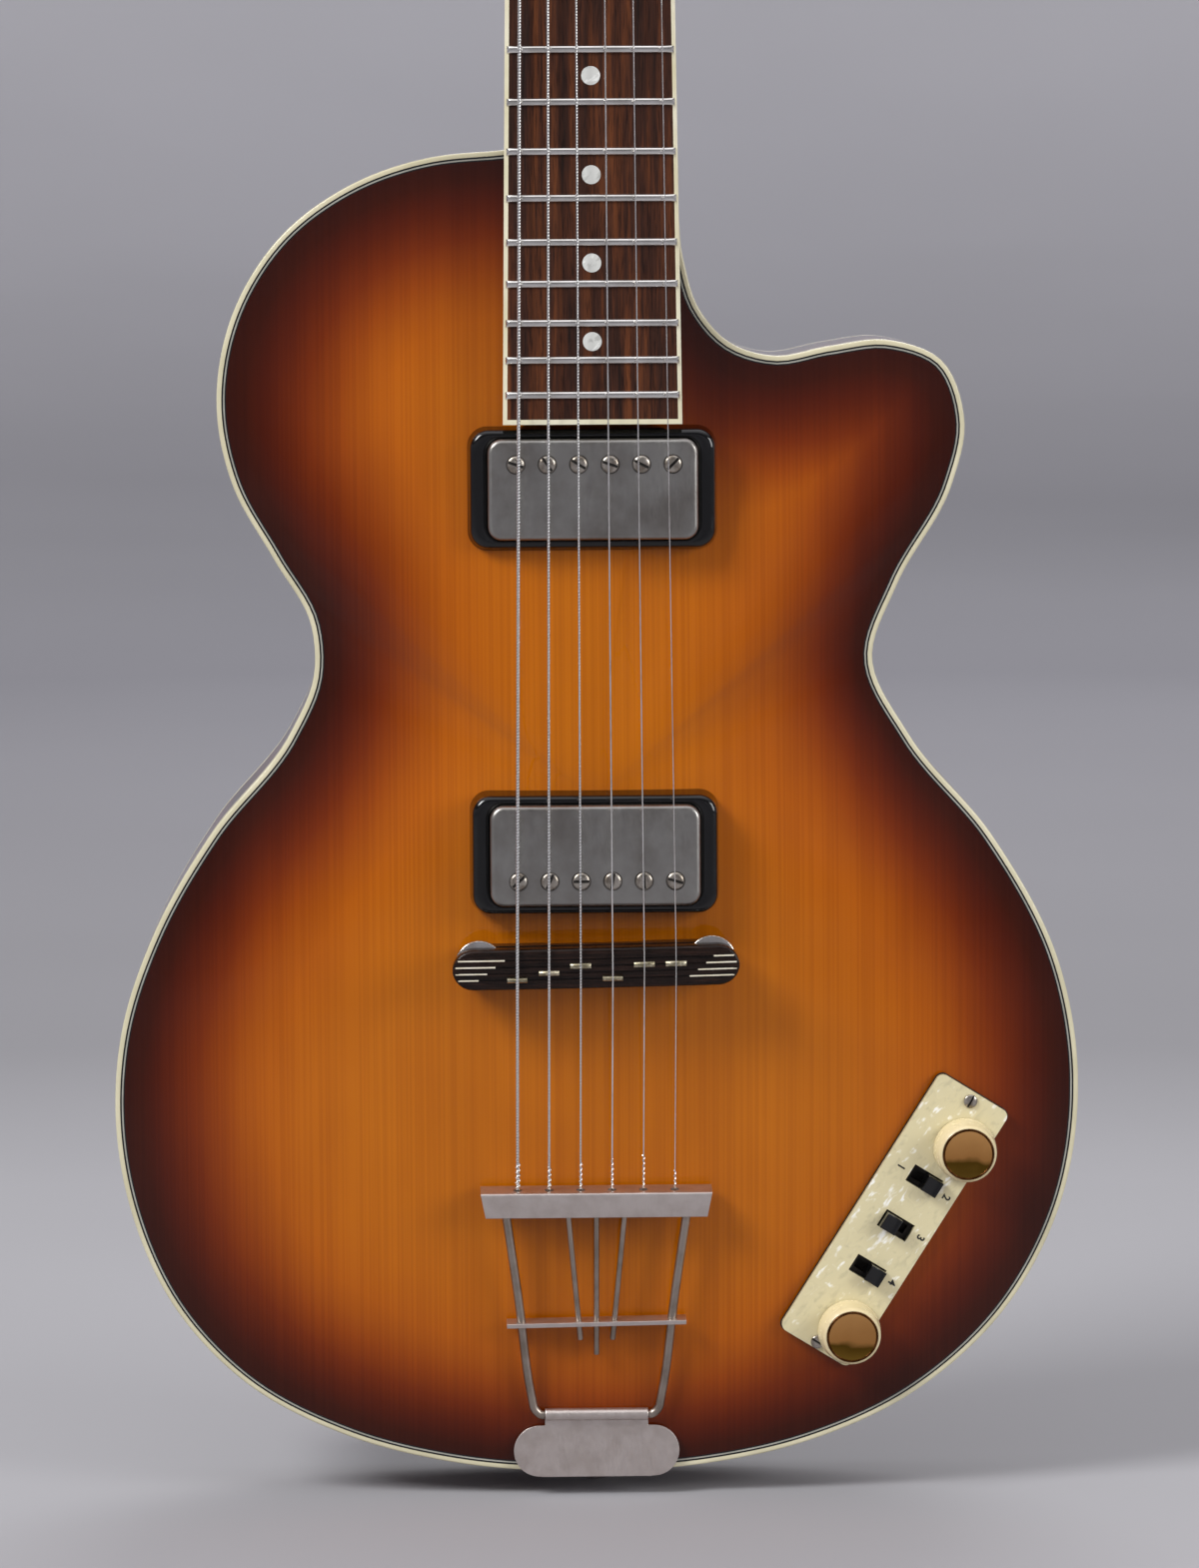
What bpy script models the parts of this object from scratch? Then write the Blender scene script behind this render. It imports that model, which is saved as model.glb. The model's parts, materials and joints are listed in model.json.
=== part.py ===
"""Hollow-body electric guitar with one rounded cutaway, modelled as separate real pieces.

Frame: +X is the treble side seen from the front, -Y is the front, +Z points to the headstock.
X = 0 is the neck's centre line, Y = 0 is the middle of the rim's depth, Z = 0 is the outer face
of the end pin. Sizes are in millimetres; meshes are made in metres.
"""
from bisect import bisect_right
from math import asin, atan2, cos, pi, radians, sin, sqrt

import bmesh
import bpy
from mathutils import Matrix, Vector

MM = 0.001
GAP = 0.3
DRAPE = 0.7

# Scale, neck and fingerboard
SCALE_LENGTH = 628.0
NECK_ANGLE = 3.0
FRET_COUNT = 22
NUT_WIDTH = 43.5
BOARD_END_WIDTH = 54.0
BOARD_OVERHANG = 8.8
BOARD_THICKNESS = 6.0
BOARD_BINDING = 1.75
BOARD_END_STRIP = 1.5
BOARD_RADIUS = 305.0
FRET_WIDTH = 2.4
FRET_HEIGHT = 1.1
TANG_WIDTH = 0.6
TANG_DEPTH = 1.6
NUT_SETBACK = 5.0
NUT_THICKNESS = 4.5
NUT_HEIGHT = 8.5
NECK_DEPTH_NUT = 14.0
NECK_DEPTH_HEEL = 18.0
HEEL_RUN = 46.0
HEEL_FLAT = 14.0
TONGUE_WIDTH = 44.0
TENON_WIDTH = 20.0
TENON_LENGTH = 22.0
TENON_DEPTH = 26.0
TONGUE_STEPS = 8
SECTION_STEPS = 12

# Headstock
HEAD_ANGLE = 14.0
HEAD_LENGTH = 166.0
HEAD_WIDTH = 76.0
HEAD_THICKNESS = 13.0
HEAD_FACE_THICKNESS = 1.5
TUNER_FIRST = 40.0
TUNER_PITCH = 38.0
TUNER_INSET = 13.0
POST_DIAMETER = 6.0
POST_HEIGHT = 12.0
FACE_HOLE = 9.5
PLATE_WIDTH = 12.0
PLATE_THICKNESS = 1.2
GEAR_DIAMETER = 10.0
GEAR_THICKNESS = 4.0
WORM_DIAMETER = 4.0
WORM_LENGTH = 7.0
SHAFT_DIAMETER = 3.0
EAR_THICKNESS = 1.4
BUTTON_LENGTH = 15.0
BUTTON_HEIGHT = 18.0
BUTTON_THICKNESS = 7.5
ROD_DIAMETER = 6.0
ROD_INSET = 60.0
ROD_REACH = 8.0
COVER_LENGTH = 30.0
COVER_WIDTH = 20.0
COVER_THICKNESS = 1.5

# Body
RIM_DEPTH = 50.0
RIM_WALL = 3.6
BINDING_WIDTH = 3.6
BINDING_DEPTH = 6.5
TOP_THICKNESS = 4.0
BACK_THICKNESS = 3.5
TOP_ARCH = 13.0
BACK_ARCH = 9.0
ARCH_CENTRE = 209.0
LINING_WIDTH = 6.0
LINING_DEPTH = 9.0
BLOCK_LENGTH = 48.0
BLOCK_WIDTH = 44.0
BLOCK_SHIFT = -10.0
TAIL_BLOCK_LENGTH = 24.0
TAIL_BLOCK_WIDTH = 60.0
BAR_WIDTH = 6.0
BAR_HEIGHT = 9.0
BAR_SPREAD = 43.0
BAR_LOW = 72.0
BAR_HIGH = 318.0
BAR_STEPS = 12
SCALE_END = 155.1

# Body outline, seen from the front: x and height above the lowest point, counter-clockwise
OUTLINE_TREBLE = (
    (0.0, 0.0), (34.0, 2.0), (65.4, 8.8), (96.2, 22.7), (125.6, 49.1), (142.5, 81.0),
    (148.2, 118.5), (142.0, 157.0), (121.6, 195.6), (96.4, 226.4), (85.2, 250.0),
    (92.8, 272.2), (109.5, 302.5), (113.4, 322.0), (106.3, 340.4), (90.0, 346.5),
    (72.3, 344.7), (55.0, 341.9), (42.0, 346.1), (33.0, 356.0), (28.0, 372.0),
    (25.0, 392.0), (16.5, 403.4),
)
OUTLINE_BASS = (
    (-30.0, 404.1), (-48.4, 402.3), (-72.6, 394.1), (-93.1, 379.3), (-107.8, 356.8),
    (-113.4, 326.6), (-108.9, 303.9), (-96.5, 281.1), (-85.4, 261.0), (-84.6, 246.0),
    (-92.1, 227.8), (-116.3, 197.5), (-134.0, 167.1), (-144.3, 136.5), (-146.3, 110.0),
    (-142.1, 82.6), (-128.6, 51.6), (-107.0, 28.2), (-75.7, 11.5), (-42.1, 2.8),
)
OUTLINE_STEPS = 72
OUTLINE_BEND = 30.0
ARCH_RINGS = (0.25, 0.5, 0.72, 0.89, 1.0)

# Pickups
SURROUND_WIDTH = 75.5
SURROUND_LENGTH = 37.4
SURROUND_CORNER = 6.0
SURROUND_BEVEL = 1.4
SURROUND_DRAFT = 1.6
COVER_SIZE_X = 63.4
COVER_SIZE_Z = 30.4
COVER_CORNER = 3.9
COVER_DEPTH = 17.0
COVER_WALL = 0.8
COVER_BEVEL = 1.0
NECK_PICKUP_CLEARANCE = 0.9
BRIDGE_PICKUP = 192.7
NECK_SURROUND_HEIGHT = 5.8
BRIDGE_SURROUND_HEIGHT = 8.8
COVER_PROUD = 4.3
POLE_DIAMETER = 5.2
POLE_HEAD = 1.3
POLE_SHANK = 2.8
POLE_SHIFT = 0.4
POLE_PITCH = 9.45
POLE_OFFSET = 7.6
COIL_SINK = 3.0

# Bridge
BRIDGE_X = -0.1
BRIDGE_LIFT = 4.2
BRIDGE_TILT = 0.9
BRIDGE_LENGTH = 86.4
BRIDGE_WIDTH = 12.4
SADDLE_THICKNESS = 6.8
SADDLE_ROOF = 2.4
SADDLE_BACK_SLOPE = 0.27
BASE_HEIGHT = 7.0
BASE_ARCHWAY_HEIGHT = 2.4
FOOT_START = 15.0
SADDLE_TRAVEL = 2.5
WHEEL_DIAMETER = 14.8
WHEEL_THICKNESS = 2.0
WHEEL_SPREAD = 35.1
WHEEL_OFFSET = 1.0
STUD_DIAMETER = 3.6
SADDLE_BEVEL = 1.2
STRING_BREAK = 57.2
SLOT_PITCH = 2.0
WIRE_LENGTH = 6.3
WIRE_WIDTH = 1.4
WIRE_CROWN = 0.9

# Strings: bass to treble
STRING_DIAMETERS = (1.2, 0.95, 0.75, 0.6, 0.45, 0.35)
NUT_SPREAD = 36.5
BRIDGE_SPREAD = 47.8
SADDLE_SLOTS = (4, 3, 2, 4, 2, 2)
COIL_TURNS = 1.25
COIL_STEPS = 9
COIL_HEIGHT = 6.0
BALL_LENGTH = 2.6
BALL_DIAMETER = 3.8
STRING_HOLE = 3.0
STRING_HOLE_DEPTH = 2.2

# Tailpiece
HINGE_LIFT = 18.4
BARREL_LENGTH = 31.6
BARREL_DIAMETER = 3.8
BARREL_BORE = 2.5
HINGE_PIN = 1.8
FRAME_TILT = 8.7
BAR_TOP = 71.7
BAR_TOP_WIDTH = 70.4
BAR_BOTTOM_WIDTH = 67.4
BAR_FACE = 7.8
BAR_SHEET = 1.4
BAR_FLANGE = 8.2
SIDE_WIRE = 2.7
SIDE_TOP = 28.4
SIDE_BOTTOM = 19.2
CENTRE_ROD = 1.7
ROD_TOP = 9.2
ROD_FOOT = 4.9
SIDE_ROD_END = 24.4
MIDDLE_ROD_END = 19.6
STRIP_LIFT = 29.8
STRIP_LENGTH = 54.8
STRIP_DEPTH = 5.6
STRIP_SHEET = 1.4
ANCHOR_LENGTH = 50.8
ANCHOR_HEIGHT = 15.8
ANCHOR_SHEET = 1.0
ANCHOR_STEPS = 8
TAB_WIDTH = 34.0
TAB_REACH = 33.0
PIN_HEIGHT = 5.5
PIN_DIAMETER = 12.0
PIN_NECK = 7.0
PIN_FLAT = 4.0
PIN_PEG = 5.0
PIN_PEG_LENGTH = 20.0
PIN_SQUASH = 0.6
PIN_STEPS = 5

# Control plate
PANEL_LENGTH = 93.2
PANEL_WIDTH = 25.8
PANEL_CORNER = 2.4
PANEL_THICKNESS = 2.4
PANEL_X = 91.2
PANEL_LIFT = 78.0
PANEL_LEAN = 32.3
KNOB_HIGH = 30.0
KNOB_LOW = -36.2
KNOB_SIDE = 6.3
KNOB_DIAMETER = 19.2
KNOB_HEIGHT = 9.0
KNOB_CAP = 15.8
KNOB_STEM = 6.0
POT_DIAMETER = 11.0
POT_HEIGHT = 8.0
SWITCH_PITCH = 16.3
SWITCH_MIDDLE = -1.1
WINDOW_LENGTH = 10.3
WINDOW_WIDTH = 5.8
SLIDER_LENGTH = 5.2
SLIDER_HEIGHT = 4.2
SWITCH_BODY = (18.0, 8.0, 7.0)
SWITCH_STEM = 2.4
SWITCH_SIDE = 1.2
STEM_REACH = 3.0
SCREW_HIGH = 43.4
SCREW_LOW = -44.2
SCREW_HOLE = 2.4
LEAD_DIAMETER = 2.0
LEAD_DROP = 6.0
LEAD_BEND = 8.0
LEAD_RUN = 40.0

# Jack and heel button
JACK_LIFT = 116.0
JACK_BORE = 6.35
JACK_NECK = 9.0
JACK_WASHER = 15.0
JACK_NUT = 12.0
JACK_PROUD = 3.0
JACK_BODY = 14.0
JACK_LENGTH = 24.0
HEEL_BUTTON_HEIGHT = 9.0

# Places that follow from the sizes above
FRONT = -RIM_DEPTH / 2
BODY_BOTTOM = PIN_HEIGHT + GAP + ANCHOR_SHEET + GAP
PLATE_INSET = BINDING_WIDTH + GAP
BOARD_PLANE = FRONT - TOP_ARCH - 14.5
STRING_SPACING_NUT = NUT_SPREAD / 5
STRING_SPACING_BRIDGE = BRIDGE_SPREAD / 5
FRET_ZERO = SCALE_LENGTH
POT_FLOOR = 1.0 - GAP - POT_HEIGHT
HEEL_BACK = -FRONT - 2 * GAP
BOARD_END = SCALE_LENGTH * 2 ** (-FRET_COUNT / 12) - BOARD_OVERHANG
BOARD_END_LIFT = SCALE_END + BOARD_END * cos(radians(NECK_ANGLE))
NECK_PICKUP = BOARD_END_LIFT - NECK_PICKUP_CLEARANCE - SURROUND_LENGTH / 2

for old in list(bpy.data.objects):
    bpy.data.objects.remove(old, do_unlink=True)


def new_collection(name):
    """Add a collection under the scene's own."""
    collection = bpy.data.collections.new(name)
    bpy.context.scene.collection.children.link(collection)
    return collection


GUITAR = new_collection("hollow_body_guitar")
CUTTERS = new_collection("cutters")


def finish(name, colour, roughness, metallic=0.0):
    """Make a Principled material."""
    made = bpy.data.materials.new(name)
    made.use_nodes = True
    shader = made.node_tree.nodes["Principled BSDF"]
    shader.inputs["Base Color"].default_value = (*colour, 1.0)
    shader.inputs["Roughness"].default_value = roughness
    shader.inputs["Metallic"].default_value = metallic
    return made


SUNBURST = finish("sunburst_lacquer", (0.42, 0.12, 0.01), 0.12)
MAPLE = finish("red_brown_lacquer", (0.16, 0.03, 0.01), 0.15)
SPRUCE = finish("bare_spruce", (0.62, 0.45, 0.26), 0.7)
CREAM = finish("cream_celluloid", (0.79, 0.73, 0.48), 0.25)
ROSEWOOD = finish("rosewood", (0.07, 0.024, 0.012), 0.45)
EBONY = finish("ebony", (0.012, 0.01, 0.009), 0.35)
PEARL = finish("pearl_celluloid", (0.75, 0.7, 0.5), 0.2)
BLACK = finish("black_plastic", (0.006, 0.006, 0.006), 0.12)
NICKEL = finish("aged_nickel", (0.42, 0.4, 0.37), 0.35, 1.0)
STEEL = finish("nickel_steel", (0.55, 0.55, 0.55), 0.3, 1.0)
CHROME = finish("chrome", (0.7, 0.7, 0.7), 0.1, 1.0)
BRASS = finish("brass", (0.6, 0.42, 0.16), 0.3, 1.0)
COPPER = finish("coil_wire", (0.35, 0.1, 0.03), 0.4)
RUBBER = finish("wire_cover", (0.02, 0.02, 0.02), 0.6)

BODY = bpy.data.objects.new("body_datum", None)
BODY.location = (0.0, 0.0, BODY_BOTTOM * MM)
GUITAR.objects.link(BODY)


def place(name, mesh, material, matrix=None, parent=BODY, collection=GUITAR):
    """Add a named object whose origin and turn are those of a matrix in millimetres."""
    made = bpy.data.objects.new(name, mesh)
    collection.objects.link(made)
    if material is not None:
        mesh.materials.clear()
        mesh.materials.append(material)
    made.parent = parent
    if matrix is not None:
        made.location = matrix.translation * MM
        made.rotation_euler = matrix.to_euler()
    return made


def shade(mesh, angle=35.0):
    """Smooth shading with sharp edges past an angle."""
    mesh.shade_smooth()
    mesh.set_sharp_from_angle(angle=radians(angle))


def mesh_of(name, geometry, smooth=True):
    """Turn a bmesh in millimetres into a mesh in metres."""
    bmesh.ops.scale(geometry, vec=(MM, MM, MM), verts=geometry.verts)
    mesh = bpy.data.meshes.new(name)
    geometry.to_mesh(mesh)
    geometry.free()
    if smooth:
        shade(mesh)
    return mesh


def loft(rings, wrap=False):
    """Join rings of equal length into one closed body; a ring of one point is a pole."""
    geometry = bmesh.new()
    made = [[geometry.verts.new(point) for point in ring] for ring in rings]
    pairs = list(zip(made, made[1:]))
    if wrap:
        pairs.append((made[-1], made[0]))
    for first, second in pairs:
        count = max(len(first), len(second))
        for index in range(count):
            after = (index + 1) % count
            if len(first) == 1:
                corners = (first[0], second[index], second[after])
            elif len(second) == 1:
                corners = (first[index], second[0], first[after])
            else:
                corners = (first[index], second[index], second[after], first[after])
            geometry.faces.new(corners)
    if not wrap:
        if len(made[0]) > 1:
            geometry.faces.new(made[0])
        if len(made[-1]) > 1:
            geometry.faces.new(reversed(made[-1]))
    bmesh.ops.recalc_face_normals(geometry, faces=geometry.faces)
    return geometry


def flat_piece(name, loops, low, high, matrix, material, parent=BODY, collection=GUITAR):
    """Extrude a flat outline, with its holes, from low to high along its own Z."""
    curve = bpy.data.curves.new(name, "CURVE")
    curve.dimensions = "2D"
    curve.fill_mode = "BOTH"
    curve.extrude = (high - low) / 2 * MM
    for loop in loops:
        spline = curve.splines.new("POLY")
        spline.points.add(len(loop) - 1)
        spline.use_cyclic_u = True
        for point, corner in zip(spline.points, loop):
            point.co = (corner[0] * MM, corner[1] * MM, 0.0, 1.0)
    shifted = matrix @ Matrix.Translation((0.0, 0.0, (high + low) / 2))
    return place(name, curve, material, shifted, parent, collection)


def tube(name, points, diameter, material, sides=2, matrix=None, parent=BODY):
    """A round wire along straight runs between points."""
    curve = bpy.data.curves.new(name, "CURVE")
    curve.dimensions = "3D"
    curve.bevel_depth = diameter / 2 * MM
    curve.bevel_resolution = sides
    curve.use_fill_caps = True
    spline = curve.splines.new("POLY")
    spline.points.add(len(points) - 1)
    for point, corner in zip(spline.points, points):
        point.co = (corner[0] * MM, corner[1] * MM, corner[2] * MM, 1.0)
    return place(name, curve, material, matrix, parent)


def turned(name, profile, material, matrix=None, steps=24, parent=BODY, collection=GUITAR):
    """Turn a profile of (radius, height) about its own Z, listed top to bottom outside."""
    mesh = bpy.data.meshes.new(name)
    points = [(radius * MM, 0.0, height * MM) for radius, height in profile]
    edges = [(index, index + 1) for index in range(len(points) - 1)]
    if profile[0][0] > 0.0:
        edges.append((len(points) - 1, 0))
    mesh.from_pydata(points, edges, [])
    made = place(name, mesh, material, matrix, parent, collection)
    screw = made.modifiers.new("turn", "SCREW")
    screw.steps = steps
    screw.render_steps = steps
    screw.use_merge_vertices = True
    screw.merge_threshold = 0.00001
    screw.use_smooth_shade = False
    return made


def rod(name, diameter, low, high, material, matrix, steps=16, parent=BODY, collection=GUITAR):
    """A plain cylinder from low to high along its own Z."""
    geometry = bmesh.new()
    bmesh.ops.create_cone(
        geometry, cap_ends=True, segments=steps, radius1=diameter / 2, radius2=diameter / 2,
        depth=high - low, matrix=Matrix.Translation((0.0, 0.0, (low + high) / 2)),
    )
    return place(name, mesh_of(name, geometry), material, matrix, parent, collection)


def block(name, size, material, matrix, parent=BODY, collection=GUITAR):
    """A box centred on its own origin."""
    geometry = bmesh.new()
    bmesh.ops.create_cube(geometry, size=1.0)
    bmesh.ops.scale(geometry, vec=size, verts=geometry.verts)
    return place(name, mesh_of(name, geometry, smooth=False), material, matrix, parent, collection)


def cut(target, cutter, operation="DIFFERENCE"):
    """Cut a target by a cutter, or join the cutter to it."""
    if cutter.name in GUITAR.objects:
        GUITAR.objects.unlink(cutter)
        CUTTERS.objects.link(cutter)
    cutter.hide_render = True
    cutter.display_type = "WIRE"
    change = target.modifiers.new("cut", "BOOLEAN")
    change.operation = operation
    change.solver = "EXACT"
    change.object = cutter


def gather(name, pieces, material, matrix=None, parent=BODY, union=False, collection=GUITAR):
    """Make one mesh object of several pieces: apart, or joined into one body."""
    bpy.context.view_layer.update()
    frame = Matrix.Identity(4)
    if parent is not None:
        frame = parent.matrix_world.copy()
    if matrix is not None:
        local = matrix.copy()
        local.translation = local.translation * MM
        frame = frame @ local
    graph = bpy.context.evaluated_depsgraph_get()
    meshes = []
    for piece in pieces:
        mesh = bpy.data.meshes.new_from_object(piece.evaluated_get(graph))
        geometry = bmesh.new()
        geometry.from_mesh(mesh)
        bmesh.ops.remove_doubles(geometry, verts=geometry.verts, dist=0.000001)
        bmesh.ops.transform(geometry, matrix=frame.inverted() @ piece.matrix_world, verts=geometry.verts)
        bmesh.ops.recalc_face_normals(geometry, faces=geometry.faces)
        geometry.to_mesh(mesh)
        geometry.free()
        meshes.append(mesh)
    for piece in pieces:
        bpy.data.objects.remove(piece, do_unlink=True)
    if union:
        made = place(name, meshes[0], material, matrix, parent, collection)
        for index, mesh in enumerate(meshes[1:]):
            other = place(f"{name}_join_{index}", mesh, None, matrix, parent, CUTTERS)
            cut(made, other, "UNION")
        return made
    joined = bmesh.new()
    for mesh in meshes:
        joined.from_mesh(mesh)
    mesh = bpy.data.meshes.new(name)
    joined.to_mesh(mesh)
    joined.free()
    shade(mesh)
    return place(name, mesh, material, matrix, parent, collection)


# Turns a flat outline drawn along Y and Z so that it lies across X
STAND_UP = Matrix(((0.0, 0.0, 1.0, 0.0), (1.0, 0.0, 0.0, 0.0), (0.0, 1.0, 0.0, 0.0), (0.0, 0.0, 0.0, 1.0)))


def turn_x(angle, x=0.0, y=0.0, z=0.0):
    """A frame at a point, turned about X by degrees."""
    return Matrix.Translation((x, y, z)) @ Matrix.Rotation(radians(angle), 4, "X")


def rounded_rectangle(width, height, corner, arc=3, step=8.0):
    """Points round a rectangle with round corners, also along its straight sides."""
    points = []
    for turn, (side_x, side_y) in enumerate(((1, 1), (-1, 1), (-1, -1), (1, -1))):
        centre = Vector((side_x * (width / 2 - corner), side_y * (height / 2 - corner)))
        start = turn * pi / 2
        for index in range(arc + 1):
            angle = start + index * pi / 2 / arc
            points.append(centre + corner * Vector((cos(angle), sin(angle))))
    filled = []
    for first, second in zip(points, points[1:] + points[:1]):
        parts = max(1, round((second - first).length / step))
        filled += [first.lerp(second, index / parts) for index in range(parts)]
    return [(point.x, point.y) for point in filled]


def circle(x, y, diameter, steps=16):
    """Points round a circle."""
    radius = diameter / 2
    angles = [2 * pi * index / steps for index in range(steps)]
    return [(x + radius * cos(angle), y + radius * sin(angle)) for angle in angles]


def outline_points():
    """The body's outline as a smooth closed curve, with more points where it bends."""
    ring = [Vector(point) for point in OUTLINE_TREBLE + OUTLINE_BASS]
    count = len(ring)
    spans = [(ring[(index + 1) % count] - ring[index]).length for index in range(count)]
    tangents = []
    for index in range(count):
        behind = (ring[index] - ring[index - 1]) / spans[index - 1]
        ahead = (ring[(index + 1) % count] - ring[index]) / spans[index]
        total = spans[index - 1] + spans[index]
        tangents.append((behind * spans[index] + ahead * spans[index - 1]) / total)
    dense = []
    fine = 24
    for index in range(count):
        start, end = ring[index], ring[(index + 1) % count]
        pull, push = tangents[index] * spans[index], tangents[(index + 1) % count] * spans[index]
        for step in range(fine):
            t = step / fine
            dense.append(
                start * (2 * t ** 3 - 3 * t ** 2 + 1) + pull * (t ** 3 - 2 * t ** 2 + t)
                + end * (3 * t ** 2 - 2 * t ** 3) + push * (t ** 3 - t ** 2)
            )
    total = len(dense)
    travelled = [0.0]
    for index in range(total):
        here = dense[(index + 1) % total] - dense[index]
        before = dense[index] - dense[index - 1]
        bend = abs(before.angle_signed(here))
        travelled.append(travelled[-1] + here.length + OUTLINE_BEND * bend)
    result = []
    for step in range(OUTLINE_STEPS):
        wanted = travelled[-1] * step / OUTLINE_STEPS
        index = min(bisect_right(travelled, wanted) - 1, total - 1)
        share = (wanted - travelled[index]) / (travelled[index + 1] - travelled[index])
        result.append(dense[index].lerp(dense[(index + 1) % total], share))
    return result


OUTLINE = outline_points()


def inset_outline(distance):
    """The outline moved inward by a distance."""
    count = len(OUTLINE)
    result = []
    for index, point in enumerate(OUTLINE):
        ahead = (OUTLINE[(index + 1) % count] - point).normalized()
        behind = (point - OUTLINE[index - 1]).normalized()
        normal = Vector((-(ahead + behind).y, (ahead + behind).x)).normalized()
        result.append(point + normal * distance / max(0.5, normal.dot(Vector((-ahead.y, ahead.x)))))
    return result


PLATE_EDGE = inset_outline(PLATE_INSET)
CENTRE = Vector((0.0, ARCH_CENTRE))


def edge_angles():
    """Each plate edge point's angle about the arch's centre, rising from the first."""
    angles = []
    for point in PLATE_EDGE:
        spoke = point - CENTRE
        angle = atan2(spoke.y, spoke.x)
        while angles and angle < angles[-1] - pi:
            angle += 2 * pi
        angles.append(angle)
    return angles


EDGE_ANGLES = edge_angles()


def reach_share(x, z):
    """How far a point lies from the arch's centre, as a share of the way to the edge."""
    spoke = Vector((x, z)) - CENTRE
    if spoke.length < 0.001:
        return 0.0
    angle = atan2(spoke.y, spoke.x)
    while angle < EDGE_ANGLES[0]:
        angle += 2 * pi
    while angle >= EDGE_ANGLES[0] + 2 * pi:
        angle -= 2 * pi
    index = bisect_right(EDGE_ANGLES, angle) - 1
    start = PLATE_EDGE[index] - CENTRE
    side = PLATE_EDGE[(index + 1) % len(PLATE_EDGE)] - PLATE_EDGE[index]
    turn = spoke.x * side.y - spoke.y * side.x
    return turn / (start.x * side.y - start.y * side.x)


def ring_height(share):
    """The arch's height at a ring, as a share of the full arch."""
    return sin(pi / 2 * (1.0 - share) ** 0.75) ** 2 if share < 1.0 else 0.0


def arch_share(x, z):
    """The arch's height at a point, as a share of the full arch, straight between rings."""
    share = reach_share(x, z)
    stops = (0.0,) + ARCH_RINGS
    if share >= 1.0:
        return 0.0
    index = bisect_right(stops, share) - 1
    part = (share - stops[index]) / (stops[index + 1] - stops[index])
    return ring_height(stops[index]) * (1 - part) + ring_height(stops[index + 1]) * part


def top_surface(x, z):
    """Y of the front plate's outer face, above body height z."""
    return FRONT - TOP_ARCH * arch_share(x, z)


def top_underside(x, z):
    """Y of the front plate's inner face."""
    return top_surface(x, z) + TOP_THICKNESS


def arched_plate(name, face, direction, arch, thickness, material):
    """A carved plate: rings from its middle out to its edge, and back on the inner face."""
    def ring(share, depth):
        return [
            (point.x, face + direction * (arch * ring_height(share) - depth), point.y)
            for point in (CENTRE + (edge - CENTRE) * share for edge in PLATE_EDGE)
        ]

    def pole(depth):
        return [(CENTRE.x, face + direction * (arch - depth), CENTRE.y)]

    rings = [pole(0.0)] + [ring(share, 0.0) for share in ARCH_RINGS]
    rings += [ring(share, thickness) for share in reversed(ARCH_RINGS)] + [pole(thickness)]
    return place(name, mesh_of(name, loft(rings)), material)


def band(name, outer, inner, low, high, material):
    """A strip that follows the outline, from one depth to another."""
    rings = []
    for points, depth in ((outer, low), (outer, high), (inner, high), (inner, low)):
        rings.append([(point.x, depth, point.y) for point in points])
    return place(name, mesh_of(name, loft(rings, wrap=True)), material)


def front_frame(x=0.0, y=0.0, z=0.0):
    """A frame whose own Z points out of the front."""
    return turn_x(90.0, x, y, z)


# Neck frame: its own Y runs along the neck to the nut, its own Z out of the fingerboard
NECK = turn_x(90.0 - NECK_ANGLE, 0.0, BOARD_PLANE, SCALE_END)


def along_neck(x, u, v):
    """A point given across, along and above the fingerboard."""
    return NECK @ Vector((x, u, v))


def fret_place(number):
    """Distance of a fret from the scale's end at the bridge."""
    return SCALE_LENGTH * 2 ** (-number / 12)


def board_width(u):
    """Full width of the bound fingerboard."""
    share = (SCALE_LENGTH - u) / (SCALE_LENGTH - BOARD_END)
    return NUT_WIDTH + (BOARD_END_WIDTH - NUT_WIDTH) * share


def camber(x):
    """Drop of the fingerboard's face away from its middle."""
    return x * x / (2 * BOARD_RADIUS)


def string_x(index, u):
    """A string's distance from the middle line."""
    share = (SCALE_LENGTH - u) / SCALE_LENGTH
    spacing = STRING_SPACING_NUT + (STRING_SPACING_BRIDGE - STRING_SPACING_NUT) * share
    return (index - 2.5) * spacing


HEEL_FACE = max(point.y for point in OUTLINE if abs(point.x) < BOARD_END_WIDTH / 2) + GAP
JACK_REACH = max(point.x for point in OUTLINE if abs(point.y - JACK_LIFT) < JACK_WASHER)
JACK = Matrix.Translation((JACK_REACH + GAP, 0.0, JACK_LIFT)) @ Matrix.Rotation(radians(90.0), 4, "Y")
BOARD_TOP = SCALE_LENGTH + NUT_SETBACK - GAP


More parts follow.
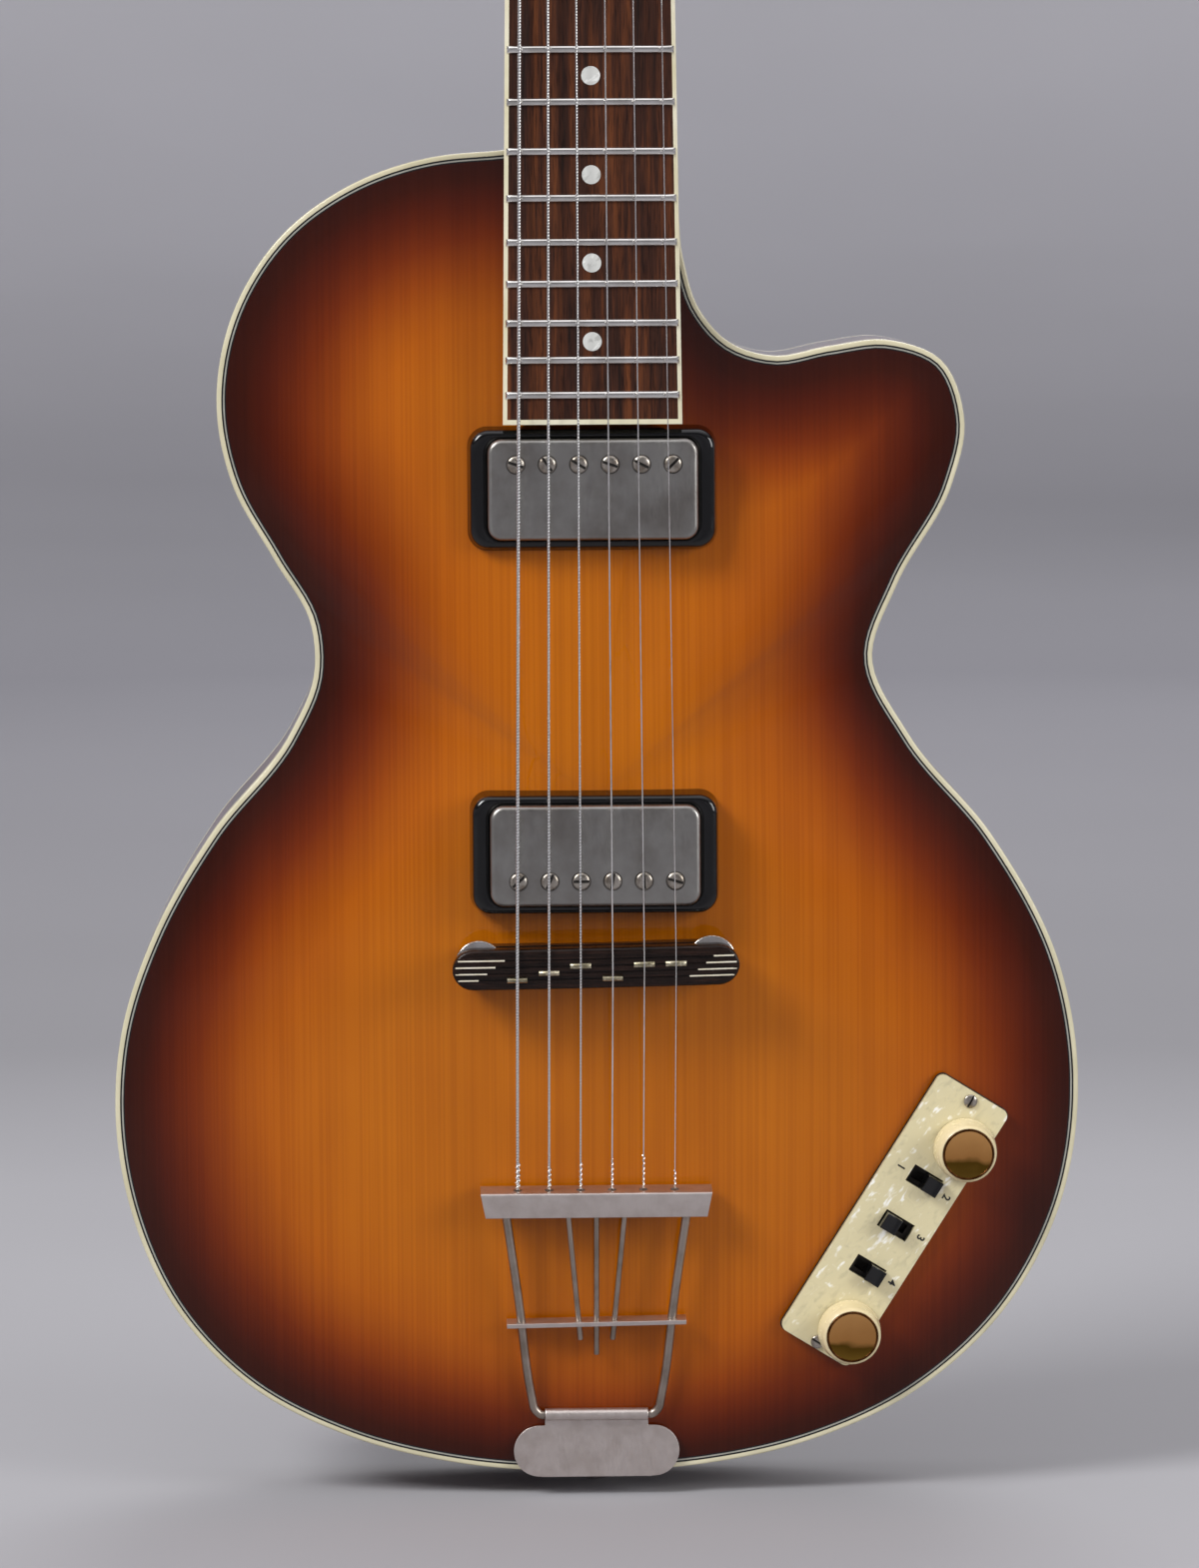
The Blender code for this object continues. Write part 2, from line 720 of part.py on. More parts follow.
def body_pieces():
    """Plates, rim, binding, linings, blocks and bars."""
    top = arched_plate("top_plate", FRONT, -1.0, TOP_ARCH, TOP_THICKNESS, SUNBURST)
    arched_plate("back_plate", -FRONT, 1.0, BACK_ARCH, BACK_THICKNESS, MAPLE)
    rim_edge = FRONT + BINDING_DEPTH + GAP
    rim = band("rim", OUTLINE, inset_outline(RIM_WALL), rim_edge, -rim_edge, MAPLE)
    strip = inset_outline(BINDING_WIDTH)
    band("top_binding", OUTLINE, strip, FRONT, FRONT + BINDING_DEPTH, CREAM)
    band("back_binding", OUTLINE, strip, -FRONT - BINDING_DEPTH, -FRONT, CREAM)

    inset = max(RIM_WALL, BINDING_WIDTH) + GAP
    front_face = FRONT + TOP_THICKNESS + GAP
    back_face = -FRONT - BACK_THICKNESS - GAP
    linings, rebates = [], []
    for name, low in (("top_lining", front_face), ("back_lining", back_face - LINING_DEPTH)):
        outer, inner = inset_outline(inset), inset_outline(inset + LINING_WIDTH)
        linings.append(band(name, outer, inner, low, low + LINING_DEPTH, SPRUCE))
        wide = inset_outline(inset + LINING_WIDTH + GAP)
        rebate = band(f"{name}_rebate", OUTLINE, wide, low - GAP, low + LINING_DEPTH + GAP, None)
        rebates.append(rebate)

    depth = back_face - front_face
    middle = (back_face + front_face) / 2
    room = band("rim_room", inset_outline(-RIM_WALL), inset_outline(RIM_WALL + GAP), FRONT, -FRONT, None)
    rebates.append(room)
    block_top = HEEL_FACE - RIM_WALL
    spot = Matrix.Translation((BLOCK_SHIFT, middle, block_top - BLOCK_LENGTH / 2))
    neck_block = block("neck_block", (BLOCK_WIDTH, depth, BLOCK_LENGTH), SPRUCE, spot)
    spot = Matrix.Translation((0.0, middle, RIM_WALL + TAIL_BLOCK_LENGTH / 2))
    tail_block = block("tail_block", (TAIL_BLOCK_WIDTH, depth, TAIL_BLOCK_LENGTH), SPRUCE, spot)
    for rebate in rebates:
        cut(neck_block, rebate)
        cut(tail_block, rebate)

    tenon_size = (TENON_WIDTH + 2 * GAP, TENON_DEPTH + 2 * GAP, 2 * TENON_LENGTH)
    mortise = block("mortise", tenon_size, None, Matrix.Translation((0.0, 0.0, HEEL_FACE)))
    for piece in [rim, neck_block] + linings:
        cut(piece, mortise)
    peg = rod("peg_hole", PIN_PEG + 2 * GAP, -PIN_PEG_LENGTH, PIN_PEG_LENGTH, None, Matrix.Identity(4))
    cut(rim, peg)
    cut(tail_block, peg)

    for name, side in (("tone_bar_bass", -1.0), ("tone_bar_treble", 1.0)):
        left, right = side * BAR_SPREAD - BAR_WIDTH / 2, side * BAR_SPREAD + BAR_WIDTH / 2
        foot = FRONT + TOP_THICKNESS + BAR_HEIGHT
        rings = []
        for step in range(BAR_STEPS + 1):
            z = BAR_LOW + (BAR_HIGH - BAR_LOW) * step / BAR_STEPS
            rings.append([
                (left, top_underside(left, z) + DRAPE, z), (right, top_underside(right, z) + DRAPE, z),
                (right, foot, z), (left, foot, z),
            ])
        place(name, mesh_of(name, loft(rings)), SPRUCE)
    return top, rim


def neck_u(z):
    """Distance along the neck of a height above the body's lowest point."""
    return (z - SCALE_END) / cos(radians(NECK_ANGLE))


def board_underside(z):
    """Y of the flat face under the fingerboard at a height."""
    return along_neck(0.0, neck_u(z), -BOARD_THICKNESS - GAP).y


def neck_section(z, back, boxy=1.0):
    """A level section of the neck: flat under the board, round behind, squarer as boxy falls."""
    half = board_width(neck_u(z)) / 2
    flat = board_underside(z)
    points = []
    for index in range(SECTION_STEPS + 1):
        angle = pi * index / SECTION_STEPS
        across = abs(cos(angle)) ** boxy * (1.0 if angle < pi / 2 else -1.0)
        points.append((half * across, flat + (back - flat) * max(sin(angle), 0.0) ** boxy, z))
    return points


def head_outline():
    """The headstock's outline from nut to tip and back."""
    half = HEAD_WIDTH / 2
    start = NUT_WIDTH / 2
    side = [
        (start, -6.0), (start + 0.4, 4.0), (start + 5.5, 14.0), (half - 4.5, 26.0), (half - 3.0, 60.0),
        (half - 1.0, 100.0), (half, HEAD_LENGTH - 26.0), (half - 3.0, HEAD_LENGTH - 13.0),
        (half - 12.0, HEAD_LENGTH - 6.0), (half - 24.0, HEAD_LENGTH - 3.5), (6.0, HEAD_LENGTH),
    ]
    return side + [(-x, y) for x, y in reversed(side)]


HEAD_START = SCALE_LENGTH + NUT_SETBACK + NUT_THICKNESS + GAP
HEAD_BASE = along_neck(0.0, HEAD_START, -BOARD_THICKNESS)
HEAD = turn_x(90.0 - NECK_ANGLE - HEAD_ANGLE, HEAD_BASE.x, HEAD_BASE.y, HEAD_BASE.z)
HEAD_BACK = -HEAD_FACE_THICKNESS - GAP - HEAD_THICKNESS


def tuner_places():
    """Each tuner's post and side in the headstock's frame, bass string first."""
    places = []
    for side, order in ((-1.0, (0, 1, 2)), (1.0, (2, 1, 0))):
        for number in order:
            length = TUNER_FIRST + TUNER_PITCH * number
            places.append((side * (HEAD_WIDTH / 2 - TUNER_INSET), length, side))
    return places


TUNERS = tuner_places()


def heel_back(z):
    """Y of the heel's back at a height above the rim."""
    return board_underside(z) + NECK_DEPTH_HEEL


def neck_pieces():
    """Neck with its tongue, tenon and headstock, the face veneer, and the truss rod."""
    heel_end = HEEL_FACE + HEEL_RUN
    stations = [(HEEL_FACE, HEEL_BACK), (HEEL_FACE + HEEL_FLAT, HEEL_BACK)]
    for share, part in ((0.45, 0.72), (0.62, 0.4), (0.8, 0.14), (1.0, 0.0)):
        z = HEEL_FACE + HEEL_RUN * share
        stations.append((z, heel_back(z) + (HEEL_BACK - heel_back(z)) * part))
    nut_z = along_neck(0.0, BOARD_TOP + NUT_THICKNESS, 0.0).z
    rings = [neck_section(z, back) for z, back in stations]
    for share, boxy in ((0.3, 1.0), (0.6, 1.0), (0.88, 1.0), (0.95, 0.75), (1.0, 0.4)):
        z = heel_end + (nut_z - heel_end) * share
        depth = NECK_DEPTH_HEEL + (NECK_DEPTH_NUT - NECK_DEPTH_HEEL) * share
        rings.append(neck_section(z, board_underside(z) + depth, boxy))
    shaft = place("shaft", mesh_of("shaft", loft(rings)), MAPLE)

    end_z = along_neck(0.0, BOARD_END + GAP, 0.0).z
    across = [TONGUE_WIDTH / 2 * part for part in (-1.0, -0.5, 0.0, 0.5, 1.0)]
    tongue_rings = []
    for step in range(TONGUE_STEPS + 1):
        z = end_z + (HEEL_FACE + TENON_DEPTH / 8 - end_z) * step / TONGUE_STEPS
        lower = [(x, top_surface(x, z) - DRAPE, z) for x in across]
        flat = board_underside(z)
        tongue_rings.append(lower + [(across[-1], flat, z), (across[0], flat, z)])
    tongue = place("tongue", mesh_of("tongue", loft(tongue_rings)), MAPLE)
    tenon_size = (TENON_WIDTH, TENON_DEPTH, 2 * TENON_LENGTH - 2 * GAP)
    tenon = block("tenon", tenon_size, MAPLE, Matrix.Translation((0.0, 0.0, HEEL_FACE)))
    head = flat_piece("head", [head_outline()], HEAD_BACK, -HEAD_FACE_THICKNESS - GAP, HEAD, MAPLE)
    neck = gather("neck", [shaft, tongue, tenon, head], MAPLE, union=True)

    for index, (x, y, side) in enumerate(TUNERS):
        spot = HEAD @ Matrix.Translation((x, y, 0.0))
        cut(neck, rod(f"post_hole_{index}", POST_DIAMETER + 2 * GAP, HEAD_BACK - 2.0, 2.0, None, spot, 12))
    low, high = BOARD_END + ROD_INSET, HEAD_START + ROD_REACH
    size = (ROD_DIAMETER + 2 * GAP, high - low, 2 * ROD_DIAMETER + 4 * GAP)
    spot = NECK @ Matrix.Translation((0.0, (low + high) / 2, -BOARD_THICKNESS - GAP))
    cut(neck, block("rod_channel", size, None, spot))
    spot = NECK @ Matrix.Translation((0.0, low + GAP, -BOARD_THICKNESS - 2 * GAP - ROD_DIAMETER / 2))
    length = HEAD_START - low - 4 * GAP
    rod("truss_rod", ROD_DIAMETER, 0.0, length, STEEL, spot @ Matrix.Rotation(radians(-90.0), 4, "X"), 12)

    holes = [circle(x, y, FACE_HOLE, 12) for x, y, side in TUNERS]
    access = ROD_DIAMETER / 2 + GAP
    holes.append([(-access, 2.0), (access, 2.0), (access, ROD_REACH), (-access, ROD_REACH)])
    inner = [(x, max(y, GAP)) for x, y in head_outline()]
    flat_piece("headstock_face", [inner] + holes, -HEAD_FACE_THICKNESS, 0.0, HEAD, BLACK)
    half = COVER_WIDTH / 2
    bell = [(half, 1.0), (half - 1.0, 0.55 * COVER_LENGTH), (half * 0.5, 0.9 * COVER_LENGTH)]
    cover = bell + [(0.0, COVER_LENGTH)] + [(-x, y) for x, y in reversed(bell)]
    flat_piece("truss_rod_cover", [cover], GAP, GAP + COVER_THICKNESS, HEAD, BLACK)


def fingerboard_pieces():
    """Board with its frets, the binding round it, and the nut."""
    inner_low = BOARD_END + BOARD_END_STRIP + GAP

    def half(u):
        return board_width(u) / 2

    def board_ring(u):
        edge = half(u) - BOARD_BINDING - GAP
        face = [along_neck(edge * part / 2, u, -camber(edge * part / 2)) for part in range(-2, 3)]
        return face + [along_neck(edge, u, -BOARD_THICKNESS), along_neck(-edge, u, -BOARD_THICKNESS)]

    board_mesh = mesh_of("fingerboard", loft([board_ring(inner_low), board_ring(BOARD_TOP)]))
    board = place("fingerboard", board_mesh, ROSEWOOD)
    crown = ((-0.5, 0.0), (-0.3, 1.0), (0.3, 1.0), (0.5, 0.0))
    frets = []
    for number in range(FRET_COUNT + 1):
        u = fret_place(number)
        edge = half(u) - BOARD_BINDING / 2
        rings = []
        for part in (-1.0, -0.8, 0.0, 0.8, 1.0):
            x = edge * part
            seat = GAP - camber(x)
            sink = TANG_DEPTH if abs(part) < 1.0 else GAP / 10
            ring = [along_neck(x, u + a * FRET_WIDTH, seat + b * FRET_HEIGHT) for a, b in crown]
            ring += [along_neck(x, u + a * TANG_WIDTH, seat - sink) for a in (0.5, -0.5)]
            rings.append(ring)
        frets.append(place(f"fret_{number}", mesh_of("fret", loft(rings)), STEEL))
    cut(board, gather("frets", frets, STEEL), "UNION")

    low, high = BOARD_END, BOARD_TOP
    inner = low + BOARD_END_STRIP
    binding = [
        (half(high), high), (half(high) - BOARD_BINDING, high), (half(inner) - BOARD_BINDING, inner),
        (BOARD_BINDING - half(inner), inner), (BOARD_BINDING - half(high), high), (-half(high), high),
        (-half(low), low), (half(low), low),
    ]
    drop = camber(BOARD_END_WIDTH / 2)
    flat_piece("fingerboard_binding", [binding], -BOARD_THICKNESS, -drop, NECK, CREAM)

    start = SCALE_LENGTH + NUT_SETBACK
    nut_middle = start + NUT_THICKNESS / 2
    spot = NECK @ Matrix.Translation((0.0, nut_middle, NUT_HEIGHT / 2 - BOARD_THICKNESS))
    nut = block("nut", (NUT_WIDTH, NUT_THICKNESS - GAP, NUT_HEIGHT), CREAM, spot)
    for index, diameter in enumerate(STRING_DIAMETERS):
        floor = string_above_nut(index) - diameter / 2 - GAP
        spot = NECK @ Matrix.Translation((string_x(index, start), nut_middle, floor + NUT_HEIGHT / 2))
        size = (diameter + 2 * GAP, 3 * NUT_THICKNESS, NUT_HEIGHT)
        cut(nut, block(f"nut_slot_{index}", size, None, spot))


def string_above_nut(index):
    """Height of a string's middle over the board's face plane at the zero fret and the nut."""
    x = string_x(index, FRET_ZERO)
    return FRET_HEIGHT - camber(x) + 2 * GAP + STRING_DIAMETERS[index] / 2


PICKUPS = (
    ("neck", NECK_PICKUP, NECK_SURROUND_HEIGHT, 1.0),
    ("bridge", BRIDGE_PICKUP, BRIDGE_SURROUND_HEIGHT, -1.0),
)


def shrunk(points, drop):
    """Points of a surround's outline, drawn in by a distance at its sides."""
    x_scale = 1 - 2 * drop / SURROUND_WIDTH
    z_scale = 1 - 2 * drop / SURROUND_LENGTH
    return [(x * x_scale, z * z_scale) for x, z in points]


def pickup_pieces(top):
    """Black surrounds, nickel covers, and coils with their pole screws; the front is cut for each."""
    for spot_name, lift, height, side in PICKUPS:
        face = top_surface(0.0, lift) - height
        foot = rounded_rectangle(SURROUND_WIDTH, SURROUND_LENGTH, SURROUND_CORNER)
        opening = rounded_rectangle(COVER_SIZE_X + 2 * GAP, COVER_SIZE_Z + 2 * GAP, COVER_CORNER + GAP)

        def draped(points):
            return [(x, top_surface(x, z + lift) - DRAPE, z + lift) for x, z in points]

        def level(points, depth):
            return [(x, depth, z + lift) for x, z in points]

        upper = shrunk(foot, SURROUND_DRAFT / 2)
        crest = shrunk(foot, SURROUND_DRAFT / 2 + SURROUND_BEVEL)
        outside = [draped(foot), level(upper, face + SURROUND_BEVEL), level(crest, face)]
        name = f"pickup_ring_{spot_name}"
        place(name, mesh_of(name, ring_body(outside, [level(opening, face), draped(opening)])), BLACK)

        crown = face - COVER_PROUD
        floor = crown + COVER_DEPTH

        def shell(drop, depth):
            size_x, size_z = COVER_SIZE_X - 2 * drop, COVER_SIZE_Z - 2 * drop
            corner = max(COVER_CORNER - drop, COVER_WALL)
            return level(rounded_rectangle(size_x, size_z, corner, step=size_x), depth)

        name = f"pickup_cover_{spot_name}"
        rings = [
            shell(COVER_BEVEL, crown), shell(0.0, crown + COVER_BEVEL), shell(0.0, floor),
            shell(COVER_WALL, floor), shell(COVER_WALL, crown + COVER_BEVEL),
            shell(COVER_BEVEL + COVER_WALL / 2, crown + COVER_WALL),
        ]
        cover = place(name, mesh_of(name, loft(rings)), NICKEL)
        inside_x = COVER_SIZE_X - 2 * COVER_WALL - 2 * GAP
        inside_z = COVER_SIZE_Z - 2 * COVER_WALL - 2 * GAP
        block_outline = rounded_rectangle(inside_x, inside_z, COVER_CORNER - COVER_WALL, step=inside_x)
        centre = front_frame(0.0, crown, lift)
        pieces = [flat_piece("coil_block", [block_outline], -COVER_DEPTH, -COIL_SINK, centre, COPPER)]
        for index in range(6):
            x = (index - 2.5) * POLE_PITCH + POLE_SHIFT
            spot = front_frame(x, crown, lift + side * POLE_OFFSET)
            cut(cover, rod(f"{name}_hole_{index}", POLE_SHANK + 3 * GAP, -4.0, 4.0, None, spot, 8))
            head, shank = POLE_DIAMETER / 2, POLE_SHANK / 2
            profile = [(0.0, POLE_HEAD + GAP), (head - 0.8, POLE_HEAD + GAP),
                       (head, POLE_HEAD * 0.6 + GAP), (head, GAP), (shank, GAP),
                       (shank, -COIL_SINK - 1.0), (0.0, -COIL_SINK - 1.0)]
            pieces.append(turned(f"pole_{index}", profile, STEEL, spot, 8))
        gather(f"pickup_coil_{spot_name}", pieces, COPPER, union=True)
        well = (COVER_SIZE_X + 4 * GAP, 4 * (TOP_ARCH + TOP_THICKNESS), COVER_SIZE_Z + 4 * GAP)
        cut(top, block(f"well_{spot_name}", well, None, Matrix.Translation((0.0, FRONT, lift))))


def ring_body(outer_rings, inner_rings):
    """A closed frame between outer and inner rings that may differ in their point counts."""
    geometry = bmesh.new()
    outer = [[geometry.verts.new(point) for point in ring] for ring in outer_rings]
    inner = [[geometry.verts.new(point) for point in ring] for ring in inner_rings]
    for rings in (outer, inner):
        for first, second in zip(rings, rings[1:]):
            for index in range(len(first)):
                after = (index + 1) % len(first)
                geometry.faces.new((first[index], second[index], second[after], first[after]))
    for outside, inside in ((outer[-1], inner[0]), (outer[0], inner[-1])):
        edges = []
        for ring in (outside, inside):
            for index, vertex in enumerate(ring):
                edges.append(geometry.edges.get((vertex, ring[(index + 1) % len(ring)])))
        bmesh.ops.bridge_loops(geometry, edges=edges)
    bmesh.ops.recalc_face_normals(geometry, faces=geometry.faces)
    return geometry


BRIDGE_CENTRE = Vector((BRIDGE_X, 0.0, SCALE_END + BRIDGE_LIFT))
BRIDGE = Matrix.Translation(BRIDGE_CENTRE) @ Matrix.Rotation(radians(-BRIDGE_TILT), 4, "Y")
SADDLE_TOP = WIRE_CROWN - STRING_BREAK
SADDLE_FLOOR = SADDLE_TOP + SADDLE_THICKNESS
WHEEL_TOP = SADDLE_FLOOR + GAP
WHEEL_FLOOR = WHEEL_TOP + WHEEL_THICKNESS


def bridge_point(across, up, depth):
    """A point given along and across the tilted bridge, at a depth."""
    return BRIDGE @ Vector((across, depth, up))


def saddle_face(across, up):
    """Y of the saddle's front face, which falls away towards the tailpiece."""
    return SADDLE_TOP + camber(across) / 2 + max(0.0, -up) * SADDLE_BACK_SLOPE


def plan_half(across, length, width):
    """Half width of a long bar with round ends."""
    straight = length / 2 - width / 2
    past = max(abs(across) - straight, 0.0)
    return sqrt(max((width / 2) ** 2 - past ** 2, 0.0))


def bridge_stations(length, width):
    """Places along a bar with round ends, closer together at the ends."""
    straight = length / 2 - width / 2
    ends = [straight + width / 2 * sin(radians(angle)) for angle in (82, 55, 28, 0)]
    right = ends + [straight * part for part in (0.83, 0.66, 0.5, 0.34, 0.17)]
    return [-across for across in right] + [0.0] + list(reversed(right))


def bridge_pieces():
    """Base with its two studs, thumbwheels, and the saddle with its wires."""
    base_length = BRIDGE_LENGTH - 2.0
    base_width = BRIDGE_WIDTH - 0.4
    base_top = top_surface(BRIDGE_X, BRIDGE_CENTRE.z) - GAP - BASE_HEIGHT
    rings = []
    for across in bridge_stations(base_length, base_width):
        wide = plan_half(across, base_length, base_width)
        seats = []
        for edge in (-wide, wide):
            corner = bridge_point(across, edge, 0.0)
            seats.append(top_surface(corner.x, corner.z) - DRAPE)
        if abs(across) < FOOT_START:
            seats = [min(seats) - BASE_ARCHWAY_HEIGHT] * 2
        rings.append([
            bridge_point(across, -wide, seats[0]), bridge_point(across, wide, seats[1]),
            bridge_point(across, wide, base_top), bridge_point(across, -wide, base_top),
        ])
    base_parts = [place("base_block", mesh_of("base_block", loft(rings)), EBONY)]

    saddle_rings = []
    for across in bridge_stations(BRIDGE_LENGTH, BRIDGE_WIDTH):
        wide = plan_half(across, BRIDGE_LENGTH, BRIDGE_WIDTH)
        soft = min(SADDLE_BEVEL, wide * 0.6)
        saddle_rings.append([bridge_point(across, up, depth) for up, depth in (
            (-wide, SADDLE_FLOOR), (wide, SADDLE_FLOOR), (wide, saddle_face(across, wide) + soft),
            (wide - soft, saddle_face(across, wide)), (0.0, saddle_face(across, 0.0)),
            (soft - wide, saddle_face(across, soft - wide)), (-wide, saddle_face(across, -wide) + soft),
        )])
    saddle_parts = [place("saddle_block", mesh_of("saddle_block", loft(saddle_rings)), EBONY)]
    for index, slot in enumerate(SADDLE_SLOTS):
        across = string_x(index, 0.0) - BRIDGE_X
        up = (2.5 - slot) * SLOT_PITCH
        foot = saddle_face(across, up - WIRE_WIDTH) + WIRE_CROWN
        crown = SADDLE_TOP + camber(across) / 2 - WIRE_CROWN
        rings = []
        for end in (-0.5, 0.5):
            rings.append([
                bridge_point(across + end * WIRE_LENGTH, up + a * WIRE_WIDTH, foot + b * (crown - foot))
                for a, b in ((-0.5, 0.0), (-0.35, 0.85), (0.0, 1.0), (0.35, 0.85), (0.5, 0.0))
            ])
        saddle_parts.append(place(f"wire_{index}", mesh_of("wire", loft(rings)), BRASS))
    saddle = gather("bridge_saddle", saddle_parts, EBONY, Matrix.Translation(BRIDGE_CENTRE), union=True)

    stud_end = -SADDLE_TOP - SADDLE_ROOF - SADDLE_TRAVEL - GAP
    for name, side in (("thumbwheel_bass", -1.0), ("thumbwheel_treble", 1.0)):
        axis = bridge_point(side * WHEEL_SPREAD, WHEEL_OFFSET, 0.0)
        spot = front_frame(axis.x, 0.0, axis.z)
        stud = rod("stud", STUD_DIAMETER, -base_top - BASE_HEIGHT / 2, stud_end, BRASS, spot, 12)
        base_parts.append(stud)
        bore = (-SADDLE_FLOOR - 2.0, -SADDLE_TOP - SADDLE_ROOF)
        cut(saddle, rod(f"{name}_bore", STUD_DIAMETER + 2 * GAP, *bore, None, spot, 12))
        inner, outer = STUD_DIAMETER / 2 + GAP, WHEEL_DIAMETER / 2
        half = WHEEL_THICKNESS / 2
        profile = [(inner, half), (outer - 0.4, half), (outer, half - 0.4), (outer, 0.4 - half),
                   (outer - 0.4, -half), (inner, -half)]
        middle = (WHEEL_TOP + WHEEL_FLOOR) / 2
        turned(name, profile, CHROME, front_frame(axis.x, middle, axis.z), 24)
    gather("bridge_base", base_parts, EBONY, union=True)


HINGE_Y = top_surface(0.0, HINGE_LIFT) - BARREL_DIAMETER / 2 - 2 * GAP
TAIL = turn_x(90.0 + FRAME_TILT, 0.0, HINGE_Y, HINGE_LIFT)
BAR_OUT = SIDE_WIRE / 2 + BAR_SHEET
HOLE_OUT = SIDE_WIRE / 2 - STRING_HOLE_DEPTH
BALL_LIFT = BAR_TOP - BAR_SHEET - GAP - BALL_LENGTH / 2


def tailpiece_pieces():
    """Anchor plate with its barrel, the frame that hinges on it, and both strap buttons."""
    half = BAR_TOP_WIDTH / 2
    flange = [(-half, BAR_OUT), (-half, BAR_OUT - BAR_FLANGE), (half, BAR_OUT - BAR_FLANGE), (half, BAR_OUT)]
    holes = [circle(string_x(index, 0.0), HOLE_OUT, STRING_HOLE, 10) for index in range(6)]
    spot = TAIL @ Matrix.Translation((0.0, BAR_TOP, 0.0)) @ Matrix.Rotation(radians(90.0), 4, "X")
    parts = [flat_piece("string_flange", [flange] + holes, 0.0, BAR_SHEET, spot, NICKEL)]
    foot = BAR_BOTTOM_WIDTH / 2
    leg = [(-half, BAR_TOP), (-foot, BAR_TOP - BAR_FACE), (foot, BAR_TOP - BAR_FACE), (half, BAR_TOP)]
    parts.append(flat_piece("front_leg", [leg], BAR_OUT - BAR_SHEET, BAR_OUT, TAIL, NICKEL))
    wire_top = BAR_TOP - BAR_SHEET / 2
    sink = BAR_SHEET / 3
    inner = BARREL_LENGTH / 2 + GAP
    for side in (-1.0, 1.0):
        points = [(SIDE_TOP, wire_top, sink), (SIDE_BOTTOM + 0.8, 5.0, 0.0), (SIDE_BOTTOM, 2.4, 0.0),
                  (SIDE_BOTTOM - 0.6, 1.0, 0.0), (SIDE_BOTTOM - 1.8, 0.0, 0.0), (inner, 0.0, 0.0)]
        points = [(side * x, y, z) for x, y, z in points]
        parts.append(tube("side_wire", points, SIDE_WIRE, NICKEL, 2, TAIL))
    rod_out = BAR_OUT - BAR_SHEET - CENTRE_ROD / 2 + sink
    for side, end in ((-1.0, SIDE_ROD_END), (0.0, MIDDLE_ROD_END), (1.0, SIDE_ROD_END)):
        points = [(side * ROD_TOP, wire_top, rod_out), (side * ROD_FOOT, end, rod_out)]
        parts.append(tube("centre_rod", points, CENTRE_ROD, NICKEL, 1, TAIL))
    spot = TAIL @ Matrix.Translation((0.0, STRIP_LIFT, BAR_OUT - STRIP_DEPTH / 2))
    parts.append(block("cross_strip", (STRIP_LENGTH, STRIP_SHEET, STRIP_DEPTH), NICKEL, spot))
    spot = TAIL @ Matrix.Rotation(radians(90.0), 4, "Y")
    parts.append(rod("hinge_pin", HINGE_PIN, -inner - SIDE_WIRE / 2, inner + SIDE_WIRE / 2, NICKEL, spot, 12))
    gather("tailpiece_frame", parts, NICKEL, TAIL, union=True)

    back = -HINGE_Y - BARREL_DIAMETER / 2
    bottom = -GAP - ANCHOR_SHEET
    half, radius = BARREL_LENGTH / 2, ANCHOR_HEIGHT / 2
    low, high = bottom + ANCHOR_SHEET / 4, bottom + ANCHOR_HEIGHT
    face = [(half, HINGE_LIFT), (-half, HINGE_LIFT), (-half, high)]
    for side, start in ((-1.0, pi / 2), (1.0, -pi / 2)):
        for step in range(ANCHOR_STEPS + 1):
            angle = start + pi * step / ANCHOR_STEPS
            x = side * (ANCHOR_LENGTH / 2 - radius) + radius * cos(angle)
            face.append((x, (high + low) / 2 + (high - low) / 2 * sin(angle)))
    face.append((half, high))
    parts = [flat_piece("anchor_face", [face], back, back + ANCHOR_SHEET, front_frame(), NICKEL)]
    half, front = TAB_WIDTH / 2, -back - 0.7 * ANCHOR_SHEET
    tab = [(-half, front), (half, front), (half - 4.0, front + TAB_REACH), (4.0 - half, front + TAB_REACH)]
    hole = circle(0.0, 0.0, PIN_PEG + 2 * GAP)
    parts.append(flat_piece("anchor_foot", [tab, hole], bottom, -GAP, Matrix.Identity(4), NICKEL))
    spot = Matrix.Translation((0.0, HINGE_Y, HINGE_LIFT)) @ Matrix.Rotation(radians(90.0), 4, "Y")
    half = BARREL_LENGTH / 2
    parts.append(rod("barrel", BARREL_DIAMETER, -half, half, NICKEL, spot, 16))
    anchor = gather("tailpiece_anchor", parts, NICKEL, union=True)
    cut(anchor, rod("barrel_bore", BARREL_BORE, -BARREL_LENGTH, BARREL_LENGTH, None, spot, 12))

    dome, flat = PIN_DIAMETER / 2, PIN_FLAT / 2
    crown = -BODY_BOTTOM
    start = asin(flat / dome)
    profile = [(0.0, PIN_PEG_LENGTH), (PIN_PEG / 2, PIN_PEG_LENGTH), (PIN_PEG / 2, crown + PIN_HEIGHT),
               (PIN_NECK / 2 + 1.5, crown + PIN_HEIGHT), (PIN_NECK / 2, crown + PIN_HEIGHT - 1.0)]
    for step in range(PIN_STEPS + 1):
        angle = pi / 2 + (start - pi / 2) * step / PIN_STEPS
        profile.append((dome * sin(angle), crown + dome * PIN_SQUASH * (cos(start) - cos(angle))))
    profile.append((0.0, crown))
    turned("end_pin", profile, NICKEL, Matrix.Identity(4), 16)
    spot = Matrix.Translation((0.0, HEEL_BACK + GAP, HEEL_FACE + HEEL_FLAT / 2))
    tall, neck = HEEL_BUTTON_HEIGHT, PIN_NECK / 2
    profile = [(0.0, tall), (dome - 0.8, tall), (dome, tall - 1.0), (dome, tall - 2.0), (neck, tall * 0.55),
               (neck + 1.5, 0.0), (0.0, 0.0)]
    turned("heel_button", profile, NICKEL, spot @ Matrix.Rotation(radians(-90.0), 4, "X"), 20)


